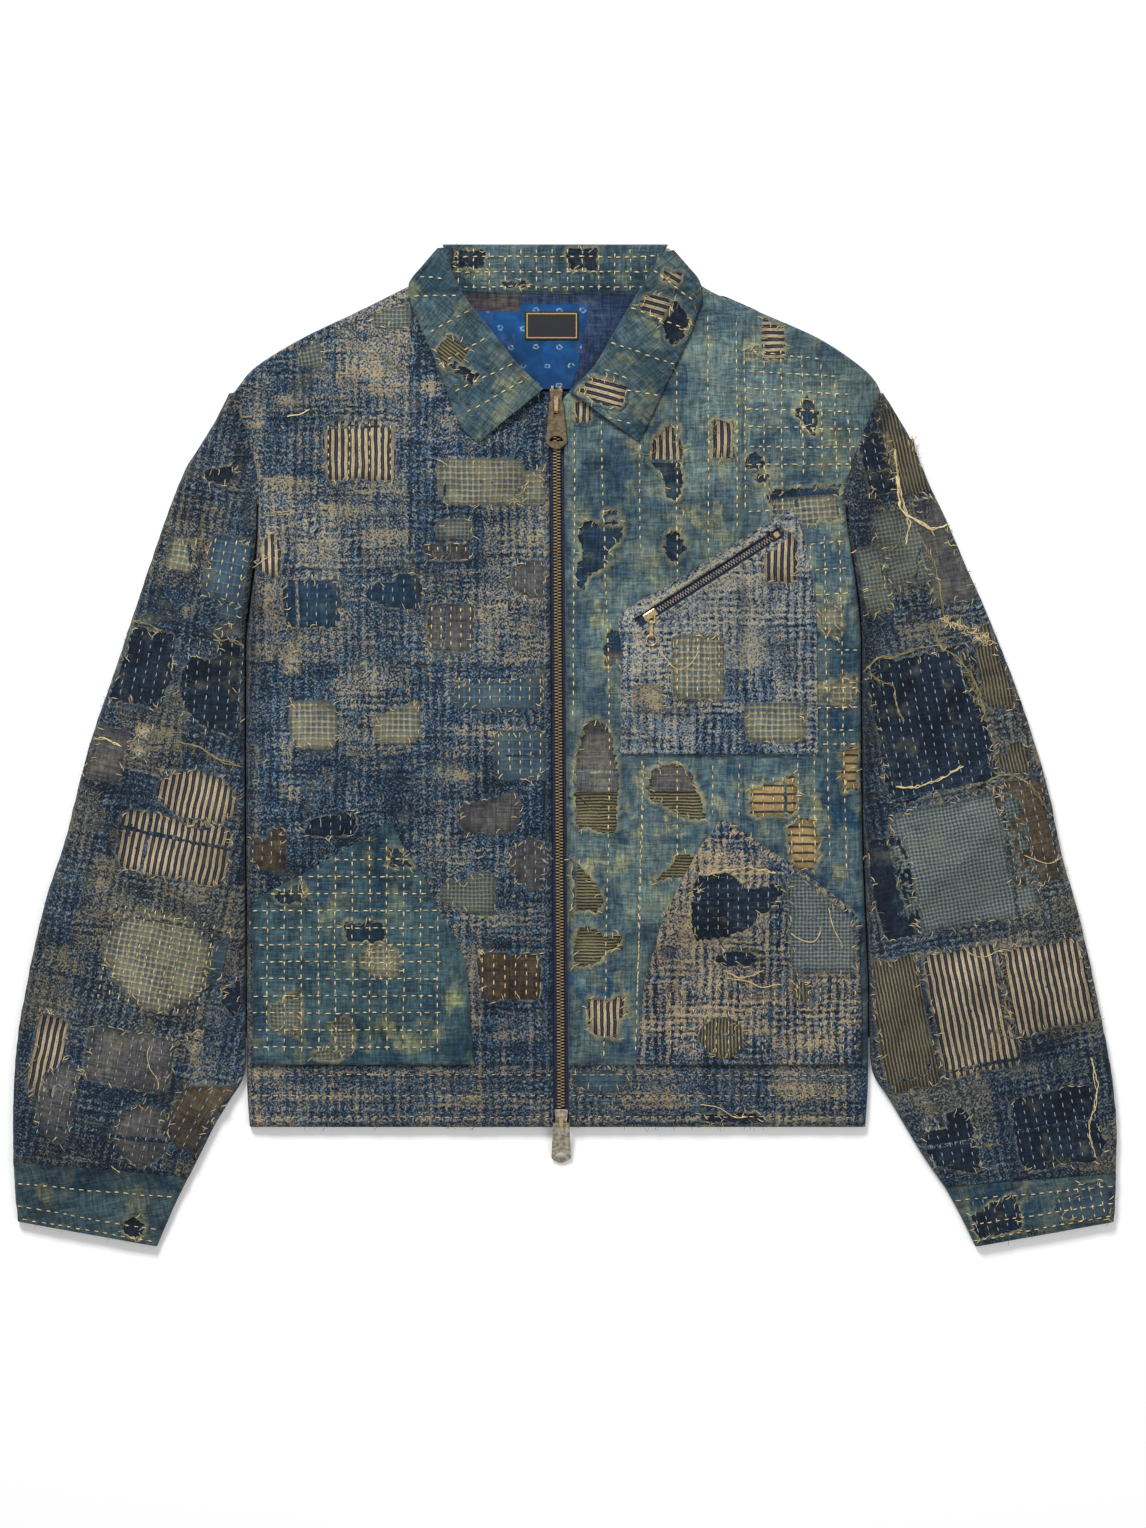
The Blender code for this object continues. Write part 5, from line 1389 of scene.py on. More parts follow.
SHAPES = {
    # corners of a tear from its lower right round over its top, in shares of its half width and height
    "box": ((0.9, -0.95), (1, 0), (0.88, 0.92), (0, 1), (-0.92, 0.9), (-1, 0), (-0.86, -0.94), (0, -1)),
    "square": ((1, -0.98), (1, 0), (0.97, 0.97), (0, 1), (-0.98, 0.96), (-1, 0), (-0.97, -0.98), (0, -1)),
    "arch": ((0.9, -1), (1, 0.05), (0.66, 0.78), (0.05, 1), (-0.62, 0.82), (-1, 0.1), (-0.92, -0.9),
        (0, -1)),
    "drop": ((0.2, -1), (0.85, -0.5), (1, 0.2), (0.55, 0.85), (-0.1, 1), (-0.8, 0.6), (-1, -0.1),
        (-0.5, -0.7)),
    "tooth": ((0.7, -1), (0.95, -0.6), (0.9, -0.1), (1, 0.3), (0.6, 0.7), (0.2, 1), (-0.35, 0.85),
        (-0.9, 0.4), (-1, -0.05), (-0.3, -0.35), (-0.1, -0.95)),
    "ripped": ((-0.55, -1), (-0.2, -0.55), (0.35, -0.4), (0.55, 0.1), (0.95, 0.35), (1, 0.75),
        (0.55, 0.95), (0.1, 0.8), (-0.4, 0.95), (-0.8, 0.6), (-0.7, 0), (-0.95, -0.6)),
    "leaning": ((0.9, -0.95), (0.95, -0.3), (0.7, 0.1), (0.5, 0.7), (-0.1, 1), (-0.7, 0.75), (-1, 0.05),
        (-0.75, -0.35), (-0.2, -0.6), (0.3, -0.95)),
    "wedge": ((0.95, -0.6), (0.5, 0.15), (0, 0.55), (-0.6, 0.95), (-1, 1), (-1, -0.8), (-0.3, -0.9),
        (0.5, -1)),
    "horn": ((0.55, -0.33), (1, 0.33), (0.9, 0.7), (0.25, 0.55), (-0.2, 1), (-0.75, 0.92), (-1, 0.63),
        (-1, -1), (-0.05, -0.93)),
    "axe": ((0.75, -0.9), (1, 0.3), (0.6, 0.9), (0, 1), (-0.35, 0.2), (-1, -0.5), (-1, -0.9), (-0.2, -0.6)),
    "cup": ((0.55, -1), (0.6, -0.55), (0.95, 0.2), (1, 0.95), (0.3, 1), (0, 0.7), (-0.9, 1), (-1, 0.5),
        (-0.95, -0.5), (-0.55, -1)),
    "slant": ((0.55, -0.95), (1, -0.6), (1, 0.6), (0.8, 1), (0.3, 0.75), (-0.85, 0.35), (-1, 0),
        (-0.9, -0.85)),
    "jar": ((0.55, -1), (0.95, -0.65), (1, -0.05), (0.85, 0.6), (0.4, 0.95), (-0.2, 0.95), (-0.3, 0.75),
        (-0.95, 0.6), (-0.95, -0.4), (-0.4, -0.85)),
    "boot": ((1, -0.95), (1, 0.85), (0.1, 1), (0, 0.55), (-0.75, 0.55), (-1, 0.15), (-0.95, -0.4),
        (-0.3, -0.85), (0.2, -1)),
}


def torn_outline(shape, wide, tall, ragged, seed):
    """Offsets round a patch from its middle: its shape with the corners softened and the edge torn."""
    corners = [(u * wide / 2, v * tall / 2) for u, v in SHAPES[shape]]
    outline = []
    for i, (u, v) in enumerate(corners):
        before, after, last = corners[i - 1], corners[(i + 1) % len(corners)], corners[(i + 2) % len(corners)]
        spans = max(2, round(math.dist((u, v), after) / 1.6))
        for k in range(spans):
            t = k / spans
            place = []
            for p, a, b, n in zip(before, (u, v), after, last):
                place.append(a + 0.42 * curved(p, a, b, n, t) + 0.08 * t * (b - a) * 2)
            size = math.hypot(*place)
            out = ragged * (2.4 * curl(*place, 7.0, seed) + 2.2 * curl(*place, 2.6, seed + 4)) / (size + 0.1)
            outline.append((place[0] * (1 + out), place[1] * (1 + out)))
    return outline


def patch_outline(skin, row, seed, lip, below=False):
    """The patch's outline about its middle, drawn in where it would pass the cloth's edge."""
    x, y, wide, tall, turn, rim = row[1:7]
    plain_shapes = ("box", "box", "drop", "slant", "boot", "jar")
    shape = row[8] if len(row) > 8 else random.Random(round(10 * seed)).choice(plain_shapes)
    outline = torn_outline(shape, wide, tall, min(1.0, 0.3 + 0.8 * rim) * (0.5 + 0.5 * lip), seed)
    c, s = math.cos(math.radians(turn)), math.sin(math.radians(turn))
    for n, (u, v) in enumerate(outline):
        for k in range(14):
            share, out = 1.0 - 0.06 * k, 1.0 - 0.06 * k + 3.0 / (math.hypot(u, v) + 0.1)
            if height_at(skin, x + out * (u * c - v * s), y + out * (u * s + v * c), below) is not None:
                break
        outline[n] = (u * share, v * share)
    return outline


def spun(x, y, u, v, degrees):
    """The place u across and v up from x, y, turned about it by this many degrees."""
    c, s = math.cos(math.radians(degrees)), math.sin(math.radians(degrees))
    return x + u * c - v * s, y + u * s + v * c


def lay_patch(skin, heap, row, cloth_name, outline, seed, lift, below):
    """One patch as rings from its outline to its middle, just over the cloth it lies on."""
    x, y, wide, tall, turn, rim = row[1:7]
    rings = max(3, math.ceil(min(wide, tall) / 2 / 3.6))
    middle = min(0.0, 0.5 * (max(v for u, v in outline) + min(v for u, v in outline)))
    swap = CLOTHS[cloth_name][1]
    sign = -1.0 if below else 1.0
    rows, places, dark = [], [], []
    for k in range(rings + 1):
        share = max(0.02, 1.0 - k / rings)
        puff = 0.35 * math.sin(math.pi * min(1.0, k / rings * 1.4 + 0.2)) if rim < 0.7 and not below else 0.0
        ring_row, place_row = [], []
        for u, v in outline:
            u, v = u * share, middle + (v - middle) * share
            px, py = spun(x, y, u, v, turn)
            z = height_at(skin, px, py, below)
            z = 6.0 if z is None else z + sign * (lift + puff)
            ring_row.append((px, py, max(0.02, z)))
            place_row.append((v + seed, u) if swap else (u + seed, v))
            # painted shadow: the patch's two outer rings are darkened as if shaded by the torn rim
            dark.append((0.95, 0.4)[k] * min(1.0, 0.3 + rim * 0.6) if k < 2 and not below else 0.0)
        rows.append(ring_row[::-1] if below else ring_row)
        places.append(place_row[::-1] if below else place_row)
    heap.grid(rows, places, closed=True, dirt=dark)


def lay_patches(skin, heaps, table, seed, lip, below=False):
    """Every patch of a table; a second cloth fills the lower part of a tear down from its last column."""
    outlines = []
    for n, row in enumerate(table):
        outline = patch_outline(skin, row, seed + 1.7 * n, lip, below)
        upper, *lower = row[0].split("/")
        lift = 0.15 if below else 0.42
        lay_patch(skin, heaps.setdefault(upper, Heap()), row, upper, outline, seed + 1.7 * n, lift, below)
        if lower:
            cut = [(u, min(v, row[9] * row[4] / 2)) for u, v in outline]
            heap = heaps.setdefault(lower[0], Heap())
            lay_patch(skin, heap, row, lower[0], cut, seed + 1.7 * n, lift + 0.3, below)
        outlines.append((row, [spun(row[1], row[2], u, v, row[5]) for u, v in outline]))
    return outlines


def torn_rim(skin, heap, outline, rim, grain, seed, lip):
    """The panel's own torn edge round a patch: swells up, rolls over and ends in a ragged lip."""
    count = len(outline)
    section = ((4.2, -0.5), (2.6, 0.3), (1.4, 0.95), (0.4, 1.35), (-0.5, 1.15), (-1.0, 0.55))
    rows, places, fray = [], [], []
    for k, (away, lift) in enumerate(section):
        row = []
        for n, (x, y) in enumerate(outline):
            before, after = outline[n - 1], outline[(n + 1) % count]
            tx, ty = after[0] - before[0], after[1] - before[1]
            size = math.hypot(tx, ty) or 1.0
            swell = rim * (0.45 + 0.55 * lip) * (0.62 + 0.75 * abs(curl(x, y, 8.0, seed)))
            out = lip * away * (0.5 + 0.5 * rim) * (1.0 + 0.5 * curl(x, y, 5.0, seed + 1))
            if k >= 4:
                out -= (k - 3) * 1.5 * max(0.0, curl(x, y, 2.1, seed + 3) + 0.15) * (0.5 + 0.5 * rim)
            px, py = x + ty / size * out, y - tx / size * out
            z = height_at(skin, px, py)
            if z is None or z < 2.5:
                px, py = x, y
                z = height_at(skin, px, py) or 5.0
            row.append((px, py, z + (lift * swell if lift > 0 else lift) + (0.35 if k >= 4 else 0.0)))
            strands = 0.5 + 1.5 * abs(curl(px, py, 2.3, seed + 9))
            frayed = (0.2 * k - 0.22) * strands * (0.9 + 1.6 * curl(x, y, 9.0, seed + 5))
            fray.append(max(0.0, min(1.0, frayed)))
        rows.append(row)
        places.append([turned(point, grain) for point in row])
    heap.grid(rows, places, closed=True, fray=fray)
    return rows[-1]


def strand(heap, path, thick, sides=3):
    """A thread through these points, tapered at its ends."""
    rows = []
    for n, (x, y, z) in enumerate(path):
        before, after = path[max(n - 1, 0)], path[min(n + 1, len(path) - 1)]
        tx, ty = after[0] - before[0], after[1] - before[1]
        size = math.hypot(tx, ty) or 1.0
        radius = thick / 2 * (0.55 if n in (0, len(path) - 1) else 1.0)
        row = []
        for k in range(sides):
            turn = 2 * math.pi * k / sides + 0.5
            out, up = radius * math.cos(turn), radius * math.sin(turn)
            row.append((x - ty / size * out, y + tx / size * out, z + up))
        rows.append(row)
    heap.grid(rows, [[(x, y) for x, y, z in row] for row in rows], closed=True)


def wander(skin, x, y, heading, length, lift, luck, curve, step=1.7):
    """A loose thread's path over the cloth from this place."""
    path = []
    bend = luck.uniform(-curve, curve)
    for n in range(max(3, round(length / step)) + 1):
        z = height_at(skin, x, y)
        if z is None:
            z = path[-1][2] - 0.6 if path else 3.0
        path.append((x, y, max(0.3, z + lift * (0.6 + 0.4 * math.sin(n * 1.1 + x)))))
        bend += luck.uniform(-curve, curve) * 0.5
        bend *= 0.85
        heading += bend
        x += step * math.cos(heading)
        y += step * math.sin(heading)
    return path


def line_of(x0, y0, x1, y1):
    """How far it is from one place to the other, and the way there."""
    length = math.hypot(x1 - x0, y1 - y0) or 1.0
    return length, (x1 - x0) / length, (y1 - y0) / length


def running_stitch(skin, heap, x0, y0, x1, y1, thick, luck, stitch=4.0, gap=3.4, below=False):
    """Stitches in a row from one place to the other, each dipping into the cloth at its ends."""
    length, dx, dy = line_of(x0, y0, x1, y1)
    if length < stitch:
        return
    at = luck.uniform(0.0, gap)
    while at + stitch < length:
        long = stitch * luck.uniform(0.75, 1.15)
        drift = 0.9 * curl(x0 + dx * at, y0 + dy * at, 28.0, x0 + y0) + luck.uniform(-0.2, 0.2)
        slant = luck.uniform(-0.08, 0.08)
        path = []
        for share, lift in ((0.0, -0.25), (0.3, 0.45), (0.7, 0.45), (1.0, -0.25)):
            along, off = at + long * share, drift + slant * long * (share - 0.5)
            px, py = x0 + dx * along - dy * off, y0 + dy * along + dx * off
            z = height_at(skin, px, py, below)
            if z is not None:
                path.append((px, py, z + (-0.25 if below else lift)))
        if len(path) == 4:
            strand(heap, path, thick)
        at += long + gap * luck.uniform(0.8, 1.2)


def thread_finish(name):
    """A twisted cotton thread of this colour."""
    made = bpy.data.materials.get("thread_" + name)
    if made is None:
        made, tree, shader = new_finish("thread_" + name)
        tone = between(tree, cloud(tree, place_on_jacket(tree), 7.0, 4.0, 0.7), 0.3, 0.7, 0.55, 1.12)
        tree.links.new(shaded(tree, rgba(THREADS[name][0]), tone), shader.inputs["Base Color"])
        shader.inputs["Roughness"].default_value = 0.85
    return made


def rows_over(row, pitch, inset):
    """The ends of the rows of stitching over a patch, this far apart, from its top to its foot."""
    x, y, wide, tall, turn = row[1:6]
    count = max(1, round(wide / pitch))
    for k in range(count):
        u = wide * ((k + 0.5) / count - 0.5)
        yield *spun(x, y, u, tall / 2 - inset, turn), *spun(x, y, u, inset - tall / 2, turn)


def mend(panel, pieces, table, grain, finish, seed, lip):
    """Lays a panel's patches, its torn edges round them, their stitches and their fray."""
    skin = skin_over(pieces)
    luck = random.Random(seed)
    heaps, rims = {}, Heap()
    outlines = lay_patches(skin, heaps, table, seed, lip)
    made = [heap.piece(panel + "_" + name, CLOTHS[name][0]) for name, heap in heaps.items()]
    lips = []
    for n, (row, outline) in enumerate(outlines):
        lips.append((row, torn_rim(skin, rims, outline, row[6], grain, seed + 1.7 * n, lip)))
    rims = rims.piece(panel + "_torn_edges", finish)
    skin = skin_over([*pieces, *made, rims])
    threads = {name: Heap() for name in THREADS}
    for row, edge_of_tear in lips:
        thread = row[7]
        if thread:
            for ends in rows_over(row, 8.2, 1.5):
                running_stitch(skin, threads[thread], *ends, THREADS[thread][1] * 1.5, luck)
        for x, y, _ in edge_of_tear:
            if luck.random() > 0.36 + 0.2 * lip:
                continue
            inward = math.atan2(row[2] - y, row[1] - x)
            heading = inward + luck.choice((0.0, math.pi)) + luck.uniform(-1.3, 1.3)
            name = luck.choices(("straw", "cream", "denim"), (5, 2, 1) if lip > 0.8 else (1, 3, 5))[0]
            path = wander(skin, x, y, heading, luck.uniform(1.8, 6.0), 0.5, luck, 0.6)
            strand(threads[name], path, THREADS[name][1] * luck.uniform(0.7, 1.2))
    for name, heap in threads.items():
        if heap.points:
            made.append(heap.piece(panel + "_" + name + "_thread", thread_finish(name)))
    return [*made, rims]


# Tears and patches: cloth (or upper/lower cloth), x, y, width, height, turn, how far the torn edge stands
# up, thread of its stitching and, where these are given, its shape and where the lower cloth starts.
MENDS_FRONT_RIGHT = (
    ("olive", -138, 342, 30, 20, 0, 0.4, ""),
    ("olive", -204, 312, 21, 23, 10, 0.4, ""),
    ("ticking", -164, 235, 58, 49, 0, 0.8, "cream"),
    ("gauze", -67, 210, 70, 37, 0, 0.5, ""),
    ("gauze", -26, 208, 28, 34, 0, 0.5, ""),
    ("ticking", -236, 151, 20, 36, 0, 0.6, ""),
    ("deep", -202, 113, 47, 40, 0, 0.9, "pale_blue", "box"),
    ("deep", -137, 122, 44, 29, 0, 0.9, "pale_blue", "boot"),
    ("grey", -94, 154, 37, 14, 0, 0.8, "cream"),
    ("olive", -88, 172, 28, 16, 0, 0.6, ""),
    ("grey", -91, 94, 39, 39, 0, 1, "cream"),
    ("grey", -28, 133, 30, 32, 0, 0.6, "pale_blue"),
    ("plaid", -52, 42, 73, 28, 0, 0.5, "cream"),
    ("plaid", -36, -8, 42, 40, 0, 0.5, "cream"),
    ("gauze", -201, 16, 37, 39, 0, 0.5, ""),
    ("gauze", -134, 18, 36, 35, 0, 0.5, ""),
    ("cream", -218, 67, 14, 22, 0, 0.4, ""),
    ("brown", -238, -84, 30, 35, 0, 0.6, "pale_blue"),
    ("navy", -187, -63, 40, 22, 0, 0.7, "pale_blue"),
    ("grey", -60, -54, 47, 35, 0, 0.5, ""),
    ("grey", -28, -95, 31, 42, 0, 0.4, "pale_blue"),
    ("olive", -78, -118, 42, 33, 0, 0.5, ""),
    ("brown", -44, -185, 52, 39, 0, 0.7, "cream"),
)
MENDS_POCKET_RIGHT = (
    ("deep", -129, -90, 26, 17, 0, 1, ""),
    ("deep", -160, -149, 33, 19, 0, 1, ""),
    ("deep", -219, -119, 24, 18, 0, 1, ""),
    ("gauze", -147, -172, 32, 26, 0, 0.6, ""),
    ("olive", -177, -232, 20, 31, 0, 0.7, ""),
    ("olive", -191, -248, 25, 10, 0, 0.7, ""),
    ("olive", -224, -215, 26, 34, 0, 0.6, ""),
)
MENDS_FRONT_LEFT = (
    ("ticking/deep", 81, 226, 30, 62, 0, 1.1, "", "tooth", -0.03),
    ("ticking", 126, 243, 20, 34, 0, 0.9, "", "square"),
    ("ticking", 166, 326, 38, 20, 90, 0.5, ""),
    ("ticking", 14, 266, 16, 19, 0, 0.6, ""),
    ("deep", 93, 189, 8, 6, 0, 1, "", "drop"),
    ("deep", 87, 157, 18, 29, 0, 1.3, "", "drop"),
    ("deep", 37, 182, 14, 14, 0, 1.2, "", "box"),
    ("deep", 26, 152, 42, 62, 0, 1.3, "", "ripped"),
    ("deep", 193, 262, 20, 32, 0, 1.2, "cream", "tooth"),
    ("deep", 152, 227, 17, 15, 0, 1.2, "", "arch"),
    ("deep", 157, 213, 13, 11, 0, 1.2, "", "drop"),
    ("deep/gauze", 194, 192, 62, 30, 5, 1, "", "square", 0.45),
    ("olive", 149, 314, 12, 13, 0, 0.5, ""),
    ("deep/grey", 40, 78, 20, 32, 0, 1.2, "", "arch", -0.2),
    ("grey/shirting", 25, -24, 37, 90, 0, 1.1, "", "arch", -0.3),
    ("grey/shirting", 88, -38, 52, 48, 0, 1.2, "", "leaning", 0.05),
    ("bolster", 166, -41, 39, 38, 0, 1.2, "cream", "slant"),
    ("bolster", 190, -79, 27, 46, 0, 1.2, "cream", "jar"),
    ("bolster", 229, -20, 16, 36, 0, 1, "", "square"),
    ("gauze", 212, 100, 20, 29, 0, 0.9, ""),
    ("gauze", 222, 44, 24, 25, 0, 0.9, ""),
    ("shirting", 18, -113, 30, 44, 0, 1.2, "", "wedge"),
    ("shirting", 26, -161, 40, 32, 0, 1.3, "", "horn"),
    ("shirting", 90, -99, 36, 26, 0, 1, "", "axe"),
    ("shirting", 83, -134, 9, 11, 0, 0.9, "", "slant"),
    ("ticking", 34, -217, 33, 35, 0, 1.1, "", "cup"),
)
MENDS_CHEST_POCKET = (
    ("ticking", 172, 150, 28, 42, 0, 0.8, ""),
    ("gauze", 106, 62, 42, 53, 0, 0.6, "cream"),
    ("cream", 66, 37, 24, 23, 0, 0.3, ""),
    ("gauze", 168, 18, 49, 31, 0, 0.5, ""),
)
MENDS_POCKET_LEFT = (
    ("navy", 138, -128, 72, 53, 0, 1, "pale_blue", "horn"),
    ("navy", 136, -171, 41, 14, 0, 0.8, "pale_blue", "drop"),
    ("gingham", 206, -143, 54, 79, 0, 0.7, "", "square"),
    ("slat", 188, -197, 12, 18, 0, 0.5, ""),
    ("slat", 125, -234, 37, 34, 0, 0.3, ""),
)
MENDS_HEM_BAND = (
    ("navy", 134, -298, 55, 11, 0, 0.8, ""),
    ("plaid", 29, -268, 44, 18, 0, 0.4, ""),
)
MENDS_SLEEVE_RIGHT = (
    ("gauze", -306, 152, 22, 27, -11, 0.5, ""),
    ("plaid", -270, 141, 34, 52, -11, 0.6, "cream"),
    ("navy", -276, 216, 22, 18, -11, 0.7, ""),
    ("plaid", -266, 107, 20, 18, -11, 0.5, ""),
    ("grey", -268, 91, 22, 14, -11, 0.6, ""),
    ("navy", -338, 62, 50, 62, -11, 0.9, "pale_blue", "box"),
    ("navy", -281, 48, 52, 76, -5, 0.9, "pale_blue", "boot"),
    ("grey", -368, -7, 34, 43, -11, 0.6, "", "square"),
    ("cream", -336, 10, 13, 11, -11, 0.6, "", "box"),
    ("cream", -340, -5, 13, 11, -11, 0.6, "", "box"),
    ("ticking", -294, -43, 66, 46, -11, 0.8, ""),
    ("ticking", -312, -82, 92, 50, -11, 0.8, ""),
    ("gauze", -326, -172, 88, 82, -11, 0.8, "cream"),
    ("plaid", -276, -169, 11, 43, -11, 0.4, ""),
    ("navy", -266, -200, 16, 29, -11, 0.6, ""),
    ("ticking", -413, -248, 26, 65, -11, 0.7, ""),
    ("grey", -348, -251, 72, 46, -11, 0.7, "pale_blue"),
    ("grey", -405, -284, 30, 68, -11, 0.6, "pale_blue"),
    ("grey", -338, -312, 48, 52, -11, 0.7, "pale_blue"),
    ("cream", -297, -236, 14, 20, -11, 0.4, ""),
    ("brown", -290, -292, 44, 70, -28, 0.6, "pale_blue"),
)
MENDS_SLEEVE_LEFT = (
    ("slat", 276, 236, 36, 72, 13, 0.5, "", "square"),
    ("navy", 250, 224, 25, 50, 11, 0.9, "pale_blue", "box"),
    ("olive", 270, 158, 40, 60, 11, 0.6, "", "square"),
    ("olive", 247, 132, 24, 54, 11, 0.6, "", "box"),
    ("grey", 303, 156, 36, 84, 11, 0.6, "", "square"),
    ("navy", 292, 17, 88, 112, 11, 1, "pale_blue", "square"),
    ("slat", 335, 61, 38, 68, 11, 0.7, ""),
    ("slat", 354, -12, 32, 26, 11, 0.7, ""),
    ("brown", 370, -68, 42, 84, 11, 0.7, "pale_blue", "square"),
    ("gingham", 318, -94, 110, 100, 11, 0.8, "", "box"),
    ("navy", 262, -114, 34, 82, 11, 0.7, ""),
    ("ticking", 324, -212, 62, 98, 11, 0.8, "", "square"),
    ("ticking", 384, -193, 70, 68, 11, 0.8, "", "square"),
    ("slat", 269, -222, 42, 104, 11, 0.6, "", "square"),
    ("navy", 393, -306, 70, 62, 11, 0.8, "pale_blue"),
    ("navy", 307, -318, 40, 50, 11, 0.7, "pale_blue"),
)
MENDS_CUFF_RIGHT = (("navy", -345, -386, 21, 18, -11, 1, ""),)
MENDS_CUFF_LEFT = (
    ("navy", 344, -376, 40, 34, 11, 0.8, "pale_blue"),
    ("plaid", 412, -366, 42, 32, 11, 0.5, "cream"),
)
MENDS_LEAF_RIGHT = (
    ("shirting", -91, 312, 24, 26, -40, 0.7, ""),
    ("navy", -80, 298, 26, 14, -40, 0.7, ""),
)
MENDS_LEAF_LEFT = (
    ("ticking_across", 72, 349, 27, 22, -14, 0.6, ""),
    ("navy", 88, 336, 24, 34, 30, 1, ""),
    ("ticking_across", 86, 374, 15, 17, -30, 1, ""),
    ("ticking_across", 28, 282, 42, 22, -14, 0.7, ""),
)
MENDS_COLLAR_BACK = (
    ("navy", -76, 388, 26, 16, 0, 1, ""),
    ("navy", 14, 388, 26, 20, 0, 1.1, ""),
    ("navy", -40, 368, 22, 8, 0, 0.9, ""),
)
# Each panel's patches go with the panel that carries them.
MENDED = (
    # panel, its cloth, its patches, grain, cloth of its torn edges, how far those stand up and out
    ("front_right", right_front, MENDS_FRONT_RIGHT, 0.0, worn_indigo, 0.5),
    ("front_left", left_front, MENDS_FRONT_LEFT, 0.0, teal_cotton, 1.0),
    ("hem_band_left", band_left, MENDS_HEM_BAND, 0.0, hem_indigo, 0.6),
    ("lower_pocket_right", right_pocket, MENDS_POCKET_RIGHT, 0.0, pocket_teal, 0.9),
    ("lower_pocket_left", left_pocket, MENDS_POCKET_LEFT, 0.0, pocket_indigo, 0.6),
    ("chest_pocket", chest, MENDS_CHEST_POCKET, 0.0, pale_indigo, 0.5),
    ("sleeve_right", right_sleeve, MENDS_SLEEVE_RIGHT, -SLEEVE_GRAIN, sleeve_indigo, 0.55),
    ("sleeve_left", left_sleeve, MENDS_SLEEVE_LEFT, SLEEVE_GRAIN, sleeve_indigo, 0.55),
    ("cuff_right", right_cuff, MENDS_CUFF_RIGHT, -SLEEVE_GRAIN, cuff_teal, 0.8),
    ("cuff_left", left_cuff, MENDS_CUFF_LEFT, SLEEVE_GRAIN, cuff_teal, 0.8),
    ("leaf_right", collar_right, MENDS_LEAF_RIGHT, 0.0, collar_teal, 0.8),
    ("leaf_left", collar_left, MENDS_LEAF_LEFT, 0.0, collar_teal, 0.8),
    ("collar_back", collar_top, MENDS_COLLAR_BACK, 0.0, collar_teal, 0.8),
)
sewn = {}
for n, (panel, cloth, table, grain, finish, lip) in enumerate(MENDED):
    sewn[panel] = mend(panel, [cloth], table, grain, finish, 100 + 37 * n, lip)
    for piece in sewn[panel]:
        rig.slot(piece, "teal_cloth" if "teal" in finish.name else "indigo_cloth")
sewn["lining"] = [printed, grey_strip, slate_strip]

# ---- Seams and stitching: the seams between pieces of cloth stand up as welts, and rows of running stitch
# in thick cotton thread quilt the pieces.
WELTS = {
    # panel: (half width, height, ((from x, y, to x, y), ...))
    "front_right": (1.7, 0.9, (
        (-213, 320, -215, -60), (-15.5, 262, -12.5, -252), (-96, 262, -97, -70), (-215, 253, -100, 256),
        (-214, 142, -98, 137), (-250, 66, -16, 62), (-213, -12, -20, -8), (-213, 318, -104, 367),
    )),
    "front_left": (1.7, 0.8, (
        (140.5, 331, 141.5, -62), (6.5, 262, 8.5, -250), (12, 226, 139, 228), (10, -22, 66, -23),
        (66, 352, 141, 344), (143, 208, 232, 205), (176, 58, 176, -60),
    )),
    "sleeve_right": (1.8, 1, (
        (-350, 100, -252, 82), (-372, 28, -262, 8), (-392, -58, -262, -84), (-408, -126, -268, -150),
        (-426, -212, -272, -240), (-436, -300, -286, -322), (-300, 160, -296, 100), (-330, -58, -345, -130),
        (-384, -210, -400, -330),
    )),
    "sleeve_left": (1.8, 1, (
        (252, 196, 318, 210), (252, 96, 350, 112), (250, -46, 380, -24), (262, -160, 402, -136),
        (262, -268, 424, -240), (286, -322, 432, -296), (290, 190, 276, 110), (346, -20, 362, -140),
        (352, -250, 360, -330),
    )),
    "lower_pocket_right": (1.5, 0.7, ((-248, -159, -112, -158),)),
    "lower_pocket_left": (1.5, 0.7, ((96, -186, 232, -184), (82, -232, 234, -230), (188, -188, 188, -244))),
    "chest_pocket": (1.2, 0.6, ((58, 26, 168, 26), (163, 26, 163, 118), (60, 88, 168, 158))),
}
for panel, (half, high, seams) in WELTS.items():
    cloth, grain, finish = next((row[1], row[3], row[4]) for row in MENDED if row[0] == panel)
    skin, heap = skin_over([cloth]), Heap()
    for x0, y0, x1, y1 in seams:
        length, dx, dy = line_of(x0, y0, x1, y1)
        steps = round(length / 2.2)
        rows = []
        for k in range(steps + 1):
            along = min(length, 2.2 * k)
            bent = 1.3 * curl(along, x0, 34.0, y0) + 0.5 * curl(along, x0, 9.0, y0)
            x, y = x0 + dx * along - dy * bent, y0 + dy * along + dx * bent
            rise = high * (0.6 + 0.9 * abs(curl(along, y0, 13.0, x0)))
            section = ((-1.25, -0.4), (-0.8, 0.75 * rise), (0.3, rise), (1.0, 0.4 * rise), (1.3, -0.4))
            row = []
            for off, lift in section:
                px, py = x - dy * off * half, y + dx * off * half
                z = height_at(skin, px, py)
                row.append((px, py, z + lift) if z is not None and z > 3.0 else None)
            whole = None not in row
            if whole:
                rows.append(row[::-1])
            if not whole or k == steps:
                if len(rows) > 2:
                    heap.grid(rows, [[turned(point, grain) for point in line] for line in rows])
                rows = []
    piece = heap.piece(panel + "_welts", finish)
    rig.slot(piece, "teal_cloth" if "teal" in finish.name else "indigo_cloth")
    sewn[panel].append(piece)


def panel_cloth(panel):
    """The panel's own cloth; only the hem band's right length has no patches."""
    return next((row[1] for row in MENDED if row[0] == panel), band_right)


def sewn_skin(panel):
    """The outer faces of the panel with all that is sewn on it but its threads."""
    carried = [piece for piece in sewn.setdefault(panel, []) if not piece.name.endswith("_thread")]
    return skin_over([panel_cloth(panel), *carried])


def lined_up(low, high, pitch, start, stop, upright=True):
    """Rows of stitching this far apart, all running from start to stop."""
    count = round((high - low) / pitch)
    places = [low + pitch * i for i in range(count + 1)]
    return tuple((at, start, at, stop) if upright else (start, at, stop, at) for at in places)


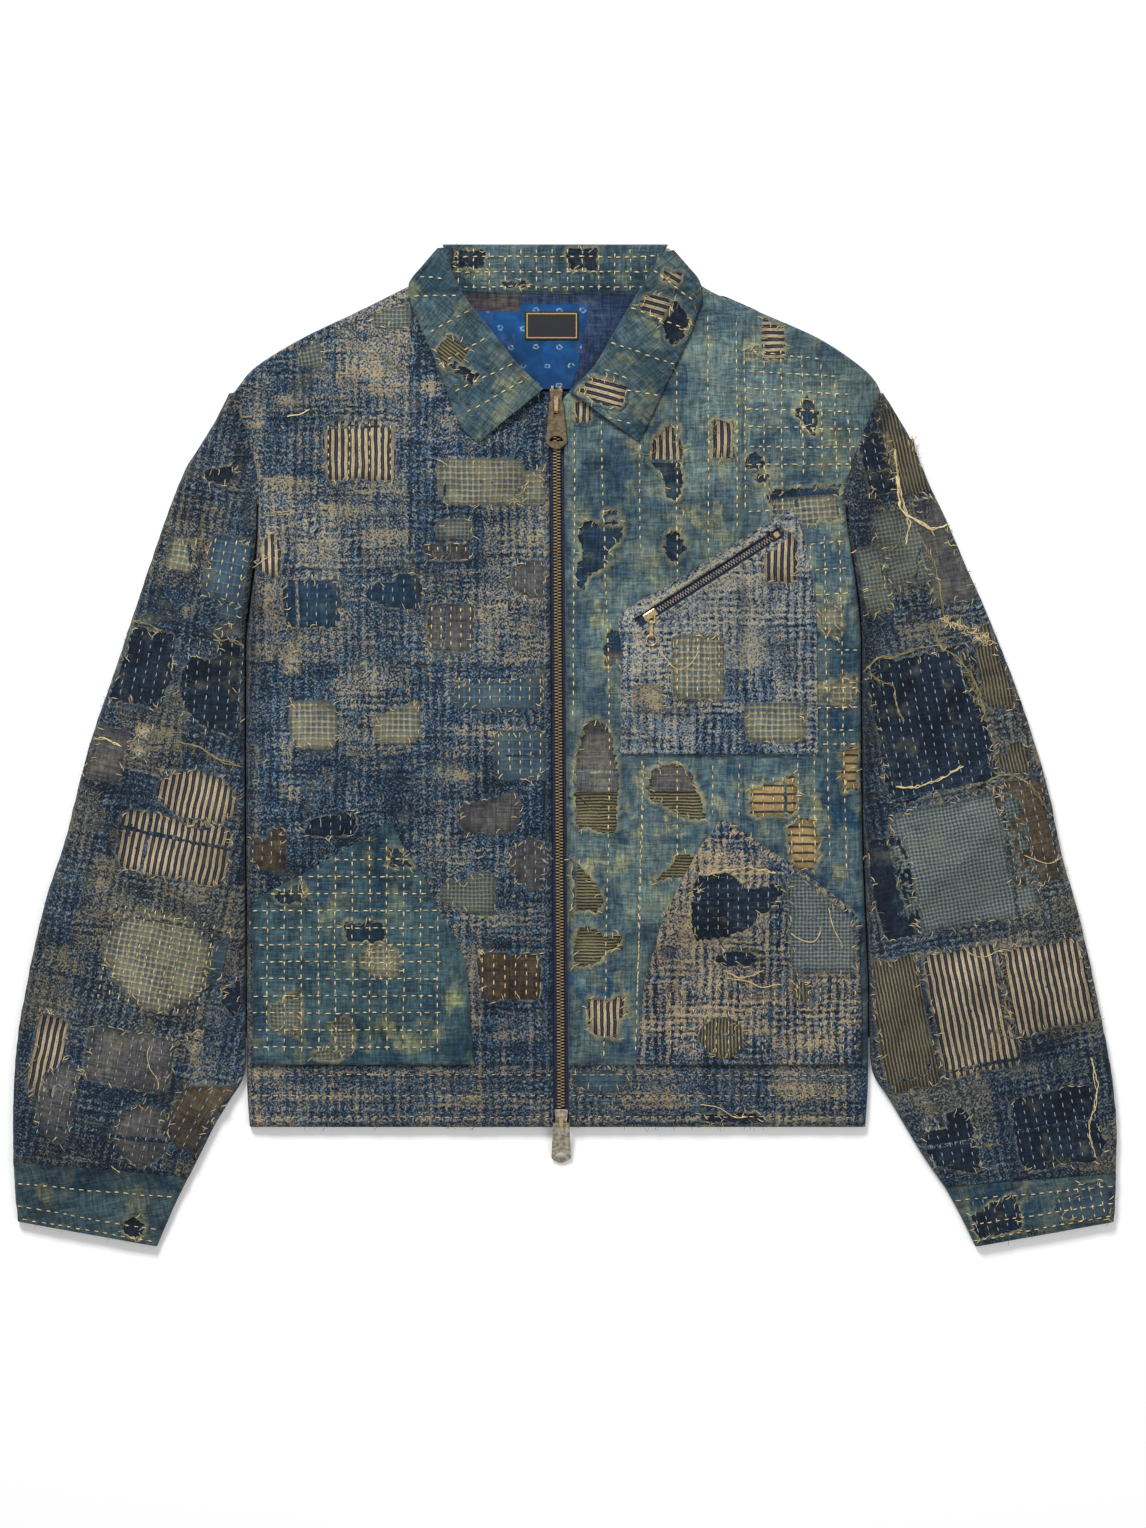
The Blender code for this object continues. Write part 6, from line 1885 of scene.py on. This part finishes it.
STITCHED = (
    # panel, thread, thickness, its rows
    ("front_left", "cream", 1, (
        (28.5, 262, 34.6, 60), (34.6, 60, 36, -10), (36, -10, 31, -252), (59.4, 250, 60, 150),
        (62, -12, 56.5, -250), (63, -14, 58, -200), (89.2, 300, 89.6, 120), (89.6, -10, 90, -92),
        (114.4, 345, 115, 140), (118, -14, 118, -62), (136.9, 340, 137.6, 168), (138.8, -14, 138.8, -58),
        (8, 250, 6.4, 20), (158.6, 322, 159, 190), (172.5, 318, 173, 186), (189, 312, 190, 216),
        (204.5, 306, 205, 214), (215, 290, 217, 210), (226, 268, 229, 205), (143.5, 310, 144, 190),
        (182, 150, 187, -78), (196, 162, 200, -86), (207, 170, 211, -92), (219, 172, 224.7, -100),
        (150, 313.6, 206, 308), (145, 298, 220, 294), (145, 284.5, 228, 280), (143, 268, 232, 266),
        (145, 254, 236, 252), (146, 238, 236, 238), (144, 224, 234, 224), (146, 186, 172, 188),
        (176, 158, 236, 164), (177, 138, 236, 142), (178, 118, 236, 122), (178, 75, 236, 76),
        (178, 44.5, 234, 46), (178, 29.7, 234, 30), (177, 11.8, 232, 12), (176, 0, 232, 1),
    )),
    ("lower_pocket_right", "cream", 0.95, lined_up(-251, -100, 13.6, -246, -72)),
    ("lower_pocket_right", "cream", 0.95, lined_up(-241, -90, 13.6, -252, -98, upright=False)),
    ("lower_pocket_left", "cream", 0.7, lined_up(84, 232, 9.2, -246, -190)),
    ("lower_pocket_left", "denim", 1, lined_up(-242, -70, 8, 80, 236, upright=False)),
    ("chest_pocket", "denim", 1.2, lined_up(62, 170, 6.6, 24, 150)),
    ("hem_band_right", "denim", 1.4, lined_up(-301, -262, 8.4, -250, -8, upright=False)),
    ("hem_band_left", "denim", 1.4, lined_up(-301, -262, 8.4, 4, 236, upright=False)),
    ("hem_band_right", "cream", 0.6, lined_up(-297, -262, 16.8, -250, -8, upright=False)),
    ("hem_band_left", "cream", 0.6, lined_up(-297, -262, 16.8, 4, 236, upright=False)),
    ("cuff_right", "cream", 0.9, (
        (-439, -350, -308, -362), (-438, -368, -320, -388), (-436, -378, -326, -397),
    )),
    ("cuff_left", "cream", 0.9, (
        (439, -352, 310, -364), (438, -366, 318, -384), (437, -376, 326, -396),
    )),
    ("collar_back", "cream", 0.9, lined_up(366, 391, 12, -112, 100, upright=False)),
    ("collar_back", "cream", 0.9, lined_up(-98, 94, 12.5, 362, 397)),
    ("leaf_right", "cream", 0.95, (
        (-123, 374, -96, 372), (-123, 358.4, -86, 357.8), (-114, 326, -74, 347), (-101, 303, -62, 325),
        (-90, 281, -38, 305), (-80, 265, -30, 291),
    )),
    ("leaf_left", "cream", 0.95, (
        (51.9, 348, 99, 331), (70, 378, 106, 352), (33.7, 321.3, 90, 303), (48, 283, 76, 279),
        (26, 263, 60, 254.5), (30, 300, 50, 292),
    )),
)
for n, (panel, thread, thick, rows) in enumerate(STITCHED):
    skin, heap, luck = sewn_skin(panel), Heap(), random.Random(900 + n)
    for row in rows:
        running_stitch(skin, heap, *row, THREADS[thread][1] * 1.75 * thick, luck)
    piece = heap.piece(f"{panel}_sashiko_{n}_thread", thread_finish(thread))
    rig.slot(piece, "teal_cloth" if "teal" in panel_cloth(panel).name else "indigo_cloth")
    sewn[panel].append(piece)

# ---- Front zip: brass teeth crimped along two dark blue tapes, a slider at each end with a stamped tab.
def plain_finish(name, bright, dull, size, rough, metal=0.0, bump=0.2):
    """A hard or closely woven finish: two tones in soft spots."""
    made, tree, shader = new_finish(name)
    spots = cloud(tree, place_on_jacket(tree), size, 4.0, 0.65)
    worn = between(tree, spots, 0.4, 0.62)
    tree.links.new(tint(tree, worn, rgba(dull), rgba(bright)), shader.inputs["Base Color"])
    tree.links.new(between(tree, spots, 0.3, 0.7, rough + 0.12, rough - 0.1), shader.inputs["Roughness"])
    shader.inputs["Metallic"].default_value = metal
    raised = add(tree, "Bump", {"Height": spots, "Strength": bump, "Distance": 0.0004})
    tree.links.new(raised.outputs[0], shader.inputs["Normal"])
    return made


zip_tape_blue = plain_finish("zip_tape_blue", "262f4c", "141a30", (0.9, 1.6, 1.0), 0.9, bump=0.5)
zip_brass = plain_finish("zip_brass", "ead6a6", "ae9266", 1.6, 0.34, 0.75)
antique_metal = plain_finish("antique_metal", "8d7f67", "615542", 3.0, 0.42, 0.7)
grey_metal = plain_finish("grey_metal", "d2cab6", "8f8675", 3.0, 0.4, 0.7)
for finish, nodes in (
    (zip_tape_blue, ("zip_tape_left", "zip_tape_right", "pocket_zip_tape")),
    (zip_brass, ("top_bail", "bottom_bail", "pocket_bail", "pocket_slider", "pocket_link", "pocket_ring")),
    (antique_metal, ("top_slider", "top_tab")),
    (grey_metal, ("bottom_slider", "bottom_tab")),
):
    for node in nodes:
        frame["nodes"][node].data.materials.clear()
        frame["nodes"][node].data.materials.append(finish)


def block(heap, x, y, z, along, across, high, turn, top):
    """A small block with its middle at x, y and its foot at z; its top is drawn in."""
    c, s = math.cos(turn), math.sin(turn)
    first = len(heap.points)
    for up, share in ((0.0, 1.0), (high * 0.7, 1.0), (high, top)):
        for u, v in ((-1, -1), (1, -1), (1, 1), (-1, 1)):
            a, b = u * along / 2 * share, v * across / 2 * share
            heap.points.append((x + a * c - b * s, y + a * s + b * c, z + up))
            heap.places.append((a, b))
            heap.fray.append(0.0)
            heap.dirt.append(0.0)
    for low in (0, 4):
        for k in range(4):
            a, b = first + low + k, first + low + (k + 1) % 4
            heap.faces.append((a, b, b + 4, a + 4))
    heap.faces.append((first + 8, first + 9, first + 10, first + 11))
    heap.faces.append((first + 3, first + 2, first + 1, first))


def brass_piece(name, heap, finish):
    """A hard-edged piece made of blocks."""
    piece = mesh_piece(name, heap.points, heap.faces, heap.places, finish, smooth=False)
    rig.slot(piece, "brass")
    return piece


def teeth(name, start, stop, pitch, reach, foot, high, finish):
    """Two rows of teeth along a line, set by half a pitch so that they mesh."""
    heap = Heap()
    length, dx, dy = line_of(*start, *stop)
    turn = math.atan2(dy, dx)
    for k in range(int(length / pitch)):
        for side, shift in ((1.0, 0.25), (-1.0, 0.75)):
            along, off = (k + shift) * pitch, side * reach * 0.44
            x, y = start[0] + dx * along - dy * off, start[1] + dy * along + dx * off
            block(heap, x, y, foot, pitch * 0.42, reach, high, turn, 0.7)
    return brass_piece(name, heap, finish)


chain = [(zip_x(y), y) for y in (-290.0, 269.0)]
front_teeth = teeth("zip_teeth", *chain, 2.5, 3.3, 4.3, 2.4, zip_brass)
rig.replaces(front_teeth, "zip_chain")
heap = Heap()
for side in (-1.0, 1.0):
    block(heap, zip_x(285.0) + side * 3.1, 285.6, 3.9, 2.4, 3.0, 2.6, 0.0, 0.75)
brass_piece("zip_stops", heap, zip_brass)

# ---- Chest pocket's opening: the pocket's cloth is turned in along a short brass zip and topstitched.
(from_x, from_y), (to_x, to_y) = POCKET_ZIP
slant, dx, dy = line_of(from_x, from_y, to_x, to_y)
*chain, stop = [(from_x + dx * along, from_y + dy * along) for along in (19.0, slant - 8.0, slant - 5.0)]
pocket_teeth = teeth("pocket_zip_teeth", *chain, 2.4, 2.1, 9.0, 1.5, grey_metal)
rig.replaces(pocket_teeth, "pocket_zip_chain")
heap = Heap()
block(heap, *stop, 8.9, 4.6, 5.0, 1.9, math.atan2(dy, dx), 0.8)
brass_piece("pocket_zip_stop", heap, zip_brass)
heap, steps = Heap(), round(slant / 2.0)
LIP = ((4.2, None), (4.1, -1.2), (4.3, 0.2), (4.9, 0.75), (5.9, 0.9), (7.0, 0.5), (7.8, -0.5))
for side in (-1.0, 1.0):
    rows = []
    for k in range(steps + 1):
        along = -1.6 + (slant + 3.2) * k / steps
        wave = 0.35 * curl(along, side, 9.0)
        row = []
        for off, lift in LIP:
            x = from_x + dx * along - dy * side * (off + wave)
            y = from_y + dy * along + dx * side * (off + wave)
            row.append((x, y, 7.6 if lift is None else chest_face(x, y) + lift))
        rows.append(row if side < 0 else row[::-1])
    heap.grid(rows, [[(x, y) for x, y, z in row] for row in rows])
pocket_lips = heap.piece("chest_pocket_lips", pale_indigo)
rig.slot(pocket_lips, "indigo_cloth")
sewn["chest_pocket"].append(pocket_lips)

# ---- Loose yarn: fringes at the worn edges and single threads that have come out and lie on the cloth.
FRINGED = (
    # panel it grows from, thread, threads, longest, places along the edge: x, y
    ("sleeve_right", "denim", 70, 9, ((-322, 92), (-306, 70), (-303, 40))),
    ("sleeve_right", "denim", 80, 7, ((-374, 34), (-350, 28), (-318, 36))),
    ("sleeve_right", "straw", 50, 5, ((-310, 2), (-280, -10), (-258, -18))),
    ("front_right", "denim", 40, 5, ((-224, 126), (-204, 136), (-182, 126))),
    ("front_right", "denim", 40, 5, ((-118, 104), (-116, 80), (-100, 70))),
    ("sleeve_right", "straw", 60, 4, ((-291, 167), (-281, 122))),
    ("sleeve_right", "straw", 50, 5, ((-374, -36), (-358, -70), (-362, -112))),
    ("sleeve_right", "denim", 60, 7, ((-262, 262), (-256, 196), (-262, 120), (-252, 60), (-252, -40))),
    ("sleeve_right", "straw", 40, 6, ((-330, 160), (-366, 60), (-392, -40), (-412, -130), (-432, -230))),
    ("sleeve_right", "straw", 24, 7, ((-438, -322), (-380, -330), (-306, -340))),
    ("sleeve_left", "straw", 90, 3.4, ((322, 63), (334, 23))),
    ("sleeve_left", "straw", 60, 3.4, ((255, 250), (261, 217))),
    ("sleeve_left", "cream", 90, 5, ((302, 100), (320, 92), (341, 81))),
    ("sleeve_left", "denim", 70, 8, ((240, 60), (246, 20), (262, -30))),
    ("sleeve_left", "denim", 70, 9, ((300, -36), (340, -14), (384, -30))),
    ("sleeve_left", "denim", 60, 9, ((300, -160), (350, -150), (400, -136))),
    ("sleeve_left", "straw", 60, 7, ((350, -166), (352, -210), (340, -250))),
    ("sleeve_left", "straw", 70, 8, ((252, 262), (247, 180), (250, 110), (248, 20), (250, -60))),
    ("sleeve_left", "straw", 46, 7,
     ((300, 240), (336, 140), (370, 40), (392, -60), (408, -130), (428, -240))),
    ("sleeve_left", "straw", 30, 7, ((436, -332), (380, -336), (310, -344))),
    ("hem_band_right", "denim", 50, 3.6, ((-250, -303.5), (-20, -303.5))),
    ("hem_band_left", "denim", 50, 3.6, ((6, -303.5), (232, -303.5))),
    ("lower_pocket_right", "straw", 60, 6,
     ((-250, -108), (-215, -92), (-180, -78), (-150, -74), (-112, -134))),
    ("lower_pocket_left", "cream", 50, 6, ((92, -150), (118, -92), (134, -66), (190, -96), (232, -132))),
    ("chest_pocket", "denim", 30, 4, ((58, 28), (120, 24), (170, 27))),
    ("leaf_left", "straw", 30, 5, ((50, 258), (72, 270), (100, 330), (108, 366))),
    ("leaf_right", "straw", 14, 4, ((-70, 256), (-100, 300), (-126, 350))),
    ("collar_back", "denim", 24, 3.5, ((-108, 398), (96, 398))),
    ("cuff_left", "straw", 26, 7, ((328, -397), (380, -388), (436, -380))),
    ("cuff_right", "straw", 18, 5, ((-326, -397), (-380, -388), (-436, -379))),
)
CORDS = (
    # torn edges rolled into a cord: panel, thread, thickness, where it runs
    ("sleeve_left", "cream", 1.6, ((264, -34), (282, -33), (300, -27), (317, -17))),
    ("sleeve_left", "straw", 1.6, ((238, 58), (250, 69), (262, 70), (284, 77), (304, 80))),
    ("sleeve_left", "cream", 2.1, ((265, 215), (266, 200), (268, 188), (278, 180), (293, 172), (305, 176))),
    ("sleeve_left", "cream", 1.4, ((262, 236), (266, 214), (269, 196), (274, 178), (272, 160))),
    ("sleeve_left", "straw", 1.1, ((282, 169), (290, 152), (296, 140), (302, 105))),
    ("sleeve_left", "straw", 1.1, ((241, 58), (252, 50), (261, 47), (264, 34), (270, 17))),
    ("sleeve_left", "straw", 1.5, ((292, 96), (300, 78), (312, 70), (326, 52), (334, 30), (332, 18))),
    ("sleeve_left", "cream", 1.2, ((420, -250), (424, -280), (418, -306), (424, -330))),
    ("sleeve_left", "straw", 1.5, ((336, -30), (352, -24), (370, -32), (384, -50))),
    ("sleeve_right", "straw", 1.5, ((-310, 2), (-292, -2), (-276, -12), (-258, -18))),
    ("sleeve_right", "straw", 1.4, ((-366, 90), (-356, 97), (-340, 98), (-322, 90))),
    ("sleeve_right", "cream", 1.4, ((-377, 5), (-366, 4), (-354, -2))),
    ("sleeve_right", "straw", 1.4, ((-281, 89), (-274, 83), (-268, 84), (-257, 79))),
    ("lower_pocket_left", "cream", 1.2, ((112, -104), (130, -100), (146, -98), (168, -102))),
    ("lower_pocket_left", "cream", 1.1, ((128, -180), (140, -186), (158, -180))),
)
LOOSE = (
    # panel, thread, start x, y, heading in degrees, length, thickness
    ("sleeve_right", "cream", -362, -336, -60, 44, 0.9),
    ("sleeve_right", "cream", -331, -240, -105, 37, 0.9),
    ("sleeve_right", "straw", -420, -250, 200, 26, 1),
    ("sleeve_left", "cream", 276, 182, -30, 26, 1.2),
    ("sleeve_left", "straw", 268, 176, -110, 30, 1.2),
    ("sleeve_left", "cream", 318, -160, -75, 44, 0.9),
    ("sleeve_left", "straw", 344, -228, -60, 38, 0.9),
    ("sleeve_left", "cream", 366, -88, -20, 34, 0.9),
    ("front_right", "cream", -216, 188, 200, 24, 0.8),
    ("front_right", "cream", -236, 150, -160, 18, 0.8),
    ("front_right", "straw", -96, 164, -10, 34, 1),
    ("front_right", "straw", -76, 116, -40, 24, 1),
    ("front_right", "cream", -222, 262, 20, 20, 1.4),
    ("front_right", "denim", -180, 226, 160, 30, 1),
    ("front_left", "straw", 54, 246, -100, 40, 1.2),
    ("front_left", "straw", 98, 360, 40, 18, 1.2),
    ("lower_pocket_left", "cream", 128, -186, 5, 46, 1.3),
    ("lower_pocket_left", "cream", 180, -150, -50, 34, 1),
    ("lower_pocket_left", "cream", 210, -130, -60, 34, 1),
    ("chest_pocket", "cream", 76, 80, -75, 48, 0.9),
    ("chest_pocket", "straw", 104, 96, -100, 70, 0.9),
    ("lower_pocket_right", "straw", -176, -168, -30, 24, 1),
    ("hem_band_left", "cream", 108, -287, -4, 40, 1),
    ("hem_band_right", "straw", -198, -262, 200, 20, 1),
)
luck = random.Random(4711)
loose_yarn = {}
for panel, thread, count, longest, edge in FRINGED:
    skin = sewn_skin(panel)
    heap = loose_yarn.setdefault((panel, thread), Heap())
    spans = [math.dist(a, b) for a, b in zip(edge, edge[1:])]
    for _ in range(count):
        k = luck.choices(range(len(spans)), spans)[0]
        share = luck.random()
        (ax, ay), (bx, by) = edge[k], edge[k + 1]
        x = ax + (bx - ax) * share + luck.uniform(-2.5, 2.5)
        y = ay + (by - ay) * share + luck.uniform(-2.5, 2.5)
        if height_at(skin, x, y) is None:
            continue
        heading, length = luck.uniform(0.0, 2 * math.pi), luck.uniform(0.35, 1.0) * longest
        path = wander(skin, x, y, heading, length, 0.7, luck, 0.7)
        strand(heap, path, THREADS[thread][1] * luck.uniform(0.6, 1.1))
for panel, thread, thick, bends in CORDS:
    skin = sewn_skin(panel)
    heap = loose_yarn.setdefault((panel, thread), Heap())
    for ply in (0.0, 1.0):
        path = []
        for x, y in smooth_table(bends, 1.6):
            x += 1.8 * curl(x, y, 6.0, ply) + 0.9 * curl(x, y, 2.4, ply) + 0.4 * ply
            y += 1.8 * curl(x, y, 6.0, ply + 5) + 0.9 * curl(x, y, 2.4, ply + 5) + 0.4 * ply
            z = height_at(skin, x, y)
            if z is not None:
                path.append((x, y, z + 0.3 * thick * (1 + 0.4 * curl(x, y, 4.0, ply + 8))))
        strand(heap, path, thick * (0.62 if ply else 0.5), 5)
for panel, thread, x, y, heading, length, thick in LOOSE:
    skin = sewn_skin(panel)
    heap = loose_yarn.setdefault((panel, thread), Heap())
    path = wander(skin, x, y, math.radians(heading), length, 0.8, luck, 0.22, 1.5)
    strand(heap, path, THREADS[thread][1] * thick * 1.25)
for (panel, thread), heap in loose_yarn.items():
    piece = heap.piece(f"{panel}_loose_{thread}_thread", thread_finish(thread))
    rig.slot(piece, "indigo_cloth")
    sewn[panel].append(piece)


# ---- Underside: the back and the backs of the sleeves are mended and quilted like the fronts. They lie on
# the table, so the patches are pressed flat and the stitches sunk into the cloth.
UNDERSIDE = (
    # cloth, panel, its patches (in the columns of the fronts' tables), its rows of stitching
    (back, "back", (
        ("ticking", -150, 214, 70, 56, 0, 0.7, "cream", "box"),
        ("navy", -42, 262, 58, 44, 0, 0.8, "pale_blue", "drop"),
        ("gauze", 96, 236, 76, 48, 0, 0.6, "", "slant"),
        ("grey", 176, 190, 52, 62, 0, 0.7, "pale_blue", "square"),
        ("plaid", 20, 168, 84, 40, 0, 0.6, "cream", "box"),
        ("brown", -196, 96, 48, 60, 0, 0.7, "pale_blue", "jar"),
        ("gingham", -92, 70, 82, 74, 0, 0.7, "", "square"),
        ("ticking", 118, 84, 58, 66, 0, 0.8, "", "boot"),
        ("olive", 196, 36, 44, 48, 0, 0.6, "", "box"),
        ("navy", 30, 12, 62, 58, 0, 0.9, "pale_blue", "arch"),
        ("cream", -176, -26, 30, 24, 0, 0.5, "", "box"),
        ("shirting", -120, -90, 66, 42, 0, 0.8, "", "horn"),
        ("gauze", 96, -74, 60, 52, 0, 0.6, "", "jar"),
        ("grey", 182, -120, 56, 60, 0, 0.7, "cream", "slant"),
        ("navy", -198, -170, 60, 50, 0, 0.8, "pale_blue", "box"),
        ("bolster", -40, -176, 54, 46, 0, 0.8, "cream", "tooth"),
        ("ticking", 60, -200, 72, 50, 0, 0.7, "", "square"),
        ("plaid", 170, -212, 48, 36, 0, 0.6, "cream", "box"),
    ), tuple((x, 336, x + 3, -246) for x in range(-232, 232, 26))),
    (right_sleeve, "sleeve_right", (
        ("grey", -290, 178, 44, 60, -11, 0.6, "pale_blue", "box"),
        ("ticking", -314, 82, 64, 52, -11, 0.8, "", "square"),
        ("navy", -330, -14, 70, 60, -11, 0.8, "pale_blue", "boot"),
        ("gingham", -340, -110, 74, 60, -11, 0.7, "", "square"),
        ("olive", -362, -200, 54, 50, -11, 0.6, "", "jar"),
        ("brown", -366, -286, 60, 52, -11, 0.7, "pale_blue", "slant"),
    ), tuple((x, 120, x - 62, -300) for x in range(-330, -250, 26))),
    (left_sleeve, "sleeve_left", (
        ("navy", 284, 182, 40, 56, 11, 0.8, "pale_blue", "square"),
        ("slat", 304, 92, 60, 50, 11, 0.6, "", "box"),
        ("gauze", 330, 4, 66, 58, 11, 0.6, "", "slant"),
        ("grey", 336, -92, 70, 54, 11, 0.7, "pale_blue", "square"),
        ("ticking", 346, -190, 76, 60, 11, 0.8, "", "square"),
        ("navy", 372, -286, 62, 54, 11, 0.8, "pale_blue", "drop"),
    ), tuple((x, 120, x + 62, -300) for x in range(256, 336, 26))),
)
SUNK = 0.5  # thickness of a stitch that is pressed into the cloth
for n, (cloth, panel, table, rows) in enumerate(UNDERSIDE):
    skin, heaps, luck = skin_over([cloth]), {}, random.Random(600 + n)
    lay_patches(skin, heaps, table, 600.0 + 31 * n, 0.6, below=True)
    made = [heap.piece(f"{panel}_under_{name}", CLOTHS[name][0]) for name, heap in heaps.items()]
    skin = skin_over([cloth, *made])
    threads = {"cream": Heap(), "pale_blue": Heap()}
    for row in rows:
        running_stitch(skin, threads["cream"], *row, SUNK, luck, below=True)
    for row in table:
        for ends in rows_over(row, 9.0, 4.0) if row[7] else ():
            running_stitch(skin, threads[row[7]], *ends, SUNK, luck, below=True)
    for name, heap in threads.items():
        if heap.points:
            made.append(heap.piece(f"{panel}_under_{name}_thread", thread_finish(name)))
    for piece in made:
        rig.slot(piece, "indigo_cloth")
    sewn.setdefault(panel, []).extend(made)

# ---- Each cloth as it was cut, with the patches, torn edges and threads that are sewn on it.
for piece, panel, flat, area, rests_on, held in laid_cloths:
    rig.sheet(piece, flat=flat, area=area, held=held, rests_on=rests_on, with_pieces=sewn.get(panel, []))

# ---- Table, light and camera: a white table, soft studio light from the collar's side, the camera
# straight above.
white, tree, shader = new_finish("white_table")
shader.inputs["Base Color"].default_value = (0.97, 0.97, 0.97, 1.0)
shader.inputs["Emission Color"].default_value = (1.0, 1.0, 1.0, 1.0)
GLOW = 0.09  # keeps the table white where it is seen, without lighting the jacket
rays = add(tree, "LightPath")
seen = calc(tree, "MAXIMUM", rays.outputs["Is Camera Ray"], rays.outputs["Is Glossy Ray"])
seen = calc(tree, "MAXIMUM", seen, rays.outputs["Is Transmission Ray"])
tree.links.new(times(tree, seen, GLOW), shader.inputs["Emission Strength"])
shader.inputs["Roughness"].default_value = 0.9
shader.inputs["Specular IOR Level"].default_value = 0.0
TABLE_SIZE, TABLE_Z = 12.0, -0.0006  # metres; just below the lowest stitch
bpy.ops.mesh.primitive_plane_add(size=TABLE_SIZE, location=(0.0, 0.0, TABLE_Z))
table = bpy.context.object
table.name = "table"
table.data.materials.append(white)
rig.stage(table)

world = bpy.data.worlds.new("studio")
bpy.context.scene.world = world
world.use_nodes = True
world.node_tree.nodes["Background"].inputs["Color"].default_value = (1.0, 1.0, 1.0, 1.0)
world.node_tree.nodes["Background"].inputs["Strength"].default_value = 0.36


def softbox(name, place, size, watts):
    lamp = bpy.data.lights.new(name, "AREA")
    lamp.energy, lamp.size = watts, size
    made = bpy.data.objects.new(name, lamp)
    made.location = place
    made.rotation_euler = (-Vector(place)).to_track_quat("-Z", "Y").to_euler()
    bpy.context.scene.collection.objects.link(made)


# the large soft light over the collar, and a weak wide one from the hem's other side
softbox("key_light", (-0.9, 2.2, 2.1), 0.9, 92.0)
softbox("fill_light", (1.6, -1.0, 2.6), 1.8, 22.0)

lens = bpy.data.cameras.new("camera")
lens.lens, lens.sensor_width, lens.sensor_fit = 88.3, 36.0, "VERTICAL"
lens.sensor_height = 36.0
camera = bpy.data.objects.new("camera", lens)
camera.location = (0.0064, -0.0152, 3.0)  # over the jacket's middle
bpy.context.scene.collection.objects.link(camera)
bpy.context.scene.camera = camera
bpy.context.scene.view_settings.view_transform = "Standard"

size_at_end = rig.bounds()
with open("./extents.json", "w") as file:
    json.dump([[list(corner) for corner in size_at_start], [list(corner) for corner in size_at_end]], file)
